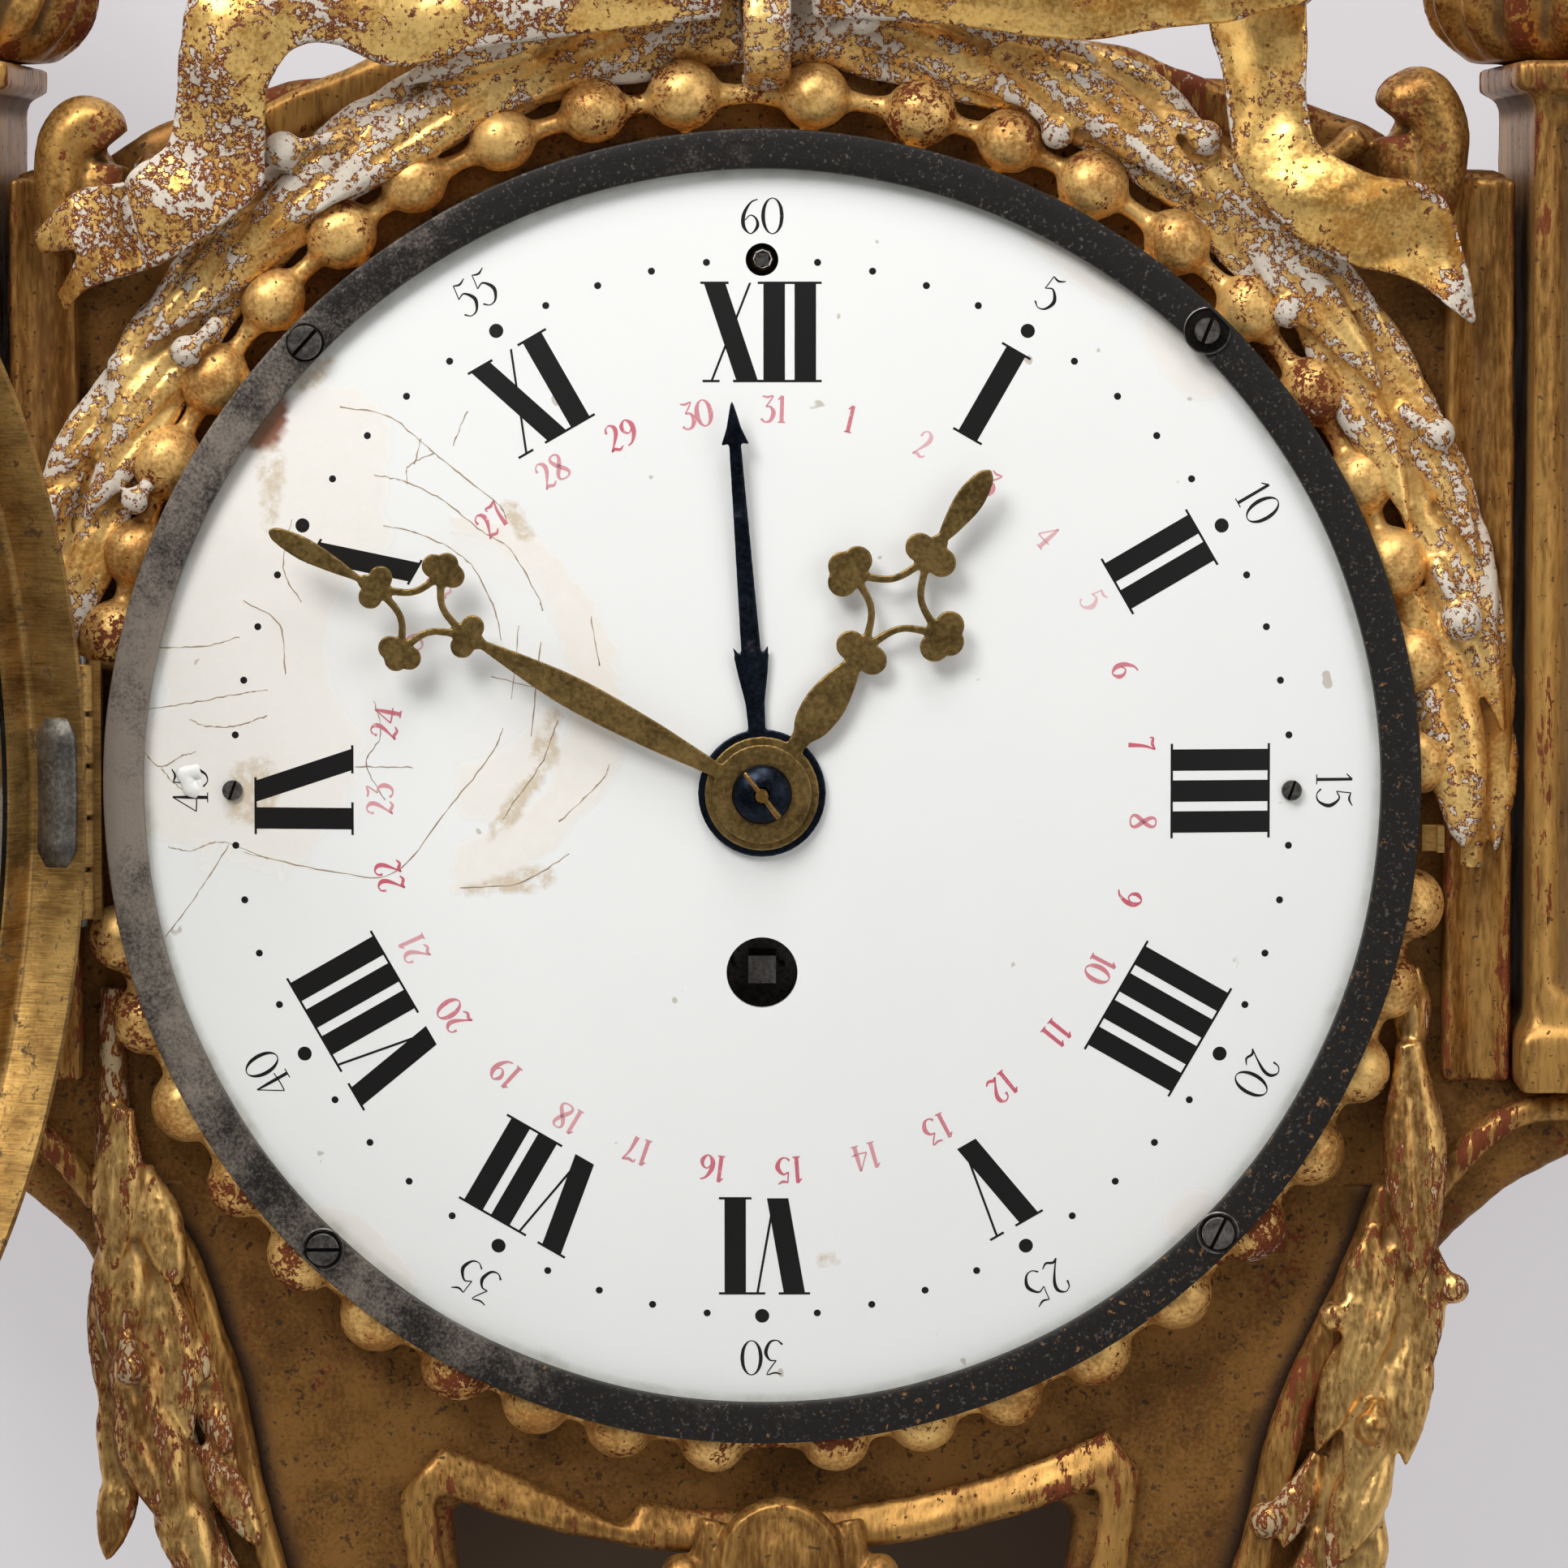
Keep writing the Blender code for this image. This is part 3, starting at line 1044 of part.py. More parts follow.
def build_plates():
    """The two plates of the movement, and the iron seat that holds it to the case."""
    pivots = [circle(ARBOR + RUN, 8, middle) for middle in (INTERMEDIATE, THIRD, ESCAPE, ANCHOR)]
    pivots.append(circle(CENTRE_ARBOR + RUN, 8))
    pivots.append(circle(WINDING_ARBOR + RUN, 8, WINDING))
    pivots.append(circle(REGULATOR_ARBOR + RUN, 8, REGULATOR))
    front = prism("front_plate", [plate_shape()] + pivots, FRONT_BACK, FRONT_FACE, BRASS)
    studs = []
    for middle, radius, top in ((MINUTE_STUD, ARBOR, HOUR_WHEEL_F + WHEEL_THICK + 1),
                                (DAY_STUD, ARBOR, DAY_WHEEL_F),
                                (CLICK, CLICK_RADIUS / 2, FRONT_FACE + WHEEL_THICK)):
        studs.append(round_bar("stud", radius, FRONT_FACE - 1, top, STEEL, at=(middle[0], 0, middle[1])))
    join(front, studs)
    back = prism("back_plate", [plate_shape()] + pivots, BACK_FACE, BACK_FRONT, BRASS)
    pillars = []
    for angle in PILLAR_ANGLES:
        x, z = polar(PILLAR_CIRCLE, angle)
        ends = (BACK_FRONT - 1, FRONT_BACK - GAP)
        pillars.append(round_bar("pillar", PILLAR_RADIUS, *ends, BRASS, at=(x, 0, z)))
    join(back, pillars)

    inner = DIAL_RADIUS - SEAT_WIDTH
    low, high = SEAT_STRAP_Z - SEAT_STRAP_HALF, SEAT_STRAP_Z + SEAT_STRAP_HALF
    near, far = math.degrees(math.asin(low / inner)), math.degrees(math.asin(high / inner))
    openings = [arc(inner, -near, near, 5) + arc(inner, 180 - near, 180 + near, 5),
                arc(inner, far, 180 - far, 7), arc(inner, 180 + far, 360 - far, 7),
                circle(REGULATOR_ARBOR + 2 * RUN, 8, REGULATOR)]
    openings += [circle(DIAL_SCREW_SHANK + RUN, 8, (side * MINUTE_CIRCLE, 0)) for side in (-1, 1)]
    base = CASE_DEPTH + GAP
    seat = prism("movement_seat", [circle(DIAL_RADIUS, 32)] + openings, base, base + SEAT_THICK, IRON)
    posts = []
    for x in (-SEAT_POST_X, SEAT_POST_X):
        for z in (-SEAT_STRAP_Z, SEAT_STRAP_Z):
            posts.append(round_bar("post", SEAT_POST_RADIUS, FRONT_FACE + GAP, base + 1, IRON, at=(x, 0, z)))
    join(seat, posts)


def cross_pin(name, radius):
    """The taper pin across the centre arbor, or the hole for it."""
    half = HAND_PIN_LENGTH / 2
    dx, dz = polar(1, HAND_PIN_DEGREES)
    rings = []
    for end in (-1, 1):
        ring = []
        for corner in range(8):
            across, up = polar(radius * (1 + 0.15 * end), 45 * corner)
            ring.append((end * half * dx - across * dz, HAND_PIN_F + up, end * half * dz + across * dx))
        rings.append(ring)
    return loft(name, rings, BRASS)


def build_motion_work():
    """The wheels between the front plate and the dial that drive the hour and date hands."""
    bore = CENTRE_ARBOR + RUN
    pipe = [(bore, FRONT_FACE + GAP), (CANNON_OUTER, FRONT_FACE + GAP), (CANNON_OUTER, MINUTE_HAND_FRONT),
            (bore, MINUTE_HAND_FRONT)]
    cannon = lathe("cannon_pinion", pipe, STEEL, 8)
    leaves = pinion_outline(CANNON_LEAVES, CANNON_MODULE, towards(CENTRE, MINUTE_STUD))
    join(cannon, [prism("leaves", [leaves, circle(bore + PIPE_WALL / 2, 8)], MINUTE_WHEEL_F - 1,
                        MINUTE_WHEEL_F + WHEEL_THICK + 1, STEEL)])
    place = {"at": (MINUTE_STUD[0], 0, MINUTE_STUD[1])}
    wheel = wheel_outline(MINUTE_TEETH, CANNON_MODULE, towards(MINUTE_STUD, CENTRE))
    eye = circle(ARBOR + RUN, 8)
    levels = (MINUTE_WHEEL_F, MINUTE_WHEEL_F + WHEEL_THICK)
    minute = prism("minute_wheel", [wheel, eye], *levels, BRASS, **place)
    leaves = pinion_outline(MINUTE_LEAVES, HOUR_MODULE, towards(MINUTE_STUD, CENTRE))
    join(minute, [prism("leaves", [leaves, circle(ARBOR + 2 * RUN, 8)], MINUTE_WHEEL_F + 1,
                        HOUR_WHEEL_F + WHEEL_THICK + 1, STEEL, **place)])

    bore = CANNON_OUTER + RUN
    middle = bore + PIPE_WALL / 2
    top = HOUR_HAND_BACK + HAND_THICK
    wheel = wheel_outline(HOUR_TEETH, HOUR_MODULE, towards(CENTRE, MINUTE_STUD))
    hour = prism("hour_wheel", [wheel, circle(middle, 8)], HOUR_WHEEL_F, HOUR_WHEEL_F + WHEEL_THICK, BRASS)
    day = pinion_outline(DAY_LEAVES, DAY_MODULE, towards(CENTRE, DAY_STUD))
    pipe = [(bore, HOUR_WHEEL_F - 0.5), (HOUR_PIPE, HOUR_WHEEL_F - 0.5), (HOUR_PIPE, top), (bore, top)]
    levels = (HOUR_WHEEL_F + 1, DAY_WHEEL_F + WHEEL_THICK)
    join(hour, [lathe("pipe", pipe, BRASS, 8), prism("day_leaves", [day, circle(middle, 8)], *levels, BRASS)])

    bore = HOUR_PIPE + RUN
    middle = bore + PIPE_WALL / 2
    top = DATE_HAND_BACK + HAND_THICK
    teeth = saw_outline(DATE_TEETH, DATE_WHEEL_RADIUS, DATE_WHEEL_RADIUS * 0.88, 0.5)
    date = prism("date_wheel", [teeth, circle(middle, 8)], DATE_WHEEL_F, DATE_WHEEL_F + WHEEL_THICK, BRASS)
    pipe = [(bore, DATE_WHEEL_F - 0.5), (DATE_PIPE, DATE_WHEEL_F - 0.5), (DATE_PIPE, top), (bore, top)]
    join(date, [lathe("pipe", pipe, BRASS, 8)])
    place = {"at": (DAY_STUD[0], 0, DAY_STUD[1])}
    wheel = wheel_outline(DAY_TEETH, DAY_MODULE, towards(DAY_STUD, CENTRE))
    levels = (DAY_WHEEL_F, DAY_WHEEL_F + WHEEL_THICK)
    drive = prism("date_drive_wheel", [wheel, eye], *levels, BRASS, **place)
    reach = math.hypot(*DAY_STUD) - DATE_WHEEL_RADIUS + 1.2
    finger = round_bar("finger", 0.8, DAY_WHEEL_F + 1, DATE_WHEEL_F + WHEEL_THICK, STEEL, 8,
                       at=(DAY_STUD[0] - reach, 0, DAY_STUD[1]))
    join(drive, [finger])


def build_escapement():
    """Anchor with its crutch, the cock that carries pendulum and regulator, and the pendulum."""
    drop = ANCHOR[1] - ESCAPE[1]
    arm = math.sqrt(drop**2 - ESCAPE_RADIUS**2)
    reach = ESCAPE_RADIUS + 2 * GAP + math.radians(SWING_DEGREES) * arm
    turn = math.radians(PALLET_DEGREES)
    tip_x, tip_z = reach * math.sin(turn), reach * math.cos(turn) - drop
    half = [(0, 4 * ARBOR), (tip_x * 0.6, 2 * ARBOR), (tip_x + PALLET_WIDTH, tip_z * 0.3),
            (tip_x + PALLET_WIDTH, tip_z + 0.6), (tip_x, tip_z), (tip_x - 1, tip_z * 0.45),
            (tip_x * 0.5, -3 * ARBOR), (0, -2.5 * ARBOR)]
    place = {"at": (ANCHOR[0], 0, ANCHOR[1])}
    levels = (ESCAPE_WHEEL_F - 0.4, ESCAPE_WHEEL_F + WHEEL_THICK + 0.4)
    anchor = prism("anchor", [mirrored(half)], *levels, STEEL, **place)
    strip_back = PENDULUM_F + 4.5
    strip_front = strip_back + 2
    wide = CRUTCH_WIDTH / 2
    foot = (-CRUTCH_LENGTH - 2, -CRUTCH_LENGTH + 2)
    slot = ROD_HALF + RUN
    fork = slot + 1.4
    join(anchor, [
        round_bar("arbor", ARBOR, strip_back - 0.5, FRONT_FACE - GAP, STEEL, 10, **place),
        block("crutch", (-wide, wide), (strip_back, strip_front), (foot[0] + 1, 2), STEEL, **place),
        block("fork", (-fork, fork), (PENDULUM_F - 2, strip_front - 0.5), foot, STEEL, **place)])
    opening = (PENDULUM_F - 3, PENDULUM_F + 3)
    cut(anchor, [block("slot", (-slot, slot), opening, (foot[0] - 1, foot[1] + 1), STEEL, **place)])

    plate_front = BACK_FACE - GAP
    low, high = ANCHOR[1] - 5, REGULATOR[1] + 5
    outline = [(-COCK_HALF, low), (COCK_HALF, low), (COCK_HALF, high), (-COCK_HALF, high)]
    holes = [circle(ARBOR + RUN, 8, ANCHOR), circle(REGULATOR_ARBOR + RUN, 8, REGULATOR)]
    cock = prism("suspension_cock", [outline] + holes, plate_front - COCK_THICK, plate_front, BRASS)
    arm_back = PENDULUM_F - 6
    arm_z = (ANCHOR[1] + 4, ANCHOR[1] + 9)
    arm_block = block("arm", (1 - COCK_HALF, COCK_HALF - 1), (arm_back, plate_front - 1), arm_z, BRASS)
    thread = SILK_RADIUS + RUN
    opening = (arm_back - 1, PENDULUM_F + 2)
    slit = block("slit", (-thread, thread), opening, (arm_z[0] - 1, arm_z[1] + 1), BRASS)
    cut(join(cock, [arm_block]), [slit])

    top = REGULATOR[1] - REGULATOR_ARBOR - GAP
    bottom = ANCHOR[1] - 1.5
    thread = [(0, bottom), (SILK_RADIUS, bottom), (SILK_RADIUS, top), (0, top)]
    lathe("suspension_silk", thread, SILK, 6, upright=True, at=(0, PENDULUM_F, 0))
    tip = dial_height(MINUTE_CIRCLE) - REGULATOR_TIP
    place = {"at": (REGULATOR[0], 0, REGULATOR[1])}
    ends = (PENDULUM_F - 3, CASE_DEPTH + SEAT_THICK)
    regulator = round_bar("regulator_arbor", REGULATOR_ARBOR, *ends, STEEL, **place)
    join(regulator, [prism("square", [square(REGULATOR_SQUARE)], CASE_DEPTH, tip, STEEL, **place)])

    place = {"at": (0, PENDULUM_F, ANCHOR[1])}
    sides = (-ROD_HALF, ROD_HALF)
    rod = block("pendulum", sides, sides, (-PENDULUM_LENGTH, -1.5 - GAP), STEEL, **place)
    half = BOB_THICK / 2
    lens = [(0, -half), (BOB_RADIUS * 0.7, -half * 0.65), (BOB_RADIUS, -half * 0.12),
            (BOB_RADIUS, half * 0.12), (BOB_RADIUS * 0.7, half * 0.65), (0, half)]
    join(rod, [lathe("bob", lens, BRASS, 24, at=(0, PENDULUM_F, ANCHOR[1] - PENDULUM_LENGTH))])


def build():
    """All the pieces, from the wall outwards."""
    build_case()
    build_window_trim()
    build_sides()
    build_bead_ring()
    build_laurel()
    build_bow()
    build_scrolls()
    build_plates()
    build_train()
    build_motion_work()
    build_escapement()
    build_dial()
    build_hands()
    build_bezel()


build()
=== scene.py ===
"""Dresses the cartel clock: carved gilding, enamel dial, hands, iron ring, beads and open bezel."""

import json
import logging
import math
import random
from dataclasses import dataclass, field, replace
from enum import Enum
from typing import Callable, Sequence

import bmesh
import bpy
import numpy as np
from mathutils import Euler, Matrix, Vector, geometry, noise

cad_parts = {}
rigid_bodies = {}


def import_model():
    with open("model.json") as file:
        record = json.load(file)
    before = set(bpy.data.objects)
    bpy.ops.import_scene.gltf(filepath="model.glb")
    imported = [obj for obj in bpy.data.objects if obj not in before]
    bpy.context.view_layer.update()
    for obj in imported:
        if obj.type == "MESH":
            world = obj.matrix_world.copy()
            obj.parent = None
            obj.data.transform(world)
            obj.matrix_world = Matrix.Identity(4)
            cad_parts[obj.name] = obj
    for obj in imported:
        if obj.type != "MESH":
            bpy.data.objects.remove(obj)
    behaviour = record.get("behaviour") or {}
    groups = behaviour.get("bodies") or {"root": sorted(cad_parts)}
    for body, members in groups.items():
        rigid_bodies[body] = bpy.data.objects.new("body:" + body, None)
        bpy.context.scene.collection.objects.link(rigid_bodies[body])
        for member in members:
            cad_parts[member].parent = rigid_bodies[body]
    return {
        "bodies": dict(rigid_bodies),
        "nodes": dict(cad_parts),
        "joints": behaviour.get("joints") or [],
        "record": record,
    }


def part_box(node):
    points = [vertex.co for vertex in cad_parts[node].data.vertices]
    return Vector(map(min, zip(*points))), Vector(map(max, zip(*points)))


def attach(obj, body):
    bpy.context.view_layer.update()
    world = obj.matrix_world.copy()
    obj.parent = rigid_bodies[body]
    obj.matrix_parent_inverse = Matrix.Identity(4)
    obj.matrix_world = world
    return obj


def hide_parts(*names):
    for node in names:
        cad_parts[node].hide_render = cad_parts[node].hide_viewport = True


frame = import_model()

logging.basicConfig(level=logging.INFO, format="%(name)s: %(message)s")
LOG = logging.getLogger("clock")

Point = tuple[float, float, float]
Spot = tuple[float, float]
Colour = tuple[float, float, float]
Object = bpy.types.Object
Material = bpy.types.Material
Socket = bpy.types.NodeSocket

MM = 0.001
DIAL_DROP = 137.5  # dial centre below the origin
DIAL_RADIUS = 110.7
DIAL_EDGE = 78.3  # forward of the wall
DIAL_RISE = 8.7
DIAL_THICK = 1.6
MINUTE_CIRCLE = 94.0
RING_INNER, RING_OUTER = 109.9, 117.0
RING_MIDDLE = 113.25
RING_BACK, RING_FRONT = 78.6, 81.6
CASE_FRONT = 68.0
GAP = 0.3
HINGE = (-120.5, 84.4)  # right and forward
HINGE_OPEN = 115.0
PHOTO_SCALE = 0.144  # millimetres for a pixel of the photograph, at the iron ring
PHOTO_CENTRE = (939.0, 974.0)


class Body(Enum):
    """The moving bodies of the clock that carry dressed pieces."""

    CASE = "case"
    BEZEL = "bezel"
    CENTRE = "centre"
    HOUR = "hour"
    DATE = "date"
    PENDULUM = "pendulum"


class Slot(Enum):
    """The finishes that the record names."""

    GILT = "gilt_wood"
    DULL = "dull_gilt_wood"
    IRON = "iron"
    ENAMEL = "enamel"
    BRASS = "brass"
    STEEL = "blued_steel"
    GLASS = "glass"
    SILK = "silk"


class Side(Enum):
    """The two halves of the clock, with the sign of their x."""

    LEFT = -1
    RIGHT = 1

    @property
    def word(self) -> str:
        """The side's name as the CAD nodes write it."""
        return self.name.lower()


class Axis(Enum):
    """The axis that a turned form is turned about."""

    FORWARD = "forward"
    UP = "up"


def srgb(red: float, green: float, blue: float) -> Colour:
    """A colour as a photograph shows it, from 0 to 255, as linear numbers."""
    shares = (value / 255 for value in (red, green, blue))
    return tuple(s / 12.92 if s <= 0.04045 else ((s + 0.055) / 1.055)**2.4 for s in shares)


def from_photo(px: float, py: float) -> Spot:
    """A pixel of the photograph as millimetres right of and above the dial's centre."""
    return (px - PHOTO_CENTRE[0]) * PHOTO_SCALE, (PHOTO_CENTRE[1] - py) * PHOTO_SCALE


def dial_height(radius: float) -> float:
    """How far the dial's face stands forward of the wall at this distance from its centre."""
    return DIAL_EDGE + DIAL_RISE * (1 - (radius / DIAL_RADIUS)**2)


def clockwise(radius: float, degrees: float) -> Spot:
    """The (x, z) point at this distance and clockwise angle from twelve o'clock."""
    turn = math.radians(degrees)
    return radius * math.sin(turn), radius * math.cos(turn)


def world(point: Sequence[float]) -> Vector:
    """Clock millimetres (right, forward, up from the dial's centre) as metres in the row frame."""
    x, f, z = point
    return Vector((x * MM, -f * MM, (z - DIAL_DROP) * MM))


def smooth_line(points: Sequence[Sequence[float]], steps: int) -> list[tuple[float, ...]]:
    """A curve through all points, with any number of values in each.

    Args:
        points: The points that the curve passes through.
        steps: How many samples each span between two points gets.

    Returns:
        The samples, both ends included.
    """
    rows = [np.array(point, float) for point in points]
    rows = [2 * rows[0] - rows[1]] + rows + [2 * rows[-1] - rows[-2]]
    line = []
    for k in range(1, len(rows) - 2):
        a, b, c, d = rows[k - 1:k + 3]
        for step in range(steps):
            t = step / steps
            line.append(tuple(0.5 * (2 * b + (c - a) * t + (2 * a - 5 * b + 4 * c - d) * t * t
                                     + (3 * b - a - 3 * c + d) * t**3)))
    line.append(tuple(rows[-2]))
    return line


def laid(degrees: float, radius: float = 0.0) -> Callable[[float, float], Spot]:
    """A rule that lays places at a clockwise angle, with their feet to the dial's centre.

    Args:
        degrees: The clockwise angle from twelve o'clock.
        radius: How far out the places start.

    Returns:
        The rule, from (across, outward) to (x, z).
    """
    sine, cosine = math.sin(math.radians(degrees)), math.cos(math.radians(degrees))

    def rule(across: float, out: float) -> Spot:
        """One point's place."""
        reach = radius + out
        return across * cosine + reach * sine, reach * cosine - across * sine
    return rule


def uneven(*waves: Point) -> Callable[[float, float], float]:
    """A rule that makes a turned form uneven.

    Args:
        waves: The height, the number and the first angle of each wave round the form.

    Returns:
        The rule, from an angle and a height to a factor on the radius.
    """
    def swell(degrees: float, _: float) -> float:
        """The factor at one angle."""
        factor = 1.0
        for height, count, start in waves:
            factor += height * math.sin(math.radians(count * degrees + start))
        return factor
    return swell


def flanks(line: Sequence[Sequence[float]]) -> list[Spot]:
    """The direction to the left of a line, at each of its points.

    Args:
        line: Points that start with two coordinates.

    Returns:
        A step of length 1 for each point.
    """
    last = len(line) - 1
    steps = []
    for k in range(len(line)):
        ahead, behind = line[min(k + 1, last)], line[max(k - 1, 0)]
        dx, dz = ahead[0] - behind[0], ahead[1] - behind[1]
        length = math.hypot(dx, dz) or 1.0
        steps.append((-dz / length, dx / length))
    return steps


def outward(mesh: bpy.types.Mesh) -> None:
    """Turn all faces of closed shapes to face outward."""
    work = bmesh.new()
    work.from_mesh(mesh)
    bmesh.ops.recalc_face_normals(work, faces=work.faces)
    work.to_mesh(mesh)
    work.free()
    mesh.update()


def new_object(name: str, points: Sequence[Sequence[float]], faces: Sequence[Sequence[int]]) -> Object:
    """A mesh object in the scene.

    Args:
        name: The name of the object and its mesh.
        points: The points in metres.
        faces: The corners of each face.

    Returns:
        The object.
    """
    mesh = bpy.data.meshes.new(name)
    mesh.from_pydata(points, [], faces)
    mesh.update()
    obj = bpy.data.objects.new(name, mesh)
    bpy.context.collection.objects.link(obj)
    return obj


def write_marks(mesh: bpy.types.Mesh, name: str, values: Sequence[float]) -> None:
    """Write a number on each of the mesh's points, for the materials to read."""
    layer = mesh.attributes.new(name, "FLOAT", "POINT")
    layer.data.foreach_set("value", np.asarray(values, np.float32))


@dataclass
class Shape:
    """A mesh in clock millimetres: right, forward and up from the dial's centre."""

    points: list[Point] = field(default_factory=list)
    faces: list[tuple[int, ...]] = field(default_factory=list)

    def add(self, other: "Shape") -> "Shape":
        """Take the other shape's points and faces in, and return this one."""
        start = len(self.points)
        self.points.extend(other.points)
        self.faces.extend(tuple(corner + start for corner in face) for face in other.faces)
        return self

    def moved(self, rule: Callable[[Point], Point]) -> "Shape":
        """A copy with every point put where the rule says."""
        return Shape([tuple(rule(point)) for point in self.points], list(self.faces))

    @classmethod
    def loft(cls, rings: Sequence[Sequence[Point]], closed: bool = False) -> "Shape":
        """A skin over rings that have the same number of points.

        Args:
            rings: The rings in order.
            closed: True joins the last ring to the first, otherwise both ends are capped.

        Returns:
            The closed shape.
        """
        shape = cls([tuple(point) for ring in rings for point in ring], [])
        size = len(rings[0])
        for k in range(len(rings) if closed else len(rings) - 1):
            low, high = k * size, (k + 1) % len(rings) * size
            for j in range(size):
                after = (j + 1) % size
                shape.faces.append((low + j, low + after, high + after, high + j))
        if not closed:
            shape.faces.append(tuple(reversed(range(size))))
            last = (len(rings) - 1) * size
            shape.faces.append(tuple(range(last, last + size)))
        return shape

    @classmethod
    def turned(cls, profile: Sequence[Spot], count: int, at: Point = (0, 0, 0),
               axis: Axis = Axis.FORWARD, swell: Callable[[float, float], float] | None = None) -> "Shape":
        """A closed profile of (radius, height) turned about an axis.

        Args:
            profile: The outline of half the section, as a loop.
            count: The number of steps round the axis.
            at: The axis's place, with heights counted from it.
            axis: The axis's direction.
            swell: A factor on the radius for an angle in degrees and a height.

        Returns:
            The turned shape.
        """
        rings = []
        for k in range(count):
            degrees = 360 * k / count
            turn = math.radians(degrees)
            ring = []
            for radius, height in profile:
                reach = radius * (swell(degrees, height) if swell else 1)
                across, other = reach * math.cos(turn), reach * math.sin(turn)
                if axis is Axis.FORWARD:
                    ring.append((at[0] + across, at[1] + height, at[2] + other))
                else:
                    ring.append((at[0] + across, at[1] + other, at[2] + height))
            rings.append(ring)
        return cls.loft(rings, closed=True)

    @classmethod
    def swept(cls, path: Sequence[Point], sizes: Sequence[Spot], count: int = 12,
              out: Point = (0, 1, 0)) -> "Shape":
        """An oval section carried along a path.

        Args:
            path: The middle of the section along the way.
            sizes: The half sizes across the path and along out, for each point of the path.
            count: The number of points round the section.
            out: The direction that the section's second size lies in.

        Returns:
            The capped tube.
        """
        rings = []
        for k, middle in enumerate(path):
            along = Vector(path[min(k + 1, len(path) - 1)]) - Vector(path[max(k - 1, 0)])
            across = along.cross(Vector(out)).normalized()
            lift = across.cross(along).normalized()
            half, high = sizes[k]
            rings.append([tuple(Vector(middle) + across * half * math.cos(t) + lift * high * math.sin(t))
                          for t in (2 * math.pi * j / count for j in range(count))])
        return cls.loft(rings)

    @classmethod
    def slab(cls, outline: Sequence[Spot], low: float, high: float) -> "Shape":
        """An outline of (x, z) points with this back and front."""
        return cls.loft([[(x, f, z) for x, z in outline] for f in (low, high)])

    @classmethod
    def ball(cls, middle: Point, radius: float, count: int = 14) -> "Shape":
        """A sphere with its poles forward and back.

        Args:
            middle: Its middle.
            radius: Its radius.
            count: The number of points round it.

        Returns:
            The sphere.
        """
        x, f, z = middle
        rings = []
        for k in range(count // 2 + 1):
            turn = math.pi * (0.02 + 0.96 * k / (count // 2))
            around, level = radius * math.sin(turn), f + radius * math.cos(turn)
            rings.append([(x + around * math.cos(t), level, z + around * math.sin(t))
                          for t in (2 * math.pi * j / count for j in range(count))])
        return cls.loft(rings)

    def build(self, name: str) -> Object:
        """The shape as a mesh object in the scene, with its faces turned outward."""
        obj = new_object(name, [world(point) for point in self.points], self.faces)
        outward(obj.data)
        return obj


def settle(obj: Object) -> None:
    """Turn the object's modifiers into plain mesh."""
    bpy.context.view_layer.update()
    mesh = bpy.data.meshes.new_from_object(obj.evaluated_get(bpy.context.evaluated_depsgraph_get()))
    obj.modifiers.clear()
    old = obj.data
    obj.data = mesh
    bpy.data.meshes.remove(old)


@dataclass(frozen=True)
class Cut:
    """How a rough solid is carved.

    Attributes:
        cell: The size of the new mesh's cells, in millimetres.
        passes: How often the skin is softened.
        grain: How far the hand-cut unevenness reaches, in millimetres.
        grain_size: The size of its bumps, in millimetres.
        broad: How many softening passes tell a hollow from a height.
    """

    cell: float
    passes: int
    grain: float = 0.0
    grain_size: float = 9.0
    broad: int = 24


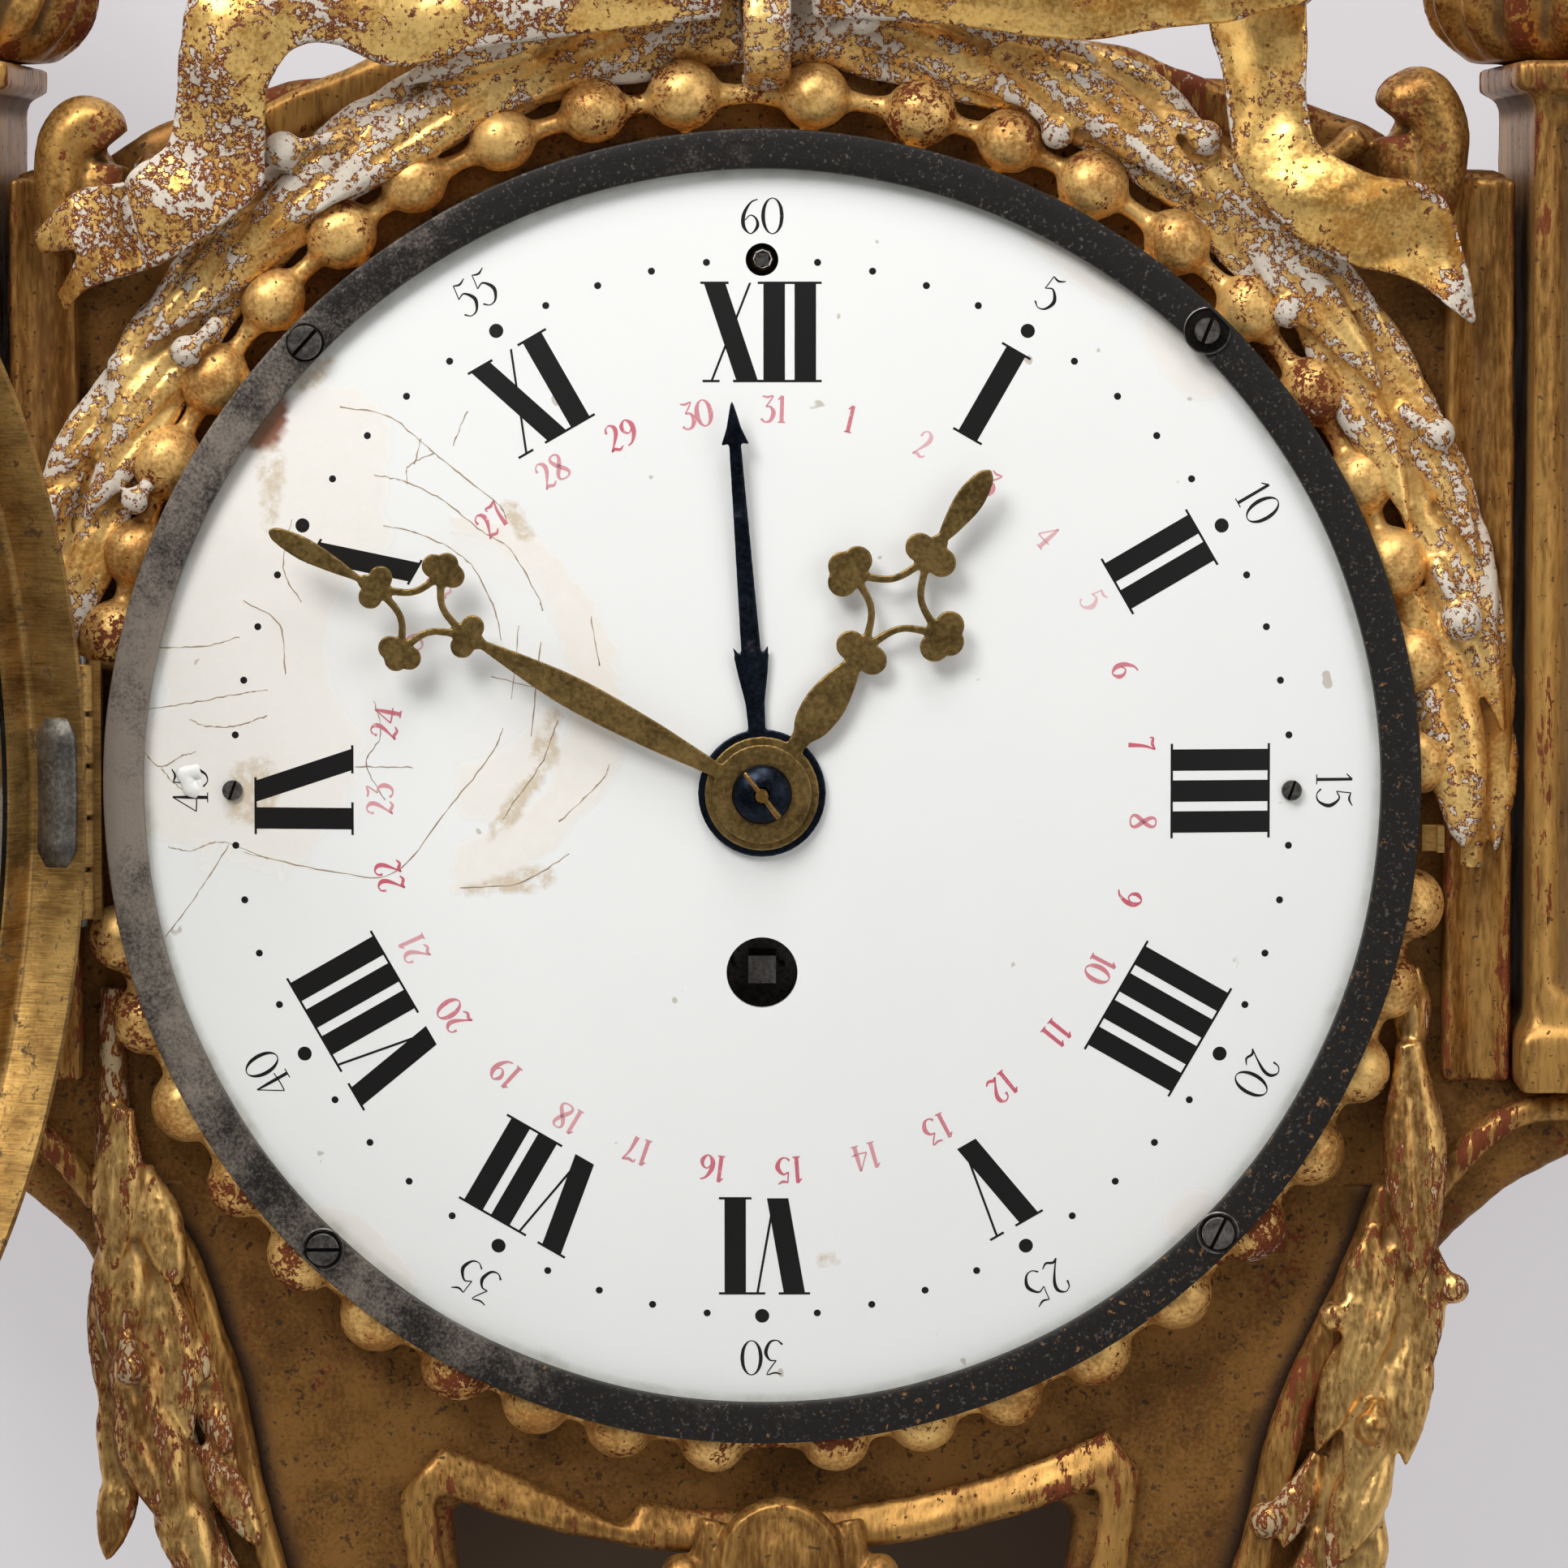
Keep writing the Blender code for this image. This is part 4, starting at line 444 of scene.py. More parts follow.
class Carver:
    """Turns rough solids into softened carved wood or metal, and marks what is worn and what is hollow."""

    EDGE_PASSES, EDGE_TOP, RELIEF_TOP = 3, 0.05, 0.45

    def __init__(self, coarser: float) -> None:
        """Keep a factor on the size of the mesh's cells."""
        self.coarser = coarser

    def carve(self, obj: Object, cut: Cut) -> None:
        """Melt the object's solids into one skin, soften it and give it a hand-cut unevenness.

        Args:
            obj: The object, whose solids may overlap.
            cut: How it is carved.
        """
        remesh = obj.modifiers.new("melt", "REMESH")
        remesh.mode = "VOXEL"
        remesh.voxel_size = cut.cell * self.coarser * MM
        settle(obj)
        mesh = obj.data
        points, edges = self._read(mesh)
        points = self._relax(points, edges, cut.passes)
        mesh.vertices.foreach_set("co", points.ravel())
        mesh.update()
        if cut.grain:
            size = 1 / (cut.grain_size * MM)
            push = np.array([noise.fractal(Vector(point) * size, 0.8, 2.2, 3) for point in points])
            points = points + self._normals(mesh) * (push * cut.grain * MM)[:, None]
            mesh.vertices.foreach_set("co", points.ravel())
            mesh.update()
        self.mark(mesh, cut.broad)

    def mark(self, mesh: bpy.types.Mesh, broad: int) -> None:
        """Write how far each point stands out, near by (edge) and further off (relief), from -1 to 1.

        Args:
            mesh: The mesh.
            broad: How many softening passes tell a hollow from a height.
        """
        points, edges = self._read(mesh)
        normals = self._normals(mesh)
        for name, passes, top in (("edge", self.EDGE_PASSES, self.EDGE_TOP),
                                  ("relief", broad, self.RELIEF_TOP)):
            rise = ((points - self._relax(points, edges, passes)) * normals).sum(1) / MM
            write_marks(mesh, name, np.clip(rise / top, -1, 1))

    @staticmethod
    def _read(mesh: bpy.types.Mesh) -> tuple[np.ndarray, np.ndarray]:
        """The mesh's points and edges as arrays."""
        points = np.empty(len(mesh.vertices) * 3)
        mesh.vertices.foreach_get("co", points)
        edges = np.empty(len(mesh.edges) * 2, np.int64)
        mesh.edges.foreach_get("vertices", edges)
        return points.reshape(-1, 3), edges.reshape(-1, 2)

    @staticmethod
    def _normals(mesh: bpy.types.Mesh) -> np.ndarray:
        """The direction that each point faces."""
        normals = np.empty(len(mesh.vertices) * 3)
        mesh.vertices.foreach_get("normal", normals)
        return normals.reshape(-1, 3)

    @staticmethod
    def _relax(points: np.ndarray, edges: np.ndarray, passes: int) -> np.ndarray:
        """Move every point half way to the middle of its neighbours.

        Args:
            points: The points.
            edges: Which of them are neighbours.
            passes: How often they move.

        Returns:
            The moved points.
        """
        count = len(points)
        ends = np.concatenate([edges[:, 0], edges[:, 1]])
        others = np.concatenate([edges[:, 1], edges[:, 0]])
        degree = np.maximum(np.bincount(ends, minlength=count), 1)[:, None]
        for _ in range(passes):
            total = [np.bincount(ends, weights=points[others, k], minlength=count) for k in range(3)]
            points = 0.5 * points + 0.5 * np.stack(total, 1) / degree
        return points


class Nodes:
    """Writes a shader tree node by node."""

    def __init__(self, tree: bpy.types.NodeTree) -> None:
        """Keep the tree."""
        self.tree = tree

    def put(self, socket: Socket, value: object) -> None:
        """Give an input a number, a colour or another node's output.

        Args:
            socket: The input.
            value: What it gets.
        """
        if isinstance(value, Socket):
            self.tree.links.new(value, socket)
        elif socket.type == "RGBA":
            socket.default_value = (*value[:3], 1.0)
        else:
            socket.default_value = value

    def node(self, kind: str, inputs: dict[str | int, object] | None = None) -> bpy.types.Node:
        """A new node with some of its inputs set.

        Args:
            kind: The node's type, after the words that all shader nodes start with.
            inputs: Numbers, colours and other nodes' outputs, by the input's name or number.

        Returns:
            The node.
        """
        node = self.tree.nodes.new("ShaderNode" + kind)
        for key, value in (inputs or {}).items():
            self.put(node.inputs[key], value)
        return node

    def math(self, operation: str, first: object, second: object = 0.0, clamp: bool = False) -> Socket:
        """The result of one sum.

        Args:
            operation: The sum's name.
            first: Its first number.
            second: Its second number.
            clamp: True keeps the result between 0 and 1.

        Returns:
            The result.
        """
        node = self.node("Math", {0: first, 1: second})
        node.operation = operation
        node.use_clamp = clamp
        return node.outputs[0]

    def scaled(self, value: object, factor: float, offset: float = 0.0) -> Socket:
        """value times factor plus offset."""
        node = self.node("Math", {0: value, 1: factor, 2: offset})
        node.operation = "MULTIPLY_ADD"
        return node.outputs[0]

    def step(self, value: object, low: float, high: float) -> Socket:
        """0 below low, 1 above high, and a soft rise between them."""
        node = self.node("MapRange", {"Value": value, "From Min": low, "From Max": high})
        node.interpolation_type = "SMOOTHSTEP"
        return node.outputs["Result"]

    def mix(self, share: object, first: object, second: object) -> Socket:
        """A colour between two others."""
        node = self.node("Mix", {"Factor": share, 6: first, 7: second})
        node.data_type = "RGBA"
        return node.outputs[2]

    def blend(self, share: object, first: object, second: object) -> Socket:
        """A number between two others."""
        return self.node("Mix", {"Factor": share, 2: first, 3: second}).outputs[0]

    def veil(self, share: Socket, first: Socket, second: Socket) -> Socket:
        """A shader between two others."""
        return self.node("MixShader", {"Fac": share, 1: first, 2: second}).outputs[0]

    def seen(self, *others: str) -> Socket:
        """1 for the camera's rays and for those of the other kinds named here."""
        path = self.node("LightPath").outputs
        rays = path["Is Camera Ray"]
        for other in others:
            rays = self.math("ADD", rays, path[other], True)
        return rays


class Pen(Nodes):
    """Writes a procedural material."""

    def __init__(self, name: str) -> None:
        """Start a material with a principled shader and the object's own coordinates."""
        self.material = bpy.data.materials.new(name)
        self.material.use_nodes = True
        super().__init__(self.material.node_tree)
        self.shader = self.tree.nodes["Principled BSDF"]
        self.coords = self.node("TexCoord").outputs["Object"]

    def parts(self) -> bpy.types.NodeOutputs:
        """The coordinates one by one: right, back and up."""
        return self.node("SeparateXYZ", {0: self.coords}).outputs

    def noise(self, size: float, detail: float = 4.0, rough: float = 0.55, twist: float = 0.0,
              stretch: Point = (1, 1, 1)) -> Socket:
        """A noise all through the object.

        Args:
            size: About how wide its blots are, in millimetres.
            detail: How many finer layers it has.
            rough: How strong those layers are.
            twist: How far it is pulled about.
            stretch: Factors on the coordinates.

        Returns:
            The noise, from 0 to 1.
        """
        place = self.coords
        if stretch != (1, 1, 1):
            place = self.node("Mapping", {"Vector": place, "Scale": stretch}).outputs["Vector"]
        return self.node("TexNoise", {"Vector": place, "Scale": 1 / (size * MM), "Detail": detail,
                                      "Roughness": rough, "Distortion": twist}).outputs["Fac"]

    def attribute(self, name: str) -> Socket:
        """A number that is written on the mesh."""
        node = self.node("Attribute")
        node.attribute_name = name
        return node.outputs["Fac"]

    def bump(self, height: object, strength: float, distance: float) -> None:
        """Roughen the surface by a height, with its depth in millimetres."""
        node = self.node("Bump", {"Strength": strength, "Distance": distance * MM, "Height": height})
        self.put(self.shader.inputs["Normal"], node.outputs["Normal"])

    def surface(self, colour: object, rough: object, metal: object = 0.0) -> Material:
        """Set the shader's main inputs and return the material."""
        for name, value in (("Base Color", colour), ("Roughness", rough), ("Metallic", metal)):
            self.put(self.shader.inputs[name], value)
        return self.material

    def show(self, shader: Socket) -> None:
        """Let the material show this shader."""
        self.put(self.tree.nodes["Material Output"].inputs["Surface"], shader)


@dataclass(frozen=True)
class Gilding:
    """Old water gilding on carved wood.

    Attributes:
        name: The material's name.
        light: The leaf where it is burnished.
        deep: The leaf where it is thin or toned.
        bole: From which wear on the red-brown ground shows: low for much of it.
        chalk: From which wear on the white gesso under that ground shows.
        dirt: How much dust lies in the hollows, from 0 to 1.
        flake: The size of the flakes, in millimetres.
        rough: The leaf's roughness.
        streak: The stretch of the wear, for wood that wore along its grain.
        specks: From which noise on a black speck shows: low for many of them.
        gesso: The gesso where it is cleanest.
        dust: The colour of the dust in the hollows.
        metal: How much of a metal the whole leaf is.
        stain: How dark the umber stains on the leaf are, from 0 to 1.
    """

    name: str
    light: Colour = srgb(240, 204, 128)
    deep: Colour = srgb(186, 138, 70)
    bole: float = 0.1
    chalk: float = 0.145
    dirt: float = 0.55
    flake: float = 1.15
    rough: float = 0.32
    streak: Point = (1, 1, 1)
    specks: float = 0.70
    gesso: Colour = srgb(228, 216, 199)
    dust: Colour = srgb(78, 57, 36)
    metal: float = 0.85
    stain: float = 0.5

    def material(self) -> Material:
        """Leaf, bole, gesso, dust and specks, laid over one another by noise and by the mesh's marks."""
        pen = Pen(self.name)
        relief, edge = pen.attribute("relief"), pen.attribute("edge")
        tone = pen.noise(13, 5, 0.6, 0.0, self.streak)
        fine = pen.noise(0.8, 4, 0.6, 0.0, self.streak)
        shade = pen.math("ADD", pen.scaled(tone, 0.6), pen.scaled(fine, 0.4))
        leaf = pen.mix(pen.step(shade, 0.38, 0.6), self.deep, self.light)
        stain = pen.step(pen.noise(3.1, 8, 0.72, 0.3, self.streak), 0.54, 0.64)
        leaf = pen.mix(pen.scaled(stain, self.stain), leaf, srgb(112, 72, 30))
        field = pen.noise(20, 3, 0.5, 0.0, self.streak)
        flakes = pen.noise(self.flake, 6, 0.68, 0.2, self.streak)
        islands = pen.noise(4.6, 5, 0.62, 0.25, self.streak)
        wear = pen.math("ADD", pen.scaled(flakes, 0.82, -0.41), pen.scaled(field, 0.9, -0.45))
        wear = pen.math("ADD", wear, pen.scaled(islands, 0.55, -0.275))
        rise = pen.math("ADD", pen.scaled(relief, 0.08), pen.scaled(edge, 0.03))
        wear = pen.math("ADD", wear, rise)
        bole = pen.step(wear, self.bole - 0.012, self.bole + 0.012)
        gesso = pen.step(wear, self.chalk - 0.01, self.chalk + 0.01)
        colour = pen.mix(bole, leaf, pen.mix(fine, srgb(78, 34, 15), srgb(134, 68, 34)))
        chalk = pen.mix(fine, tuple(0.62 * part for part in self.gesso), self.gesso)
        colour = pen.mix(gesso, colour, chalk)
        hollow = pen.math("ADD", pen.scaled(relief, -0.8, -0.1), pen.scaled(fine, 0.5, -0.25))
        dust = pen.math("MULTIPLY", pen.step(hollow, 0.0, 0.7), self.dirt, True)
        colour = pen.mix(dust, colour, self.dust)
        specks = pen.math("MULTIPLY", pen.step(pen.noise(1.4, 2, 0.5), self.specks, self.specks + 0.03), 0.75)
        colour = pen.mix(specks, colour, srgb(42, 28, 18))
        bare = pen.math("MAXIMUM", bole, gesso)
        dull = pen.math("MAXIMUM", bare, pen.math("MAXIMUM", dust, specks))
        rough = pen.blend(dull, pen.scaled(fine, 0.34, self.rough - 0.16), 0.72)
        metal = pen.scaled(dull, -self.metal, self.metal)
        lump = pen.math("SUBTRACT", pen.scaled(fine, 0.4), pen.scaled(bole, 0.35))
        pen.bump(pen.math("SUBTRACT", lump, pen.scaled(gesso, 0.3)), 0.5, 0.22)
        pen.shader.inputs["Specular IOR Level"].default_value = 0.2
        return pen.surface(colour, rough, metal)


@dataclass(frozen=True)
class Metal:
    """A metal with a tone, a grime and a grain.

    Attributes:
        name: The material's name.
        light: The metal where it is rubbed.
        dark: The metal where it is toned.
        grime: The colour of what sits on it.
        grimy: How much of it there is, from 0 to 1.
        rough: The metal's roughness.
        grain: The stretch of its noise, for brushing.
        pits: How much small dark pitting there is, from 0 to 1.
    """

    name: str
    light: Colour
    dark: Colour
    grime: Colour
    grimy: float = 0.4
    rough: float = 0.38
    grain: Point = (1, 1, 1)
    pits: float = 0.3

    def material(self) -> Material:
        """Toned metal with grime and pits."""
        pen = Pen(self.name)
        tone = pen.noise(9, 5, 0.6)
        fine = pen.noise(0.9, 5, 0.7, 0.0, self.grain)
        shade = pen.math("ADD", pen.scaled(tone, 0.55), pen.scaled(fine, 0.45))
        colour = pen.mix(pen.step(shade, 0.36, 0.64), self.dark, self.light)
        blot = pen.step(pen.noise(4.5, 9, 0.7, 0.3), 0.68 - 0.22 * self.grimy, 0.74 - 0.2 * self.grimy)
        colour = pen.mix(pen.math("MULTIPLY", blot, 0.85), colour, self.grime)
        pit = pen.math("MULTIPLY", pen.step(pen.noise(0.8, 2, 0.5), 0.60, 0.66), self.pits)
        colour = pen.mix(pit, colour, srgb(38, 28, 18))
        dull = pen.math("MAXIMUM", blot, pit)
        rough = pen.blend(dull, pen.scaled(fine, 0.3, self.rough - 0.15), 0.72)
        pen.bump(pen.math("SUBTRACT", pen.scaled(fine, 0.4), pen.scaled(dull, 0.4)), 0.35, 0.12)
        return pen.surface(colour, rough, pen.scaled(dull, -0.6, 0.95))


class Finishes:
    """Every material of the dressed clock, made once."""

    def __init__(self) -> None:
        """Make all materials."""
        self.carved = Gilding(
            "gilding_carved", srgb(250, 210, 132), srgb(204, 148, 74), 0.045, 0.11, 0.42, metal=0.54,
            stain=0.3).material()
        self.ribbon = Gilding(
            "gilding_ribbon", srgb(244, 202, 120), srgb(190, 134, 62), 0.07, 0.15, 0.5, metal=0.75,
            stain=0.45).material()
        self.worn_ribbon = Gilding(
            "gilding_ribbon_worn", srgb(250, 210, 128), srgb(198, 142, 68), 0.03, 0.12, 0.45, metal=0.6,
            stain=0.36).material()
        self.dull = Gilding(
            "gilding_dull", srgb(204, 158, 88), srgb(118, 78, 38), 0.15, 0.38, 0.85, rough=0.38,
            gesso=srgb(200, 180, 146), metal=0.75).material()
        self.beads = Gilding(
            "gilding_beads", srgb(244, 200, 124), srgb(176, 122, 62), 0.16, 0.36, 0.45, flake=0.9, rough=0.40,
            metal=0.54, stain=0.3).material()
        self.drops = Gilding(
            "gilding_drops", srgb(226, 184, 114), srgb(144, 98, 50), 0.10, 0.2, 0.7, streak=(1, 1, 0.35),
            gesso=srgb(196, 172, 132)).material()
        self.trim = Gilding(
            "gilding_trim", srgb(192, 146, 80), srgb(122, 83, 41), 0.2, 0.42, 0.7, rough=0.4,
            streak=(1, 1, 0.2), specks=0.67, metal=0.65, stain=0.4).material()
        ground = Gilding(
            "gilding_ground", srgb(148, 105, 54), srgb(106, 72, 36), 0.24, 0.6, 0.4, rough=0.46, specks=0.64,
            metal=0.6, stain=0.2)
        self.ground = ground.material()
        # The groove strip's near-black dust colour is painted shade as well as dirt.
        self.groove = replace(ground, name="gilding_groove", dirt=1.0, dust=srgb(46, 29, 14)).material()
        self.iron = self._iron()
        self.enamel = self._enamel()
        self.ink = self._ink("dial_ink", srgb(14, 12, 11), srgb(150, 146, 140), 0.69)
        self.red_ink = self._ink("date_ink", srgb(196, 66, 92), srgb(238, 214, 214), 0.56)
        self.crack = self._crack()
        self.brass = Metal(
            "brass_aged", srgb(160, 131, 78), srgb(102, 82, 46), srgb(66, 52, 32), 0.35, 0.42,
            pits=0.55).material()
        self.bezel = Metal(
            "brass_bezel", srgb(196, 156, 92), srgb(124, 92, 50), srgb(78, 55, 31), 0.55, 0.42,
            (0.2, 0.2, 3.0)).material()
        self.movement = Metal(
            "brass_movement", srgb(208, 170, 96), srgb(158, 120, 60), srgb(90, 66, 34), 0.25, 0.32).material()
        self.steel = Metal(
            "steel_grey", srgb(140, 136, 131), srgb(74, 71, 68), srgb(48, 40, 34), 0.35, 0.4).material()
        self.recess = Metal(
            "iron_recess", srgb(40, 37, 35), srgb(20, 18, 17), srgb(30, 22, 16), 0.3, 0.6).material()
        self.blued = Metal(
            "steel_blued", srgb(44, 52, 66), srgb(20, 24, 32), srgb(36, 30, 28), 0.25, 0.34,
            pits=0.2).material()
        self.lead = Metal(
            "lead_solder", srgb(150, 144, 136), srgb(92, 87, 80), srgb(62, 54, 46), 0.35, 0.5).material()
        self.iron_plain = Metal(
            "iron_plain", srgb(92, 88, 84), srgb(46, 43, 41), srgb(92, 58, 34), 0.4, 0.5).material()
        self.dab = self._dab()
        self.glass = self._glass()
        self.silk = self._silk()

    @staticmethod
    def _iron() -> Material:
        """Filed iron, rubbed bright by the hinge, with rust flecks towards the lower right."""
        pen = Pen("iron_ring")
        brush = pen.noise(0.55, 5, 0.7)
        patch = pen.noise(15, 6, 0.62, 0.3)
        shade = pen.math("ADD", pen.scaled(brush, 0.4), pen.scaled(patch, 0.6))
        parts = pen.parts()
        right, up = parts[0], pen.scaled(parts[2], 1.0, DIAL_DROP * MM)
        aside = pen.scaled(right, 1.0, 0.12)
        square = pen.math("ADD", pen.math("MULTIPLY", aside, aside), pen.math("MULTIPLY", up, up))
        lean = pen.scaled(pen.math("SQRT", square), -1.9, 0.16)
        rubbed = pen.step(pen.math("ADD", shade, lean), 0.40, 0.68)
        colour = pen.mix(rubbed, srgb(35, 32, 30), srgb(150, 138, 126))
        grit = pen.step(pen.noise(0.7, 3, 0.6), 0.58, 0.72)
        colour = pen.mix(pen.math("MULTIPLY", grit, 0.45), colour, srgb(136, 128, 118))
        flecks = pen.noise(1.9, 10, 0.7, 0.4)
        low = pen.math("SUBTRACT", pen.scaled(right, 0.45), pen.scaled(up, 0.35))
        rust = pen.step(pen.math("ADD", flecks, low), 0.66, 0.69)
        brown = pen.mix(brush, srgb(104, 66, 34), srgb(164, 116, 58))
        colour = pen.mix(pen.math("MULTIPLY", rust, 0.85), colour, brown)
        rough = pen.blend(rust, pen.scaled(brush, 0.3, 0.36), 0.8)
        pen.bump(pen.math("ADD", pen.scaled(brush, 0.5), pen.scaled(flecks, 0.5)), 0.5, 0.16)
        return pen.surface(colour, rough, pen.scaled(rust, -0.5, 0.55))

    @staticmethod
    def _enamel() -> Material:
        """White enamel with cream fillings, tan dirt and bare copper, as the mesh marks them."""
        pen = Pen("enamel_dial")
        cream, tan, copper, rim = (pen.attribute(name) for name in ("cream", "tan", "copper", "rim"))
        fine = pen.noise(3.2, 6, 0.7)
        colour = pen.mix(pen.noise(42, 4, 0.55), srgb(236, 237, 235), srgb(242, 242, 240))
        colour = pen.mix(cream, colour, pen.mix(fine, srgb(234, 228, 218), srgb(242, 238, 232)))
        grain = pen.math("MULTIPLY", tan, pen.step(fine, 0.35, 0.6), True)
        colour = pen.mix(grain, colour, srgb(212, 197, 174))
        colour = pen.mix(copper, colour, pen.mix(fine, srgb(112, 62, 42), srgb(176, 122, 94)))
        colour = pen.mix(pen.math("MULTIPLY", rim, pen.scaled(fine, 1.2), True), colour, srgb(150, 152, 128))
        freckles = pen.step(pen.noise(5.5, 2, 0.5), 0.755, 0.775)
        colour = pen.mix(pen.math("MULTIPLY", freckles, 0.5), colour, srgb(150, 128, 96))
        filled = pen.math("MAXIMUM", pen.math("MAXIMUM", cream, grain), copper)
        pen.bump(pen.math("ADD", pen.scaled(filled, 0.3), pen.math("MULTIPLY", fine, filled)), 0.4, 0.16)
        return pen.surface(colour, pen.blend(filled, 0.16, 0.46))

    @staticmethod
    def _ink(name: str, dark: Colour, bare: Colour, start: float) -> Material:
        """Fired ink with small worn specks.

        Args:
            name: The material's name.
            dark: The ink where it is whole.
            bare: The ink where it is worn.
            start: From which noise on it is worn.

        Returns:
            The material.
        """
        pen = Pen(name)
        worn = pen.step(pen.noise(1.0, 7, 0.75), start, start + 0.09)
        share = pen.math("MAXIMUM", pen.math("MULTIPLY", worn, 0.8), pen.attribute("fade"))
        return pen.surface(pen.mix(share, dark, bare), 0.32)

    @staticmethod
    def _crack() -> Material:
        """Brown dirt in a hairline crack."""
        pen = Pen("crack_dirt")
        return pen.surface(pen.mix(pen.noise(5, 4), srgb(126, 96, 66), srgb(196, 178, 150)), 0.7)

    @staticmethod
    def _dab() -> Material:
        """A thick dab of white paint."""
        pen = Pen("white_paint")
        lump = pen.noise(1.6, 4)
        pen.bump(lump, 0.4, 0.2)
        return pen.surface(pen.mix(lump, srgb(232, 230, 224), srgb(244, 243, 239)), 0.4)

    @staticmethod
    def _glass() -> Material:
        """Thin old glass, nearly clear, that lets the light of the lamps through."""
        pen = Pen("old_glass")
        pen.shader.inputs["Transmission Weight"].default_value = 1.0
        pen.shader.inputs["IOR"].default_value = 1.47
        wave = pen.noise(40, 3)
        pen.bump(wave, 0.15, 0.3)
        clear = pen.node("BsdfTransparent", {"Color": srgb(248, 252, 250)}).outputs[0]
        shadow = pen.node("LightPath").outputs["Is Shadow Ray"]
        pen.show(pen.veil(shadow, pen.shader.outputs[0], clear))
        return pen.surface(pen.mix(wave, srgb(245, 250, 247), srgb(250, 253, 251)), 0.03)

    @staticmethod
    def _silk() -> Material:
        """Twisted pale silk."""
        pen = Pen("silk_thread")
        twist = pen.noise(0.7, 3, 0.6, 0.0, (1, 1, 0.4))
        pen.bump(twist, 0.5, 0.1)
        return pen.surface(pen.mix(twist, srgb(150, 128, 92), srgb(214, 196, 160)), 0.7)


@dataclass(frozen=True)
class Seat:
    """One place of a repeated shape.

    Attributes:
        at: The place in clock millimetres.
        forward: The direction of the shape's own length.
        out: The direction that the shape's top faces.
        size: The factors on its length, width and height.
    """

    at: Point
    forward: Point = (1, 0, 0)
    out: Point = (0, 1, 0)
    size: Point = (1, 1, 1)

    def turn(self) -> Euler:
        """The turn that lays the shape's length and top in these directions, in the row frame."""
        length = Vector((self.forward[0], -self.forward[1], self.forward[2])).normalized()
        top = Vector((self.out[0], -self.out[1], self.out[2]))
        across = top.cross(length).normalized()
        top = length.cross(across).normalized()
        return Matrix((length, across, top)).transposed().to_euler()


class Scatter:
    """Sets one small shape on many seats with Geometry Nodes."""

    def __init__(self) -> None:
        """Make the node group that all repeated shapes share."""
        self.group = bpy.data.node_groups.new("shapes_on_seats", "GeometryNodeTree")
        sockets = {}
        for name, way, kind in (("Seats", "INPUT", "Geometry"), ("Shape", "INPUT", "Object"),
                                ("Finish", "INPUT", "Material"), ("Geometry", "OUTPUT", "Geometry")):
            socket = self.group.interface.new_socket(name, in_out=way, socket_type="NodeSocket" + kind)
            sockets[name] = socket.identifier
        self.shape_socket, self.finish_socket = sockets["Shape"], sockets["Finish"]
        source, sink, info, turn, size, euler, place, real, paint = (self.group.nodes.new(kind) for kind in (
            "NodeGroupInput", "NodeGroupOutput", "GeometryNodeObjectInfo", "GeometryNodeInputNamedAttribute",
            "GeometryNodeInputNamedAttribute", "FunctionNodeEulerToRotation", "GeometryNodeInstanceOnPoints",
            "GeometryNodeRealizeInstances", "GeometryNodeSetMaterial"))
        info.inputs["As Instance"].default_value = True
        for node, name in ((turn, "turn"), (size, "size")):
            node.data_type = "FLOAT_VECTOR"
            node.inputs["Name"].default_value = name
        for start, output, end, inlet in (
                (source, "Seats", place, "Points"), (source, "Shape", info, "Object"),
                (info, "Geometry", place, "Instance"), (turn, "Attribute", euler, "Euler"),
                (euler, "Rotation", place, "Rotation"), (size, "Attribute", place, "Scale"),
                (place, "Instances", real, "Geometry"), (real, "Geometry", paint, "Geometry"),
                (source, "Finish", paint, "Material"), (paint, "Geometry", sink, "Geometry")):
            self.group.links.new(start.outputs[output], end.inputs[inlet])

    def spread(self, name: str, shape: Shape, seats: Sequence[Seat], finish: Material) -> Object:
        """One plain mesh with the shape on every seat.

        Args:
            name: The new object's name.
            shape: The shape, about its own origin: length, height and width.
            seats: Where it goes.
            finish: Its material.

        Returns:
            The object, at the origin.
        """
        model = new_object(name + "_model", [(x * MM, z * MM, f * MM) for x, f, z in shape.points],
                           shape.faces)
        obj = new_object(name, [world(seat.at) for seat in seats], [])
        turns, sizes = [seat.turn() for seat in seats], [seat.size for seat in seats]
        for label, rows in (("turn", turns), ("size", sizes)):
            layer = obj.data.attributes.new(label, "FLOAT_VECTOR", "POINT")
            layer.data.foreach_set("vector", [number for row in rows for number in row])
        modifier = obj.modifiers.new("seats", "NODES")
        modifier.node_group = self.group
        modifier[self.shape_socket] = model
        modifier[self.finish_socket] = finish
        settle(obj)
        outward(obj.data)
        bpy.data.meshes.remove(model.data)
        return obj


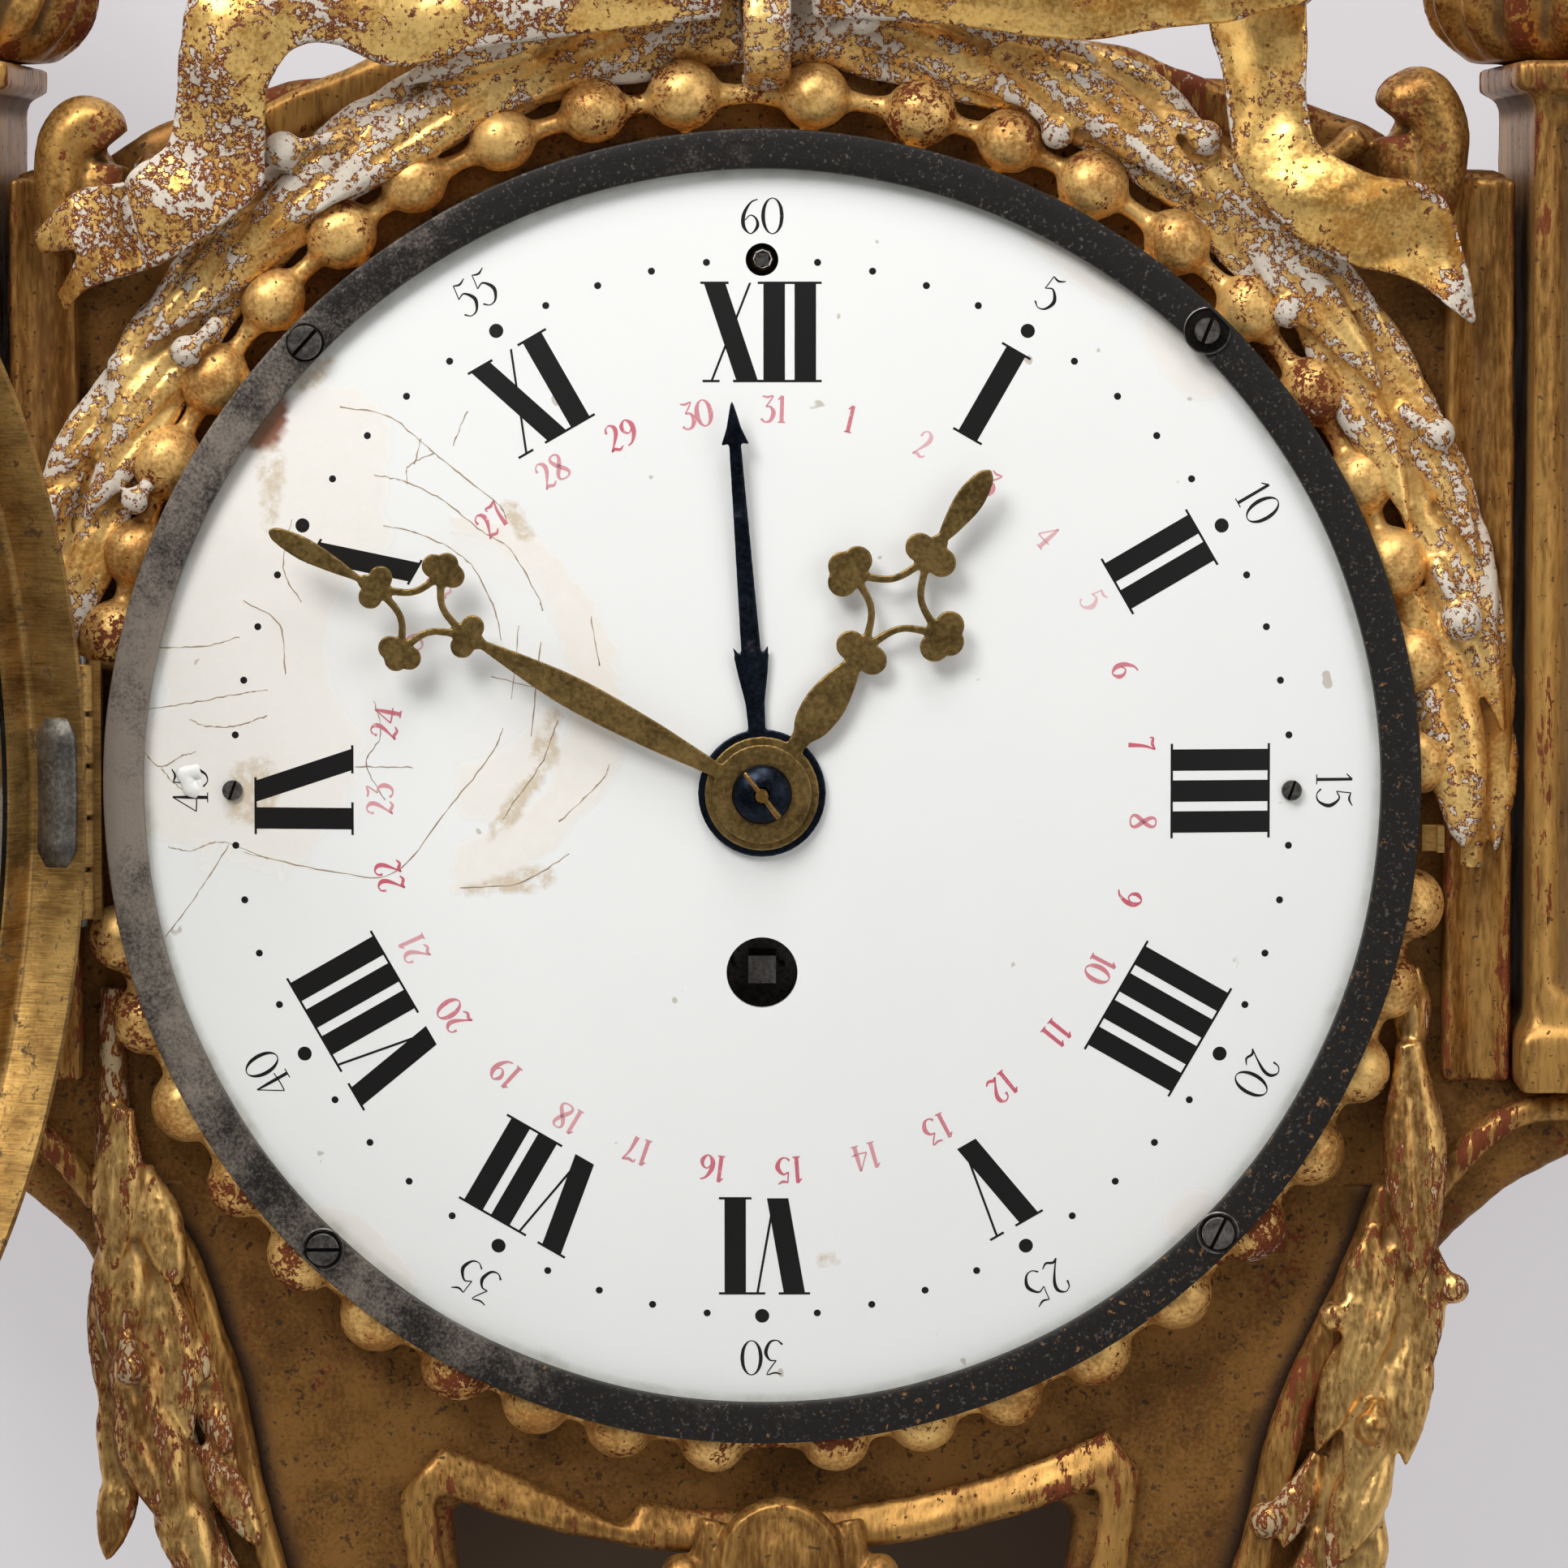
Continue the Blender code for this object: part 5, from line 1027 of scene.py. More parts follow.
class Studio:
    """The tools that every sub-assembly shares."""

    COARSER = 1.7

    def __init__(self, kit: dict) -> None:
        """Keep the loaded frame, and make the carver, the scatterer and the finishes."""
        self.nodes = kit["nodes"]
        self.coarser = 1.0
        self.carver = Carver(self.coarser)
        self.scatter = Scatter()
        self.finishes = Finishes()

    def copy(self, name: str, node: str) -> Object:
        """A new object with the shape of a CAD node."""
        source = self.nodes[node]
        points = [source.matrix_world @ vertex.co for vertex in source.data.vertices]
        return new_object(name, points, [tuple(face.vertices) for face in source.data.polygons])

    @staticmethod
    def merge(first: Object, other: Object) -> None:
        """Take the other object's mesh into the first object and remove it.

        Args:
            first: The object that stays.
            other: The object that goes.
        """
        points, faces = [], []
        for obj in (first, other):
            start = len(points)
            points.extend(vertex.co.copy() for vertex in obj.data.vertices)
            faces.extend(tuple(corner + start for corner in face.vertices) for face in obj.data.polygons)
        old = first.data
        first.data = bpy.data.meshes.new(first.name)
        first.data.from_pydata(points, [], faces)
        first.data.update()
        bpy.data.meshes.remove(old)
        bpy.data.objects.remove(other)

    def paint(self, finish: Material, *nodes: str) -> None:
        """Give CAD nodes a better material.

        Args:
            finish: The material.
            nodes: The nodes' names.
        """
        for node in nodes:
            for material_slot in self.nodes[node].material_slots:
                material_slot.material = finish
            LOG.info("%s: painted", node)


@dataclass
class Assembly:
    """A sub-assembly, with the tools that its pieces are made with."""

    studio: Studio

    @property
    def looks(self) -> Finishes:
        """Every material."""
        return self.studio.finishes

    def dress(self, obj: Object, finish: Material, slot: Slot, stands_for: Sequence[str] = (),
              sharp: float | None = None, body: Body = Body.CASE, cut: Cut | None = None) -> None:
        """Carve a piece, give it its material, its shading and its body, and hide the CAD nodes it stands
        for.

        Args:
            obj: The piece.
            finish: Its material.
            slot: The record's finish that it takes its own from; not used.
            stands_for: The CAD nodes that it replaces.
            sharp: The angle in degrees from which an edge stays crisp, or None for a soft skin.
            body: The body it moves with.
            cut: How it is carved, or None for a piece that is made smooth.
        """
        if cut:
            self.studio.carver.carve(obj, cut)
        mesh = obj.data
        mesh.materials.clear()
        mesh.materials.append(finish)
        mesh.polygons.foreach_set("use_smooth", [True] * len(mesh.polygons))
        if sharp is not None:
            mesh.set_sharp_from_angle(angle=math.radians(sharp))
        mesh.update()
        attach(obj, body.value)
        if stands_for:
            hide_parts(*stands_for)
        LOG.info("%s: %d faces on %s", obj.name, len(mesh.polygons), body.value)


@dataclass(frozen=True)
class Glyph:
    """A digit drawn with a broad pen: strokes of (x, y, width) in shares of its height.

    Attributes:
        strokes: The pen's path for each stroke.
        width: The room that the digit takes along the line.
    """

    strokes: tuple[tuple[Point, ...], ...]
    width: float = 0.6


def oval(middle: Spot, half: Spot, thin: float, thick: float) -> tuple[Point, ...]:
    """An oval pen stroke that swells at its sides.

    Args:
        middle: The oval's middle.
        half: Its half sizes.
        thin: The stroke's width at the top and the bottom.
        thick: Its width at the sides.

    Returns:
        The stroke's points with their widths.
    """
    points = []
    for k in range(13):
        turn = math.radians(360 * k / 12)
        points.append((middle[0] + half[0] * math.cos(turn), middle[1] + half[1] * math.sin(turn),
                       thin + (thick - thin) * abs(math.cos(turn))**1.6))
    return tuple(points)


def eight() -> tuple[Point, ...]:
    """A figure of eight in one stroke."""
    points = []
    for k in range(25):
        turn = 2 * math.pi * k / 24
        reach = 0.22 if math.cos(turn) < 0 else 0.17
        points.append((0.3 + reach * math.sin(2 * turn), 0.5 + 0.49 * math.cos(turn),
                       0.035 + 0.06 * abs(math.sin(turn))**2))
    return tuple(points)


SIX = ((0.5, 0.96, 0.03), (0.3, 0.86, 0.05), (0.12, 0.55, 0.1), (0.11, 0.22, 0.1), (0.3, 0.01, 0.03),
       (0.49, 0.2, 0.09), (0.46, 0.42, 0.06), (0.3, 0.52, 0.03), (0.15, 0.38, 0.03))
DIGITS = {
    "0": Glyph((oval((0.31, 0.5), (0.26, 0.49), 0.025, 0.105),), 0.64),
    "1": Glyph((((0.22, 0.0, 0.09), (0.22, 0.5, 0.085), (0.22, 1.0, 0.08)),
                ((0.07, 0.84, 0.03), (0.22, 0.99, 0.05)), ((0.08, 0.0, 0.03), (0.36, 0.0, 0.03))), 0.42),
    "2": Glyph((((0.1, 0.74, 0.06), (0.14, 0.92, 0.035), (0.3, 1.0, 0.035), (0.46, 0.86, 0.09),
                 (0.44, 0.62, 0.09), (0.24, 0.28, 0.045), (0.06, 0.03, 0.035)),
                ((0.06, 0.03, 0.035), (0.2, 0.1, 0.07), (0.38, 0.02, 0.06), (0.54, 0.12, 0.025))), 0.62),
    "3": Glyph((((0.1, 0.97, 0.03), (0.28, 0.93, 0.05), (0.5, 0.98, 0.03), (0.36, 0.74, 0.035),
                 (0.24, 0.58, 0.03)),
                ((0.24, 0.58, 0.03), (0.42, 0.56, 0.05), (0.53, 0.34, 0.1), (0.42, 0.06, 0.07),
                 (0.22, 0.0, 0.035), (0.07, 0.12, 0.06))), 0.62),
    "4": Glyph((((0.42, 0.98, 0.03), (0.22, 0.64, 0.03), (0.03, 0.32, 0.03)),
                ((0.03, 0.32, 0.035), (0.3, 0.31, 0.035), (0.6, 0.33, 0.03)),
                ((0.42, 0.98, 0.05), (0.42, 0.5, 0.09), (0.42, 0.0, 0.09)),
                ((0.28, 0.0, 0.03), (0.56, 0.0, 0.03))), 0.66),
    "5": Glyph((((0.54, 1.0, 0.025), (0.36, 0.91, 0.06), (0.18, 0.96, 0.03)),
                ((0.18, 0.96, 0.03), (0.16, 0.76, 0.03), (0.13, 0.56, 0.03)),
                ((0.13, 0.56, 0.03), (0.34, 0.63, 0.05), (0.53, 0.36, 0.105), (0.42, 0.07, 0.06),
                 (0.22, 0.0, 0.03), (0.06, 0.12, 0.05))), 0.6),
    "6": Glyph((SIX,), 0.6),
    "7": Glyph((((0.07, 0.84, 0.03), (0.1, 0.96, 0.04), (0.3, 0.9, 0.07), (0.54, 0.98, 0.03)),
                ((0.54, 0.98, 0.03), (0.36, 0.6, 0.06), (0.24, 0.0, 0.1))), 0.6),
    "8": Glyph((eight(),), 0.62),
    "9": Glyph((tuple((0.6 - x, 1.0 - y, w) for x, y, w in SIX),), 0.6),
}


@dataclass(frozen=True)
class Mark:
    """A blot on the dial, in pixels of the photograph.

    Attributes:
        at: Its middle.
        half: Its half sizes.
        turn: Its turn in degrees.
    """

    at: Spot
    half: Spot
    turn: float = 0.0

    def inside(self, px: np.ndarray, py: np.ndarray, wobble: np.ndarray) -> np.ndarray:
        """How far places lie inside the blot.

        Args:
            px: The places' pixels from the left.
            py: The places' pixels from the top.
            wobble: How far the blot's edge is out there.

        Returns:
            1 inside and 0 outside, with a soft rise at the edge.
        """
        turn = math.radians(self.turn)
        dx, dy = px - self.at[0], py - self.at[1]
        u = (dx * math.cos(turn) + dy * math.sin(turn)) / self.half[0]
        v = (dy * math.cos(turn) - dx * math.sin(turn)) / self.half[1]
        return np.clip((1.0 + wobble - np.hypot(u, v)) * 9, 0, 1)


@dataclass
class Dial(Assembly):
    """The enamel dial with its figures, dots and old damage.

    Attributes:
        holes: The x, the z and the radius of each hole.
        pitch: The distance between the plate's points.
        hour_foot: The radius that the hours stand on.
        hour_height: Their height.
        bar: The width of their bars.
        hair: The width of their hairlines and feet.
        minute_foot: The radius that the minutes stand on.
        minute_height: Their height.
        date_foot: The radius that the dates stand on.
        date_height: Their height.
        date_weight: A factor on the width of their strokes.
        date_turn: The clockwise angle of the last date.
        dot: The radius of a minute's dot.
        fifth_dot: The radius of every fifth dot.
        print_depth: How far the print reaches into the enamel.
    """

    holes: tuple[Point, ...] = ((0.0, 0.0, 5.2), (0.0, -32.0, 6.3), (0.0, MINUTE_CIRCLE, 2.9),
                                (MINUTE_CIRCLE, 0.0, 1.5), (-MINUTE_CIRCLE, 0.0, 1.5))
    pitch: float = 1.0
    hour_foot: float = 72.6
    hour_height: float = 17.3
    bar: float = 3.8
    hair: float = 0.42
    minute_foot: float = 98.5
    minute_height: float = 6.4
    date_foot: float = 65.4
    date_height: float = 4.7
    date_weight: float = 1.75
    date_turn: float = 1.7
    dot: float = 0.66
    fifth_dot: float = 1.32
    print_depth: float = 0.06

    HOURS = ("XII", "I", "II", "III", "IIII", "V", "VI", "VII", "VIII", "IX", "X", "XI")
    ROOMS = {"I": 5.5, "V": 9.6, "X": 9.8}
    WORN_MINUTE = 50
    WORN_HOURS = (9, 10)  # their crosses have lost a hairline
    FADES = {2: 0.62, 4: 0.6, 5: 0.72, 25: 0.6, 26: 0.7}
    CREAM = (Mark((340, 800), (150, 300), 8), Mark((400, 575), (80, 120), 25), Mark((240, 950), (90, 95)),
        Mark((1468, 432), (82, 46), 45), Mark((440, 1548), (84, 34), 40), Mark((1470, 1500), (40, 26), -40),
        Mark((1330, 330), (90, 20), 35), Mark((620, 930), (60, 90), 20))
    TAN = (Mark((388, 462), (30, 13), -35), Mark((335, 602), (17, 56)), Mark((312, 985), (40, 46)),
        Mark((1022, 1556), (14, 9)), Mark((640, 640), (34, 14), 60), Mark((675, 905), (12, 40), 25),
        Mark((640, 985), (70, 12), -52), Mark((640, 1085), (70, 16), -10))
    COPPER = (Mark((327, 514), (30, 40), 25),)
    CRACKS = (((420, 502), (479, 513), (523, 547), (568, 583), (617, 623), (626, 645)), ((463, 585),
        (501, 594), (550, 618), (595, 654), (630, 676), (662, 730), (670, 752)), ((577, 507), (559, 549)),
        ((537, 558), (505, 574), (503, 596)), ((474, 647), (523, 659), (577, 690), (608, 743), (619, 788)),
        ((688, 886), (670, 935), (639, 980), (621, 1007)), ((438, 944), (510, 944)), ((300, 1051),
        (412, 1074), (487, 1074), (550, 998), (604, 931), (621, 895)), ((729, 757), (740, 819)),
        ((174, 876), (228, 868), (295, 855), (330, 850)), ((233, 887), (254, 895), (287, 895), (330, 882)),
        ((174, 925), (185, 938), (198, 946), (222, 933), (241, 927)), ((198, 949), (214, 967), (236, 981)),
        ((276, 1038), (330, 1059)), ((281, 1042), (244, 1099), (201, 1158)), ((193, 799), (254, 796),
        (295, 785)), ((206, 1045), (233, 1050), (257, 1040), (276, 1038)), ((612, 800), (684, 822)),
        ((606, 832), (690, 852)), ((640, 770), (632, 860)), ((668, 790), (655, 905)), ((690, 1010),
        (740, 962), (752, 940)), ((568, 1092), (640, 1086), (702, 1050)), ((360, 640), (350, 700),
        (372, 742)), ((300, 740), (345, 770), (352, 830)), ((462, 862), (470, 905), (452, 940), (475, 985)),
        ((520, 540), (512, 572)))

    def build(self) -> None:
        """Make the plate and all that is drawn on it."""
        self._plate()
        self._black()
        self._dots()
        self._dates()
        self._cracks()

    def _mesh(self) -> tuple[np.ndarray, np.ndarray]:
        """The plate's face from the front.

        Returns:
            Its (x, z) points and its triangles, with the holes left open.
        """
        spots: list[Spot] = []
        edges: list[tuple[int, int]] = []
        for x, z, radius in ((0.0, 0.0, DIAL_RADIUS), *self.holes):
            start, count = len(spots), 420 if radius == DIAL_RADIUS else 40
            for k in range(count):
                dx, dz = clockwise(radius, 360 * k / count)
                spots.append((x + dx, z + dz))
                edges.append((start + k, start + (k + 1) % count))
        pitch = self.pitch * self.studio.coarser
        for k in range(1, int((DIAL_RADIUS - 0.4) / pitch)):
            count = int(2 * math.pi * (k * pitch) / pitch)
            for j in range(count):
                x, z = clockwise(k * pitch, 360 * (j + 0.5 * (k % 2)) / count)
                if all(math.hypot(x - hx, z - hz) > hr + 0.5 * pitch for hx, hz, hr in self.holes):
                    spots.append((x, z))
        flat, _, faces, *_ = geometry.delaunay_2d_cdt([Vector(spot) for spot in spots], edges, [], 0, 1e-6)
        flat, faces = np.array([tuple(spot) for spot in flat]), np.array(faces)
        middles = flat[faces].mean(1)
        keep = np.hypot(*middles.T) < DIAL_RADIUS
        for x, z, radius in self.holes:
            keep &= np.hypot(middles[:, 0] - x, middles[:, 1] - z) > radius * 0.995
        return flat, faces[keep]

    def _plate(self) -> None:
        """The domed plate with its holes, and marks for the old fillings."""
        flat, faces = self._mesh()
        sides = np.concatenate([faces[:, [0, 1]], faces[:, [1, 2]], faces[:, [2, 0]]])
        _, first, counts = np.unique(np.sort(sides, 1), axis=0, return_index=True, return_counts=True)
        rims = sides[first[counts == 1]]
        size = len(flat)
        top = [(x, dial_height(math.hypot(x, z)), z) for x, z in flat]
        bottom = [(x, f - DIAL_THICK, z) for x, f, z in top]
        shape = Shape(top + bottom, [tuple(face) for face in faces])
        shape.faces += [tuple(corner + size for corner in face[::-1]) for face in faces]
        shape.faces += [(b, a, a + size, b + size) for a, b in rims]
        obj = shape.build("enamel_dial")
        self._mark(obj.data, np.concatenate([flat, flat]))
        self.dress(obj, self.looks.enamel, Slot.ENAMEL, ["dial_plate"], 40)

    def _mark(self, mesh: bpy.types.Mesh, flat: np.ndarray) -> None:
        """Write the fillings, the dirt, the bare copper and the grey rim on the plate's points.

        Args:
            mesh: The plate's mesh.
            flat: The (x, z) places of its points.
        """
        px = flat[:, 0] / PHOTO_SCALE + PHOTO_CENTRE[0]
        py = PHOTO_CENTRE[1] - flat[:, 1] / PHOTO_SCALE
        waves = [noise.fractal(Vector((x * 0.09, z * 0.09, 3.0)), 0.7, 2.1, 4) for x, z in flat]
        wobble = np.array(waves) * 0.16
        cream, tan, copper = (
            np.max([mark.inside(px, py, wobble * loose) for mark in marks], axis=0)
            for marks, loose in ((self.CREAM, 1), (self.TAN, 2.5), (self.COPPER, 2)))
        reach = np.hypot(px - 530, py - 862) + wobble * 90
        band = np.clip((reach - 172) / 6, 0, 1) * np.clip((240 - reach) / 5, 0, 1) * (px > 560)
        cream = np.maximum(cream * 0.85, band)
        cream *= 1 - 0.75 * np.clip((150 - np.hypot(px - 545, py - 800)) / 12, 0, 1)
        rim = np.clip((np.hypot(*flat.T) - 108.4 + 6 * wobble) / 1.5, 0, 1)
        for name, values in (("cream", cream), ("tan", tan), ("copper", copper), ("rim", rim * 0.8)):
            write_marks(mesh, name, values)

    def _strip(self, left: Sequence[Spot], right: Sequence[Spot], lift: float) -> Shape:
        """A thin layer on the dial.

        Args:
            left: The (x, z) points of its left edge.
            right: Those of its right edge.
            lift: How far it stands out of the enamel.

        Returns:
            The layer.
        """
        rings = []
        for (lx, lz), (rx, rz) in zip(left, right):
            low, high = dial_height(math.hypot(lx, lz)), dial_height(math.hypot(rx, rz))
            rings.append([(lx, low + lift, lz), (rx, high + lift, rz), (rx, high - self.print_depth, rz),
                          (lx, low - self.print_depth, lz)])
        return Shape.loft(rings)

    def _stroke(self, line: Sequence[Sequence[float]], lift: float) -> Shape:
        """A pen stroke on the dial.

        Args:
            line: Its (x, z, width) points.
            lift: How far it stands out of the enamel.

        Returns:
            The stroke.
        """
        left, right = [], []
        for (x, z, width), (nx, nz) in zip(line, flanks(line)):
            left.append((x + nx * width / 2, z + nz * width / 2))
            right.append((x - nx * width / 2, z - nz * width / 2))
        return self._strip(left, right, lift)

    def _figure(self, text: str, place: Callable[[float, float], Spot], height: float, weight: float,
                lift: float) -> Shape:
        """Digits in a row.

        Args:
            text: The digits.
            place: Where they stand.
            height: Their height.
            weight: A factor on the width of their strokes.
            lift: How far they stand out of the enamel.

        Returns:
            All their strokes.
        """
        shape = Shape()
        start = -sum(DIGITS[digit].width for digit in text) * height / 2
        for digit in text:
            for stroke in DIGITS[digit].strokes:
                line = [(*place(start + x * height, y * height), max(width, 0.03) * height * weight)
                        for x, y, width in smooth_line(stroke, 5)]
                shape.add(self._stroke(line, lift))
            start += DIGITS[digit].width * height
        return shape

    def _hour(self, hour: int) -> Shape:
        """A Roman hour: broad bars, hairlines and thin feet.

        Args:
            hour: The hour, with 0 for twelve.

        Returns:
            All its strokes.
        """
        place = laid(30.0 * hour, self.hour_foot)
        height, bar, hair = self.hour_height, self.bar, self.hair
        shape = Shape()

        def slant(low: float, high: float, width: float) -> None:
            """Draw a stroke from its foot to its head."""
            rows = [(low + (high - low) * k / 12, height * k / 12) for k in range(13)]
            shape.add(self._strip([place(u - width / 2, v) for u, v in rows],
                                  [place(u + width / 2, v) for u, v in rows], 0.035))

        def foot(low: float, high: float, level: float) -> None:
            """Draw a thin foot."""
            rows = [low + (high - low) * k / 6 for k in range(7)]
            shape.add(self._strip([place(u, level - hair / 2) for u in rows],
                                  [place(u, level + hair / 2) for u in rows], 0.03))

        text = self.HOURS[hour]
        start = -sum(self.ROOMS[letter] for letter in text) / 2
        for letter in text:
            middle = start + self.ROOMS[letter] / 2
            if letter == "I":
                slant(middle, middle, bar)
                foot(middle - 2.9, middle + 2.9, 0)
                foot(middle - 2.9, middle + 2.9, height)
            elif letter == "V":
                slant(middle, middle - 3.0, bar)
                slant(middle + 0.6, middle + 3.6, hair)
                foot(middle - 5.8, middle - 0.2, height)
                foot(middle + 2.2, middle + 5.0, height)
            else:
                slant(middle + 2.9, middle - 2.9, bar)
                if hour not in self.WORN_HOURS:
                    slant(middle - 3.4, middle + 3.4, hair)
                    foot(middle - 5.0, middle - 2.0, 0)
                foot(middle + 0.4, middle + 5.4, 0)
                foot(middle - 5.4, middle - 0.4, height)
            start += self.ROOMS[letter]
        return shape

    def _black(self) -> None:
        """The hours and the minutes."""
        shape = Shape()
        for hour in range(12):
            shape.add(self._hour(hour))
        for minute in range(5, 61, 5):
            if minute != self.WORN_MINUTE:
                place = laid(6.0 * minute, self.minute_foot)
                shape.add(self._figure(str(minute), place, self.minute_height, 1.0, 0.03))
        self.dress(shape.build("dial_figures"), self.looks.ink, Slot.ENAMEL, sharp=30)

    def _dots(self) -> None:
        """The minute dots, larger at every fifth, apart from where a hole or a screw stands."""
        disc = Shape.turned([(0.02, -0.05), (1.0, -0.05), (0.95, 0.03), (0.02, 0.035)], 16)
        slope = 2 * DIAL_RISE * MINUTE_CIRCLE / DIAL_RADIUS**2
        seats = []
        for minute in range(60):
            if minute in (0, 15, 45):
                continue
            x, z = clockwise(MINUTE_CIRCLE, 6 * minute)
            size = self.dot if minute % 5 else self.fifth_dot
            out = (slope * x / MINUTE_CIRCLE, 1.0, slope * z / MINUTE_CIRCLE)
            seats.append(Seat((x, dial_height(MINUTE_CIRCLE), z), (z, 0, -x), out, (size, size, 1)))
        obj = self.studio.scatter.spread("minute_dots", disc, seats, self.looks.ink)
        self.dress(obj, self.looks.ink, Slot.ENAMEL, sharp=30)

    def _dates(self) -> None:
        """The red dates, faded to different strengths."""
        chance = random.Random(7)
        shape, fades = Shape(), []
        for date in range(1, 32):
            place = laid(self.date_turn + 360 / 31 * (date - 31), self.date_foot)
            figure = self._figure(str(date), place, self.date_height, self.date_weight, 0.025)
            fades += [self.FADES.get(date, chance.uniform(0.08, 0.5))] * len(figure.points)
            shape.add(figure)
        obj = shape.build("dial_dates")
        write_marks(obj.data, "fade", fades)
        self.dress(obj, self.looks.red_ink, Slot.ENAMEL, sharp=30)

    def _cracks(self) -> None:
        """Hairline cracks with dirt in them, and a dab of white paint over a figure."""
        chance = random.Random(11)
        shape = Shape()
        for crack in self.CRACKS:
            line = [(x + chance.uniform(-0.12, 0.12), z + chance.uniform(-0.12, 0.12),
                     chance.uniform(0.08, 0.3))
                    for x, z in smooth_line([from_photo(*spot) for spot in crack], 9)]
            shape.add(self._stroke(line, 0.02))
        self.dress(shape.build("dial_cracks"), self.looks.crack, Slot.ENAMEL)
        x, z = from_photo(240, 962)
        dab = Shape.turned([(0.05, -0.3), (3.2, -0.3), (3.0, 0.05), (1.8, 0.16), (0.05, 0.18)], 40,
                           (x, dial_height(math.hypot(x, z)), z), swell=uneven((0.12, 3, 0), (0.07, 5, 40)))
        self.dress(dab.build("paint_dab"), self.looks.dab, Slot.ENAMEL)


@dataclass
class Ring(Assembly):
    """The iron ring over the dial's rim, with its screws and the dial's own two screws.

    Attributes:
        screws: The angle, the head's radius and the slot's angle of each ring screw.
        head: The height of a ring screw's head.
        washers: The radius of the washer under each ring screw.
        bare: The number of the ring screw that has lost its washer.
        dial_screw: The radius, the height and the slot's angle of a dial screw's head.
        bound: How far out a washer may reach, as the shut bezel's wall begins just past it.
    """

    screws: tuple[Point, ...] = ((46.0, 2.3, 68.0), (135.5, 3.0, 48.0), (226.3, 2.9, 0.0), (315.8, 2.9, 64.0))
    head: float = 1.3
    washers: tuple[float, ...] = (4.2, 3.4, 3.8, 3.8)
    bare: int = 2
    dial_screw: Point = (1.8, 0.8, 70.0)
    bound: float = 116.4

    def build(self) -> None:
        """Make the ring, its washers and all six screws."""
        inner, outer, front = RING_INNER, RING_OUTER, RING_FRONT
        profile = [(inner, RING_BACK), (inner, front - 0.45), (inner + 0.15, front - 0.1),
                   (inner + 0.5, front),
                   (outer - 0.45, front), (outer - 0.12, front - 0.12), (outer, front - 0.45),
                   (outer, RING_BACK)]
        steps = []
        for (r0, f0), (r1, f1) in zip(profile, profile[1:] + profile[:1]):
            steps += [(r0 + (r1 - r0) * k / 3, f0 + (f1 - f0) * k / 3) for k in range(3)]
        obj = Shape.turned(steps, 420, swell=uneven((0.0006, 5, 0), (0.0004, 17, 0))).build("iron_ring")
        self.studio.carver.mark(obj.data, 8)
        self.dress(obj, self.looks.iron, Slot.IRON, ["dial_ring"], 50)
        for k, (angle, radius, slot) in enumerate(self.screws, 1):
            turn = math.radians(angle)
            at = (RING_MIDDLE * math.cos(turn), RING_FRONT + GAP, RING_MIDDLE * math.sin(turn))
            self._screw("ring_screw_%d" % k, at, radius, self.head, slot)
            self._washer(k, at)
        for side in Side:
            at = (side.value * MINUTE_CIRCLE, dial_height(MINUTE_CIRCLE) + 0.25, 0.0)
            self._screw("dial_screw_" + side.word, at, *self.dial_screw)

    def _screw(self, node: str, at: Point, radius: float, height: float, degrees: float) -> None:
        """A slotted head on its shank, in place of a plain CAD screw.

        Args:
            node: The CAD node that it replaces.
            at: The middle of the head's underside.
            radius: The head's radius.
            height: The head's height.
            degrees: The slot's angle.
        """
        back = -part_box(node)[1][1] / MM - at[1]
        half = 0.34 if radius > 2 else 0.26
        floor, shank = height * 0.45, radius * 0.36
        shape = Shape.turned([(0.05, back), (shank, back), (shank, 0.0), (0.05, 0.0)], 16, at)
        shape.add(Shape.turned([(0.05, -0.02), (radius, -0.02), (radius, floor), (0.05, floor)], 40, at))
        self.dress(shape.build(node + "_core"), self.looks.recess, Slot.STEEL, sharp=35)
        turn = math.radians(degrees)
        along, across = (math.cos(turn), math.sin(turn)), (-math.sin(turn), math.cos(turn))
        edge = math.degrees(math.asin(half / radius))
        rim = [(radius * math.cos(t), radius * math.sin(t))
               for t in (math.radians(edge + (180 - 2 * edge) * k / 20) for k in range(21))]
        inner = [(u * 0.93, half + (v - half) * 0.93) for u, v in rim]
        shape = Shape()
        for sign in (-1, 1):
            shape.add(Shape.loft([
                [(at[0] + u * along[0] + sign * v * across[0], at[1] + level,
                  at[2] + u * along[1] + sign * v * across[1]) for u, v in points]
                for points, level in ((rim, floor - 0.1), (rim, height * 0.82), (inner, height))]))
        self.dress(shape.build(node + "_slotted"), self.looks.steel, Slot.STEEL, [node], 35)

    def _washer(self, number: int, at: Point) -> None:
        """The washer under a ring screw and the dark bed in it; the first is a wide cup.

        Args:
            number: The screw's number.
            at: The middle of the screw head's underside.
        """
        reach, base = self.washers[number - 1], -0.28

        def kept(point: Point) -> Point:
            """The point, pulled in to where the shut bezel leaves room."""
            share = min(1.0, self.bound / math.hypot(point[0], point[2]))
            return point[0] * share, point[1], point[2] * share

        bed = Shape.turned([(0.9, base), (reach, base), (reach, base + 0.12), (0.9, base + 0.12)], 48, at)
        self.dress(bed.moved(kept).build("ring_recess_%d" % number), self.looks.recess, Slot.IRON, sharp=40)
        if number == self.bare:
            return
        inner = reach - 0.4 if number == 1 else 3.15
        washer = Shape.turned([(inner, base), (reach, base), (reach, base + 0.4), (reach - 0.2, base + 0.55),
                               (inner, base + 0.3)], 48, at)
        self.dress(washer.moved(kept).build("ring_washer_%d" % number), self.looks.steel, Slot.STEEL,
                   sharp=40)


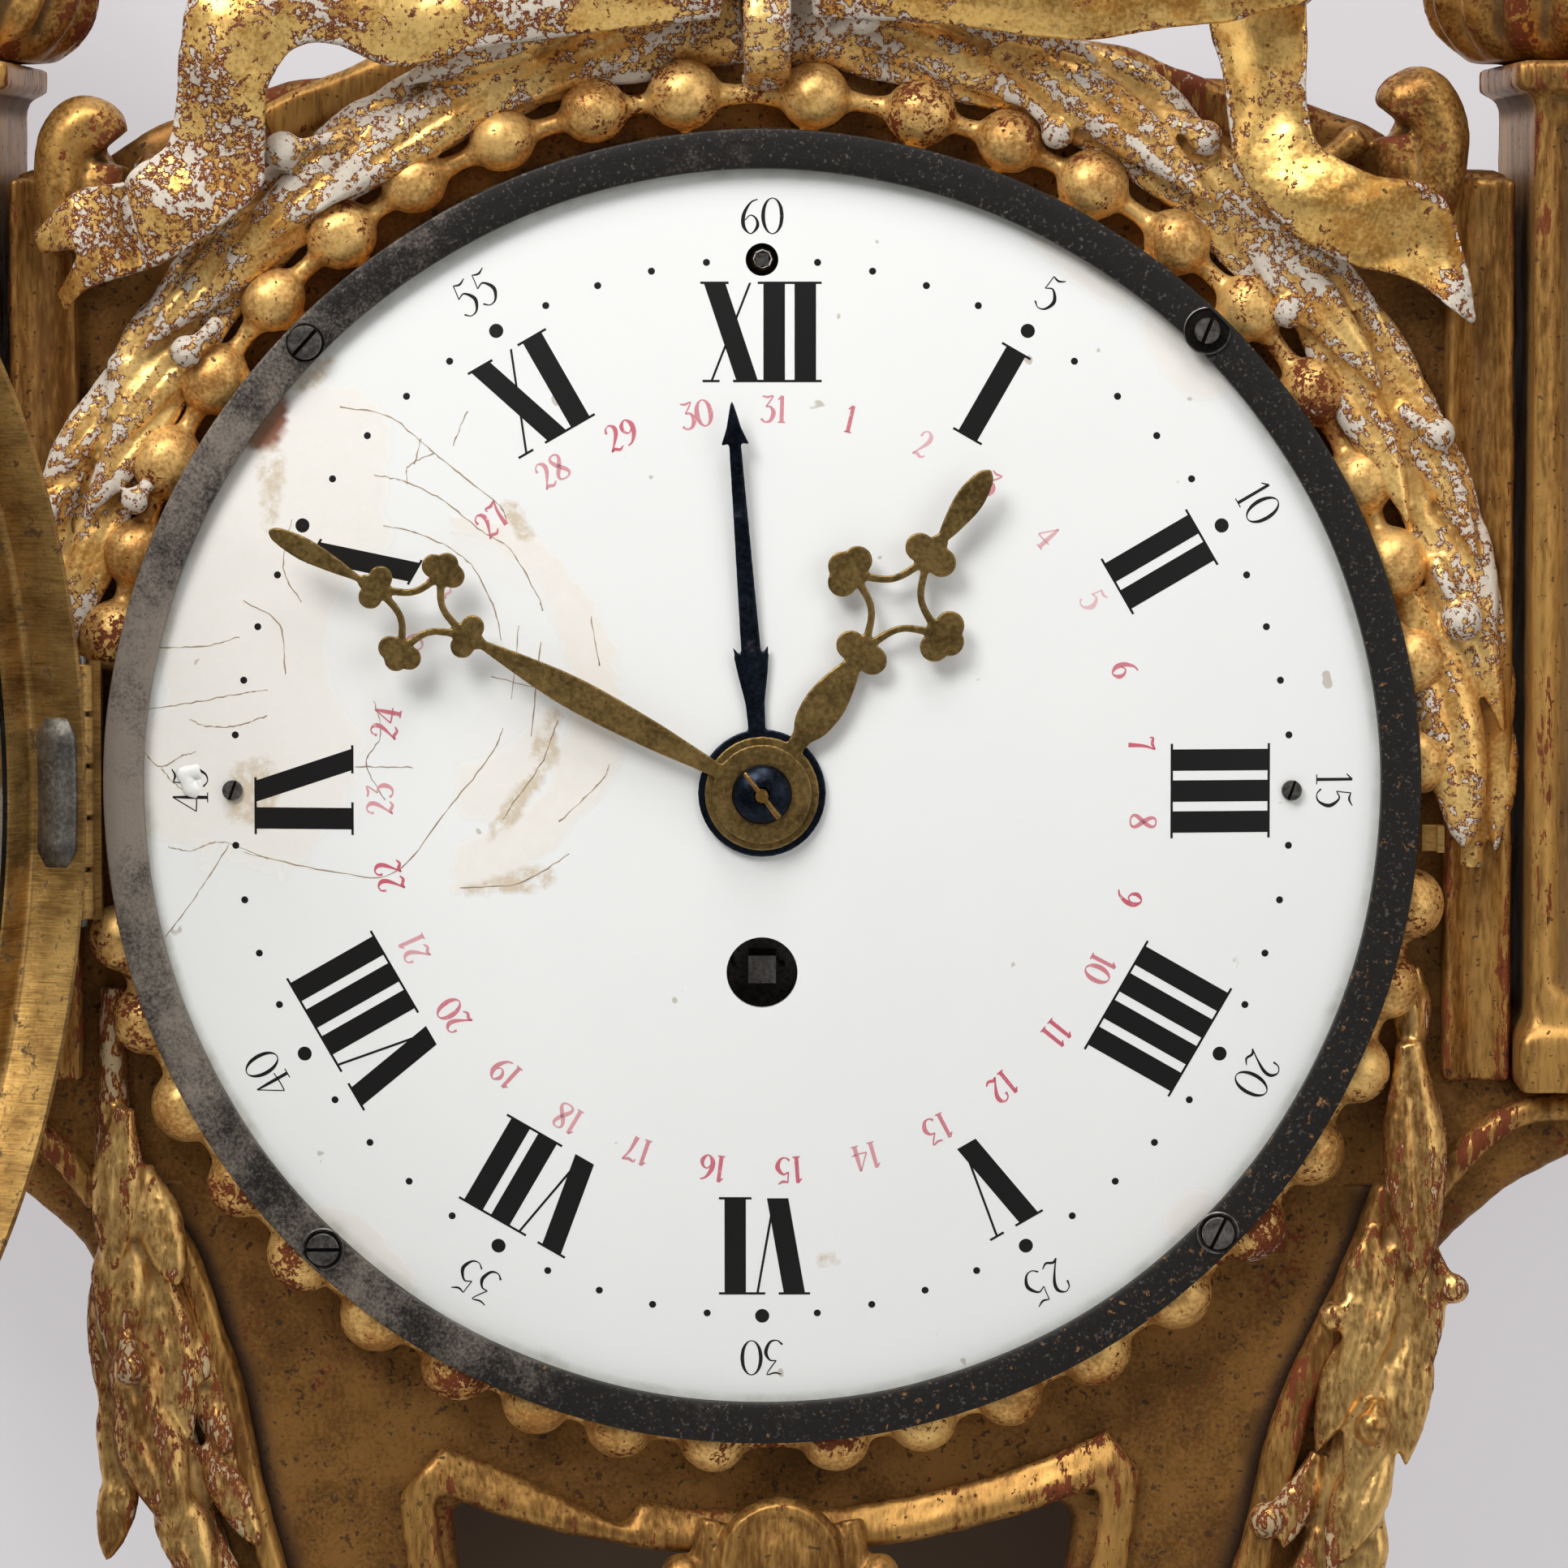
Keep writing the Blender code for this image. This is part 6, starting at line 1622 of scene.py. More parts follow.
@dataclass(frozen=True)
class Pierced:
    """The sizes of a pierced hand.

    Attributes:
        node: The CAD node that it replaces.
        body: The body that carries it.
        degrees: Its clockwise angle.
        length: From the boss's middle to the tip.
        back: How far its back stands forward of the wall.
        boss: The radius of its disc.
        hole: The radius of the disc's hole.
        blade: Where the blade is widest, its half width there, and where it ends.
        diamond: The diamond's middle and its half sizes along and across.
        leaf: Where the tip's leaf starts and its half width.
        lobes: A factor on the trefoils.
    """

    node: str
    body: Body
    degrees: float
    length: float
    back: float
    boss: float
    hole: float
    blade: Point
    diamond: Point
    leaf: Spot
    lobes: float


@dataclass
class Hands(Assembly):
    """The pierced hour and minute hands, the date hand, the washer and the pin.

    Attributes:
        thick: The hands' thickness.
        pierced: The sizes of both pierced hands.
        date_angle: The date hand's clockwise angle.
        date_back: How far its back stands forward of the wall.
        pin_angle: The taper pin's angle.
        washer_back: How far the washer's back stands forward of the wall.
        washer_rise: The washer's height.
        cut: How a hand is softened.
    """

    thick: float = 0.9
    pierced: tuple[Pierced, ...] = (
        Pierced("minute_hand", Body.CENTRE, -61.8, 98.4, 90.3, 8.8, 2.35, (36.8, 2.9, 56.5), (68.0, 8.4, 7.4),
                (80.5, 2.0), 0.9),
        Pierced("hour_hand", Body.HOUR, 35.2, 69.8, 88.9, 10.1, 3.5, (19.5, 3.6, 30.0), (41.0, 9.6, 9.0),
                (53.5, 2.5), 1.1))
    date_angle: float = -4.4
    date_back: float = 87.5
    pin_angle: float = -52.6
    washer_back: float = 91.5
    washer_rise: float = 2.2
    cut: Cut = Cut(0.24, 3, 0.02, 3.0, 8)

    ARROW = ((-0.4, 62.0), (-2.5, 61.6), (-1.3, 64.6), (-0.35, 68.6), (0, 69.4), (0.35, 68.6), (1.3, 64.6),
             (2.5, 61.6), (0.4, 62.0))
    BARB = ((1.0, 22.0), (2.6, 22.6), (3.2, 26.2), (1.6, 24.0))
    PIN = ((-5, 0.3), (-4.8, 0.42), (-2, 0.46), (2, 0.53), (4.8, 0.57), (5, 0.45))

    def build(self) -> None:
        """Make all pieces at the boss."""
        for hand in self.pierced:
            self._pierced(hand)
        self._date()
        self._boss()

    def _bar(self, line: Sequence[Point], place: Callable[[float, float], Spot], back: float) -> Shape:
        """A flat bar in a hand's plane.

        Args:
            line: Its (across, along, half width) places.
            place: Where the hand lies.
            back: How far its back stands forward of the wall.

        Returns:
            The bar.
        """
        rings = []
        for (u, v, half), (nu, nv) in zip(line, flanks(line)):
            left, right = place(u + nu * half, v + nv * half), place(u - nu * half, v - nv * half)
            rings.append([(x, f, z) for (x, z), f in (
                (left, back), (right, back), (right, back + self.thick), (left, back + self.thick))])
        return Shape.loft(rings)

    def _disc(self, spot: Spot, radius: float, back: float, hole: float = 0.02) -> Shape:
        """A flat disc in a hand's plane."""
        front = back + self.thick
        profile = [(hole, back), (radius, back), (radius, front), (hole, front)]
        return Shape.turned(profile, 40, (spot[0], 0, spot[1]))

    def _pierced(self, hand: Pierced) -> None:
        """A hand with a blade, four trefoils round an open diamond, and a leaf-shaped tip.

        Args:
            hand: Its sizes.
        """
        place, back, boss = laid(hand.degrees), hand.back, hand.boss
        shape = self._disc((0, 0), boss, back, hand.hole)
        (widest, half, end), (middle, along, across), (start, wide) = hand.blade, hand.diamond, hand.leaf
        blade = [(0, boss - 0.6, half * 0.45), (0, boss + 2.0, half * 0.5),
                 (0, (boss + widest) / 2, half * 0.86),
                 (0, widest, half), (0, (widest + end) / 2, half * 0.72), (0, end, 0.75),
                 (0, middle - along, 0.8)]
        rest = hand.length - start
        tip = [(0, middle + along, 0.7), (0, start, 0.6), (0, start + rest * 0.3, wide * 0.72),
               (0, start + rest * 0.62, wide), (0, hand.length - 1.6, wide * 0.66), (0, hand.length, 0.3)]
        for line in (blade, tip):
            shape.add(self._bar(smooth_line(line, 6), place, back))
        corners = ((0, along, 90), (across, 0, 0), (0, -along, 270), (-across, 0, 180))
        reach, lobe = 2.3 * hand.lobes, 2.35 * hand.lobes
        for u, v, facing in corners:
            shape.add(self._disc(place(u, middle + v), lobe * 0.9, back))
            for spread in (-68, 0, 68):
                turn = math.radians(facing + spread)
                small, far = (0.62, 1.35) if spread == 0 and u == 0 else (1.0, 1.0)
                spot = place(u + reach * far * math.cos(turn), middle + v + reach * far * math.sin(turn))
                shape.add(self._disc(spot, lobe * small, back))
        for (u0, v0, _), (u1, v1, _) in zip(corners, corners[1:] + corners[:1]):
            bend = ((u0 + u1) * 0.34, middle + (v0 + v1) * 0.34, 0.62)
            line = smooth_line([(u0, middle + v0, 0.75), bend, (u1, middle + v1, 0.75)], 10)
            shape.add(self._bar(line, place, back))
        self.dress(shape.build(hand.node + "_pierced"), self.looks.brass, Slot.BRASS, [hand.node],
                   body=hand.body,
                   cut=self.cut)

    def _date(self) -> None:
        """The blued date hand: a long arrow with a barbed tail."""
        place, back = laid(self.date_angle), self.date_back
        stem = [(0, 10.5, 1.5), (0, 16, 1.7), (0, 21, 2.6), (0, 24.4, 3.1), (0, 24.9, 1.75), (0, 40, 1.45),
                (0, 62.4, 1.05)]
        shape = self._disc((0, 0), 11.3, back, 4.6).add(self._bar(stem, place, back))
        barbs = [[(side * u, v) for u, v in self.BARB] for side in (-1, 1)]
        for outline in (self.ARROW, *barbs):
            shape.add(Shape.slab([place(u, v) for u, v in outline], back, back + self.thick))
        self.dress(shape.build("date_hand_arrow"), self.looks.blued, Slot.STEEL, ["date_hand"],
                   body=Body.DATE,
                   cut=replace(self.cut, passes=2))

    def _boss(self) -> None:
        """The domed washer and the taper pin through the arbor."""
        base = self.washer_back
        dome = [(1.5, base), (5.3, base), (5.25, base + 0.35), (4.6, base + 1.05), (3.4, base + 1.75),
                (2.2, base + 2.15), (1.5, base + self.washer_rise)]
        self.dress(Shape.turned(dome, 64).build("domed_washer"), self.looks.blued, Slot.STEEL,
                   ["hand_washer"], 50,
                   Body.CENTRE)
        turn = math.radians(self.pin_angle)
        level = base + self.washer_rise + GAP + 0.5
        path = [(u * math.cos(turn), level, u * math.sin(turn)) for u, _ in self.PIN]
        pin = Shape.swept(path, [(half, half) for _, half in self.PIN], 16)
        self.dress(pin.build("taper_pin"), self.looks.bezel, Slot.BRASS, ["hand_pin"], 50, Body.CENTRE)


@dataclass
class Beads(Assembly):
    """The string of carved beads round the ring, on its collar.

    Attributes:
        radius: A bead's radius.
        level: How far the beads' middles stand forward of the wall.
        widest: The largest angle between two beads that a neck still joins.
        collar: The section of the collar behind them.
        cut: How they are carved.
    """

    radius: float = 6.0
    level: float = CASE_FRONT + GAP + 5.8
    widest: float = 12.0
    collar: tuple[Spot, ...] = ((111.0, CASE_FRONT + GAP), (111.0, 78.3), (115.4, 78.3), (115.8, 77.0),
                                (116.4, 72.0), (117.6, CASE_FRONT + GAP))
    cut: Cut = Cut(0.7, 2, 0.14, 5.0, 14)

    ANGLES = (4.3, 13.2, 20.9, 28.7, 37.2, 45.4, 54.2, 62.8, 70.3, 79.0, 87.6, 100.2, 107.6, 115.4, 123.6,
        132.0, 140.8, 149.5, 157.9, 165.8, 173.6, 184.3, 192.6, 200.2, 207.8, 216.1, 224.4, 232.7, 241.0,
        249.3, 256.8, 283.2, 290.6, 298.8, 306.8, 315.0, 322.8, 330.2, 338.2, 346.1, 353.6)

    @staticmethod
    def circle(degrees: float) -> float:
        """How far out the string lies at a clockwise angle: it was carved higher at the top."""
        rise = 6.0 * max(0.0, math.cos(math.radians(degrees)))**1.2
        return 117.5 + rise + 1.6 * math.exp(-((degrees % 360 - 322) / 24)**2)

    def build(self) -> None:
        """Set the beads, thread them and melt them into the collar."""
        chance = random.Random(3)
        seats, collar = [], Shape.turned(self.collar, 220)
        for degrees in self.ANGLES:
            x, z = clockwise(self.circle(degrees) + chance.uniform(-0.3, 0.3), degrees)
            size = self.radius * chance.uniform(0.95, 1.07)
            out = (0.25 * x / 120, 1.0, 0.25 * z / 120)
            seats.append(Seat((x, self.level, z), (z, 0, -x), out, (size * 1.05, size, size * 0.98)))
        for low, high in zip(self.ANGLES, self.ANGLES[1:] + (self.ANGLES[0] + 360,)):
            if high - low <= self.widest:
                collar.add(self._neck(low, high))
        obj = self.studio.scatter.spread("bead_string", Shape.ball((0, 0, 0), 1.0, 22), seats,
                                         self.looks.beads)
        self.studio.merge(obj, collar.build("collar"))
        self.dress(obj, self.looks.beads, Slot.GILT, ["bead_ring"], cut=self.cut)

    def _neck(self, low: float, high: float) -> Shape:
        """The neck between two beads.

        Args:
            low: The first bead's clockwise angle.
            high: The second bead's.

        Returns:
            The neck, thin in its middle.
        """
        path, sizes = [], []
        for k in range(15):
            degrees = low + (high - low) * k / 14
            x, z = clockwise(self.circle(degrees) - 0.4, degrees)
            path.append((x, self.level - 0.6, z))
            thick = 1.75 + 3.1 * abs(k / 7 - 1)**2.0
            sizes.append((thick, thick))
        return Shape.swept(path, sizes, 14)


@dataclass(frozen=True)
class Leaf:
    """A carved leaf that rises from its foot to its tip.

    Attributes:
        foot: The place of its foot, in millimetres right of and above the dial's centre.
        tip: The place of its tip.
        half: Its half width.
        low: How far its foot stands forward of the case.
        high: How far its tip does.
        blunt: 0 for a pointed tip, 1 for a round one.
        round_dial: True where it bends with the dial's rim.
    """

    foot: Spot
    tip: Spot
    half: float
    low: float
    high: float
    blunt: float = 0.0
    round_dial: bool = False

    def _middle(self, share: float) -> Spot:
        """The leaf's middle line.

        Args:
            share: A share of its length.

        Returns:
            The (x, z) place there.
        """
        if not self.round_dial:
            return tuple(a + (b - a) * share for a, b in zip(self.foot, self.tip))
        (x0, z0), (x1, z1) = self.foot, self.tip
        start, end = math.atan2(x0, z0), math.atan2(x1, z1)
        reach, far = math.hypot(x0, z0), math.hypot(x1, z1)
        return clockwise(reach + (far - reach) * share, math.degrees(start + (end - start) * share))

    def _wide(self, share: float) -> float:
        """The leaf's width.

        Args:
            share: A share of its length.

        Returns:
            The width there, as a share of its greatest width.
        """
        if share < 0.42:
            rise = share / 0.42
            return 0.45 + 0.55 * rise * rise * (3 - 2 * rise)
        fall = (share - 0.42) / 0.58
        pointed, rounded = (1 - fall) * (1 + 0.95 * fall), math.sqrt(max(0.0, 1 - fall * fall))
        return max(0.05, pointed + (rounded - pointed) * self.blunt)

    def shape(self) -> Shape:
        """The leaf as a solid with a furrow along its middle.

        Returns:
            The solid.
        """
        count = 17
        line = [self._middle(k / (count - 1)) for k in range(count)]
        rings = []
        for k, ((x, z), (nx, nz)) in enumerate(zip(line, flanks(line))):
            share = k / (count - 1)
            half = self.half * self._wide(share)
            level = CASE_FRONT + GAP + self.low + (self.high - self.low) * share**1.3
            crown = 0.5 * half + 0.3
            ring = []
            for j in range(13):
                v = j / 6 - 1
                furrow = 0.42 * math.exp(-(v / 0.17)**2) * math.sin(math.pi * share)**0.7
                top = level + crown * ((1 - v * v)**0.62 - furrow)
                ring.append((x + nx * half * v, top, z + nz * half * v))
            ring += [(x + nx * half * v, level - 1.9, z + nz * half * v) for v in (0.8, 0.3, -0.3, -0.8)]
            rings.append(ring)
        return Shape.loft(rings)


@dataclass(frozen=True)
class Bough:
    """A laurel bough: its leaves, its berries and the wood that they are carved from.

    Attributes:
        node: The CAD node that it replaces.
        leaves: Foot x and y, tip x and y in pixels, then half width, foot level, tip level and bluntness.
        berries: Place in pixels, radius, level, and the place in pixels where the stem starts.
        core: The middle of the wood behind, as (x, z, half width, height).
        round_dial: True where the leaves bend with the dial's rim.
        more: Leaves where the photograph shows none.
    """

    node: str
    leaves: tuple[tuple[float, ...], ...]
    berries: tuple[tuple[float, ...], ...]
    core: tuple[tuple[float, ...], ...]
    round_dial: bool
    more: tuple[Leaf, ...] = ()

    def solids(self) -> Shape:
        """Leaves, stems and the wood behind them.

        Returns:
            All of them in one shape.
        """
        base = CASE_FRONT + GAP
        shape = Shape.swept([(x, base + height * 0.3, z) for x, z, _, height in self.core],
                            [(half, height * 0.7) for _, _, half, height in self.core], 14)
        leaves = [Leaf(from_photo(fx, fy), from_photo(tx, ty), half, low, high, sum(blunt), self.round_dial)
                  for fx, fy, tx, ty, half, low, high, *blunt in self.leaves]
        for leaf in (*leaves, *self.more):
            shape.add(leaf.shape())
        for px, py, _, level, sx, sy in self.berries:
            (x, z), (stem_x, stem_z) = from_photo(px, py), from_photo(sx, sy)
            path = [(stem_x, base + level - 2.0, stem_z),
                    ((x + stem_x) / 2, base + level + 0.4, (z + stem_z) / 2), (x, base + level, z)]
            sizes = [(1.7 - 0.6 * k / 10, 1.6 - 0.5 * k / 10) for k in range(11)]
            shape.add(Shape.swept(smooth_line(path, 5), sizes, 8))
        return shape

    def fruit(self) -> list[Seat]:
        """The places of the berries."""
        places = ((from_photo(px, py), radius, level) for px, py, radius, level, *_ in self.berries)
        return [Seat((x, CASE_FRONT + GAP + level, z), size=(radius,) * 3)
                for (x, z), radius, level in places]


@dataclass
class Laurel(Assembly):
    """The two garlands round the dial and the two drops down the trunk.

    Attributes:
        sweep: How far round the dial a garland reaches, in degrees.
        photo_edge: The height of the photograph's lower edge.
        cut: How the leaves are carved.
    """

    sweep: float = 95.0
    photo_edge: float = -128.0
    cut: Cut = Cut(0.62, 2, 0.14, 5.0, 22)

    GARLANDS = {Side.RIGHT: (((975, 8, 1290, 144, 4.8, 5, 9), (1090, -22, 1352, 78, 5.2, 6, 9.5),
        (1222, 56, 1492, 253, 5.6, 7, 13), (1326, 62, 1502, 190, 4.4, 5, 8),
        (1430, 172, 1642, 332, 5.0, 6, 10), (1450, 236, 1582, 388, 3.6, 4, 7.5),
        (1500, 262, 1704, 484, 5.0, 6.5, 11), (1592, 372, 1735, 645, 5.0, 5, 10.5),
        (1664, 414, 1822, 690, 4.4, 5, 8.5), (1718, 590, 1856, 905, 4.6, 5, 8),
        (1736, 730, 1808, 1050, 6.4, 6, 8, 0.85)), ((1302, 166, 3.0, 8, 1250, 112),
        (1484, 172, 3.3, 9.5, 1428, 148), (1588, 384, 3.2, 9, 1545, 312), (1771, 536, 3.3, 8.5, 1722, 504),
        (1802, 765, 3.9, 10.5, 1768, 690), (1061, 22, 3.8, 12.5, 1025, 40))), Side.LEFT:
        (((900, 8, 596, 148, 4.8, 5, 9), (805, -18, 490, 112, 5.4, 6.5, 10.5),
        (664, 84, 390, 264, 5.6, 7, 12), (560, 116, 262, 354, 5.4, 6.5, 11.5),
        (426, 224, 176, 434, 5.6, 6, 11.5), (330, 290, 122, 520, 4.6, 5, 8.5),
        (302, 362, 128, 562, 4.8, 5, 10), (238, 458, 102, 642, 4.6, 5, 9.5),
        (178, 450, 44, 616, 4.2, 4.5, 8), (162, 590, 70, 824, 4.6, 4.5, 7.5),
        (112, 656, 28, 842, 4.0, 4, 6.5), (106, 766, 50, 1044, 5.4, 4, 6, 0.8)),
        ((351, 188, 3.6, 11.5, 432, 168), (179, 209, 2.4, 3.5, 232, 232), (148, 453, 2.6, 6.5, 202, 428),
        (231, 434, 3.0, 11.5, 272, 398), (55, 629, 2.9, 8, 84, 598), (524, 179, 3.4, 8.5, 566, 158),
        (166, 618, 2.6, 9.5, 190, 588)))}
    DROPS = {Side.RIGHT: (((1748, 1196, 1744, 1312, 3.8, 3, 4.5, 0.9),
        (1742, 1290, 1757, 1592, 6.0, 6.5, 9.5, 0.25), (1702, 1515, 1666, 1668, 3.6, 5.5, 8, 0.5),
        (1726, 1550, 1652, 1775, 4.6, 5.5, 9), (1768, 1525, 1770, 1704, 3.4, 4, 6.5),
        (1690, 1636, 1628, 1804, 4.2, 5, 8), (1754, 1632, 1740, 1820, 4.2, 4.5, 7.5),
        (1716, 1694, 1668, 1856, 4.6, 6, 9.5), (1718, 1782, 1642, 1955, 5.4, 6, 9.5),
        (1632, 1806, 1586, 1928, 3.2, 4.5, 7), (1704, 1864, 1684, 2015, 3.8, 4, 7)),
        ((1799, 1599, 2.8, 6, 1770, 1556), (1649, 1632, 2.9, 7.5, 1692, 1598),
        (1697, 1767, 3.3, 11, 1702, 1738), (1568, 1890, 3.5, 6, 1602, 1848))), Side.LEFT:
        (((146, 1372, 130, 1590, 4.9, 7, 9), (168, 1446, 214, 1592, 4.6, 6, 9.5, 0.8),
        (146, 1495, 136, 1700, 5.6, 5, 8.5), (124, 1535, 114, 1748, 3.4, 3, 5),
        (180, 1556, 230, 1784, 4.6, 4.5, 7.5), (152, 1632, 174, 1810, 5.4, 6, 9),
        (150, 1694, 214, 1912, 6.6, 6, 9.5), (128, 1694, 134, 1905, 3.4, 3, 5.5),
        (242, 1796, 314, 1922, 3.6, 5, 8, 0.6), (190, 1824, 254, 1995, 5.2, 6, 9),
        (146, 1806, 122, 1940, 3.8, 4, 7, 0.5), (212, 1590, 288, 1866, 4.2, 2.6, 4.4, 0.2),
        (234, 1660, 243, 1716, 2.0, 5, 6.6, 0.9), (258, 1744, 273, 1806, 2.3, 5, 6.8, 0.9)),
        ((154, 1693, 3.2, 10.8, 150, 1662),))}
    SPINE = ((116.0, -36), (116.5, -52), (116, -72), (113, -92), (109, -110), (104.5, -126), (98, -148),
             (89, -178), (80, -210), (72, -240))

    def build(self) -> None:
        """Carve all four boughs."""
        for side in Side:
            leaves, berries = self.GARLANDS[side]
            core = []
            for k in range(24):
                degrees = 1.5 + self.sweep * k / 23
                half = np.interp(degrees, (0, 45, 80, 97), (6.8, 6.4, 4.4, 2.8))
                x, z = clockwise(self._reach(degrees) - 0.6, degrees)
                core.append((side.value * x, z, half, 7.0 - 2.5 * k / 23))
            bough = Bough("garland_" + side.word, leaves, berries, tuple(core), True, self._between(side))
            self._carve(bough, self.looks.carved)
            leaves, berries = self.DROPS[side]
            core = [(x, z, float(np.interp(z, (-240, -200, -100, -50), (2.6, 4.6, 5.4, 2.6))), 6.5)
                    for x, z in self._spine(side)]
            bough = Bough("laurel_drop_" + side.word, leaves, berries, tuple(core), False, self._lower(side))
            self._carve(bough, self.looks.drops)

    @staticmethod
    def _reach(degrees: float) -> float:
        """How far out the middle of a garland lies at an angle from the top."""
        return float(np.interp(degrees, (0, 20, 45, 60, 80, 97), (135.8, 135.0, 133.4, 132.0, 129.4, 127.8)))

    def _between(self, side: Side) -> tuple[Leaf, ...]:
        """Low leaves that fill a garland between the tall ones.

        Args:
            side: The garland's side.

        Returns:
            The leaves.
        """
        chance = random.Random(40 + side.value)
        leaves = []
        for k in range(15):
            degrees = 4 + 5.6 * k
            for row, high in ((-5.2, 6.2), (4.6, 6.8)):
                ends = []
                for turn, drift in ((degrees, 0.0), (degrees + chance.uniform(10, 13), 1.4 * row / 5)):
                    x, z = clockwise(self._reach(turn) + (row + drift) * (1 - 0.4 * turn / 97), turn)
                    ends.append((side.value * x, z))
                top = min(high + chance.uniform(-0.6, 0.8), 7.0 if degrees < 66 else 5.2)
                leaves.append(Leaf(*ends, chance.uniform(2.7, 3.5), top - 2.4, top, 0.0, True))
        return tuple(leaves)

    def _spine(self, side: Side) -> list[Spot]:
        """The middle line of a drop."""
        return [(side.value * x, z) for x, z in smooth_line(self.SPINE, 4)]

    def _lower(self, side: Side) -> tuple[Leaf, ...]:
        """The leaves below the photograph's edge, in pairs that shrink downwards.

        Args:
            side: The drop's side.

        Returns:
            The leaves.
        """
        chance = random.Random(30 + side.value)
        spine = [spot for spot in self._spine(side) if spot[1] < self.photo_edge]
        leaves = []
        for k in range(0, len(spine) - 5, 2):
            (x, z), (far_x, far_z) = spine[k], spine[min(k + 6, len(spine) - 1)]
            size = 1 - 0.4 * k / len(spine)
            for sign in (-1, 1):
                foot = (x + sign * 2.5 * size, z + chance.uniform(-3, 3))
                tip = (far_x + sign * chance.uniform(3.5, 6.0) * size, far_z + chance.uniform(-5, 2))
                leaves.append(Leaf(foot, tip, 4.3 * size, 5.0, chance.uniform(7.0, 9.0)))
        return tuple(leaves)

    def _carve(self, bough: Bough, finish: Material) -> None:
        """Melt the bough's solids into one carving.

        Args:
            bough: The bough.
            finish: Its material.
        """
        obj = bough.solids().build(bough.node + "_carved")
        ball = Shape.ball((0, 0, 0), 1.0, 18)
        self.studio.merge(obj, self.studio.scatter.spread(bough.node + "_berries", ball, bough.fruit(),
                                                          finish))
        self.dress(obj, finish, Slot.GILT, [bough.node], cut=self.cut)


@dataclass
class Ribbons(Assembly):
    """The carved bow with its two falling ribbons, and the binding at the top of the garlands.

    Attributes:
        thick: The thickness of a ribbon.
        lip: How far its edges stand up.
        cut: How it is carved.
    """

    thick: float = 2.7
    lip: float = 0.5
    cut: Cut = Cut(0.62, 2, 0.22, 7.0, 26)

    RIGHT = (((1000, -46, 1000, 26, 84, 2.5), (1150, -40, 1150, 34, 86, 3.0),
        (1300, -48, 1310, 54, 89, 2.2), (1380, -44, 1385, 47, 88, 1.4), (1440, -40, 1440, 38, 89.5, 2.0),
        (1500, -40, 1500, 34, 90.5, 1.6), (1560, -36, 1560, 18, 91, 1.2), (1598, -30, 1600, 12, 89.5, 0.6),
        (1613, -16, 1613, 4, 87, 0.0)), ((1602, -14, 1484, -6, 84.5, -1.0),
        (1604, 24, 1486, 44, 85.5, -2.6), (1606, 52, 1497, 80, 86.5, -3.4),
        (1603, 101, 1506, 125, 86.5, -3.4), (1607, 140, 1511, 166, 86, -2.4),
        (1622, 182, 1524, 216, 85.5, 0.6), (1682, 216, 1588, 288, 86, 3.2), (1746, 228, 1664, 328, 83, 1.0),
        (1784, 262, 1734, 346, 81, -2.2), (1804, 330, 1784, 382, 82, -1.5),
        (1819, 396, 1812, 402, 79, 0.0)))
    LEFT = (((890, -46, 890, 26, 84, 2.5), (760, -40, 760, 42, 86, 3.0), (630, -46, 610, 62, 88.5, 2.5),
        (520, -36, 492, 86, 87, 2.0), (430, -44, 420, 60, 89, 2.2), (335, -36, 372, 62, 89.5, 2.6),
        (250, -8, 342, 100, 89.5, 3.2), (230, 62, 333, 140, 88.5, 3.4), (224, 122, 332, 190, 86, 1.2),
        (212, 180, 322, 240, 85.5, 0.8), (178, 206, 252, 300, 87, 3.4), (161, 222, 192, 332, 86.5, 0.6),
        (152, 226, 181, 335, 81.5, -0.6), (98, 240, 116, 356, 84.5, 2.8), (44, 292, 82, 386, 80, 0.0)),)
    NOTCH = ((20, 320), (106, 308), (40, 420), (10, 400))

    def build(self) -> None:
        """Carve both ribbons, the bow and the binding."""
        looks = self.looks
        for side, bands, finish in ((Side.LEFT, self.LEFT, looks.worn_ribbon),
                                    (Side.RIGHT, self.RIGHT, looks.ribbon)):
            shape = Shape()
            for rows in bands:
                shape.add(self._band(rows))
            obj = shape.build("ribbon_carved_" + side.word)
            if side is Side.LEFT:
                self._fork(obj)
            self.dress(obj, finish, Slot.GILT, ["ribbon_" + side.word], cut=self.cut)
        bow = self.studio.copy("bow_carved", "bow")
        self.dress(bow, looks.ribbon, Slot.GILT, ["bow"], cut=Cut(1.1, 6, 0.5, 9.0, 20))
        x, z = from_photo(935, 30)
        turns = [math.pi * k / 8 for k in range(9)]
        path = [(x + 1.5, 70 + 16 * math.sin(turn), z + 11 * math.cos(turn)) for turn in turns]
        binding = Shape.swept(path, [(4.5, 2.0)] * 9).build("garland_binding")
        self.dress(binding, looks.carved, Slot.GILT, cut=Cut(0.7, 3, 0.2, 5.0, 14))

    def _band(self, rows: Sequence[Sequence[float]]) -> Shape:
        """A thick band between two edges.

        Args:
            rows: Both edges in pixels, the distance from the wall and the bow between the edges.

        Returns:
            The band.
        """
        rings = []
        for ax, ay, bx, by, f, bow in smooth_line(rows, 7):
            (x0, z0), (x1, z1) = from_photo(ax, ay), from_photo(bx, by)
            ring = []
            for v in (j / 12 for j in range(13)):
                lip = self.lip * (math.exp(-(v / 0.07)**2) + math.exp(-((1 - v) / 0.07)**2))
                ring.append((x0 + (x1 - x0) * v, f + bow * math.sin(math.pi * v) + lip, z0 + (z1 - z0) * v))
            ring += [(x, level - self.thick, z) for x, level, z in reversed(ring)]
            rings.append(ring)
        return Shape.loft(rings)

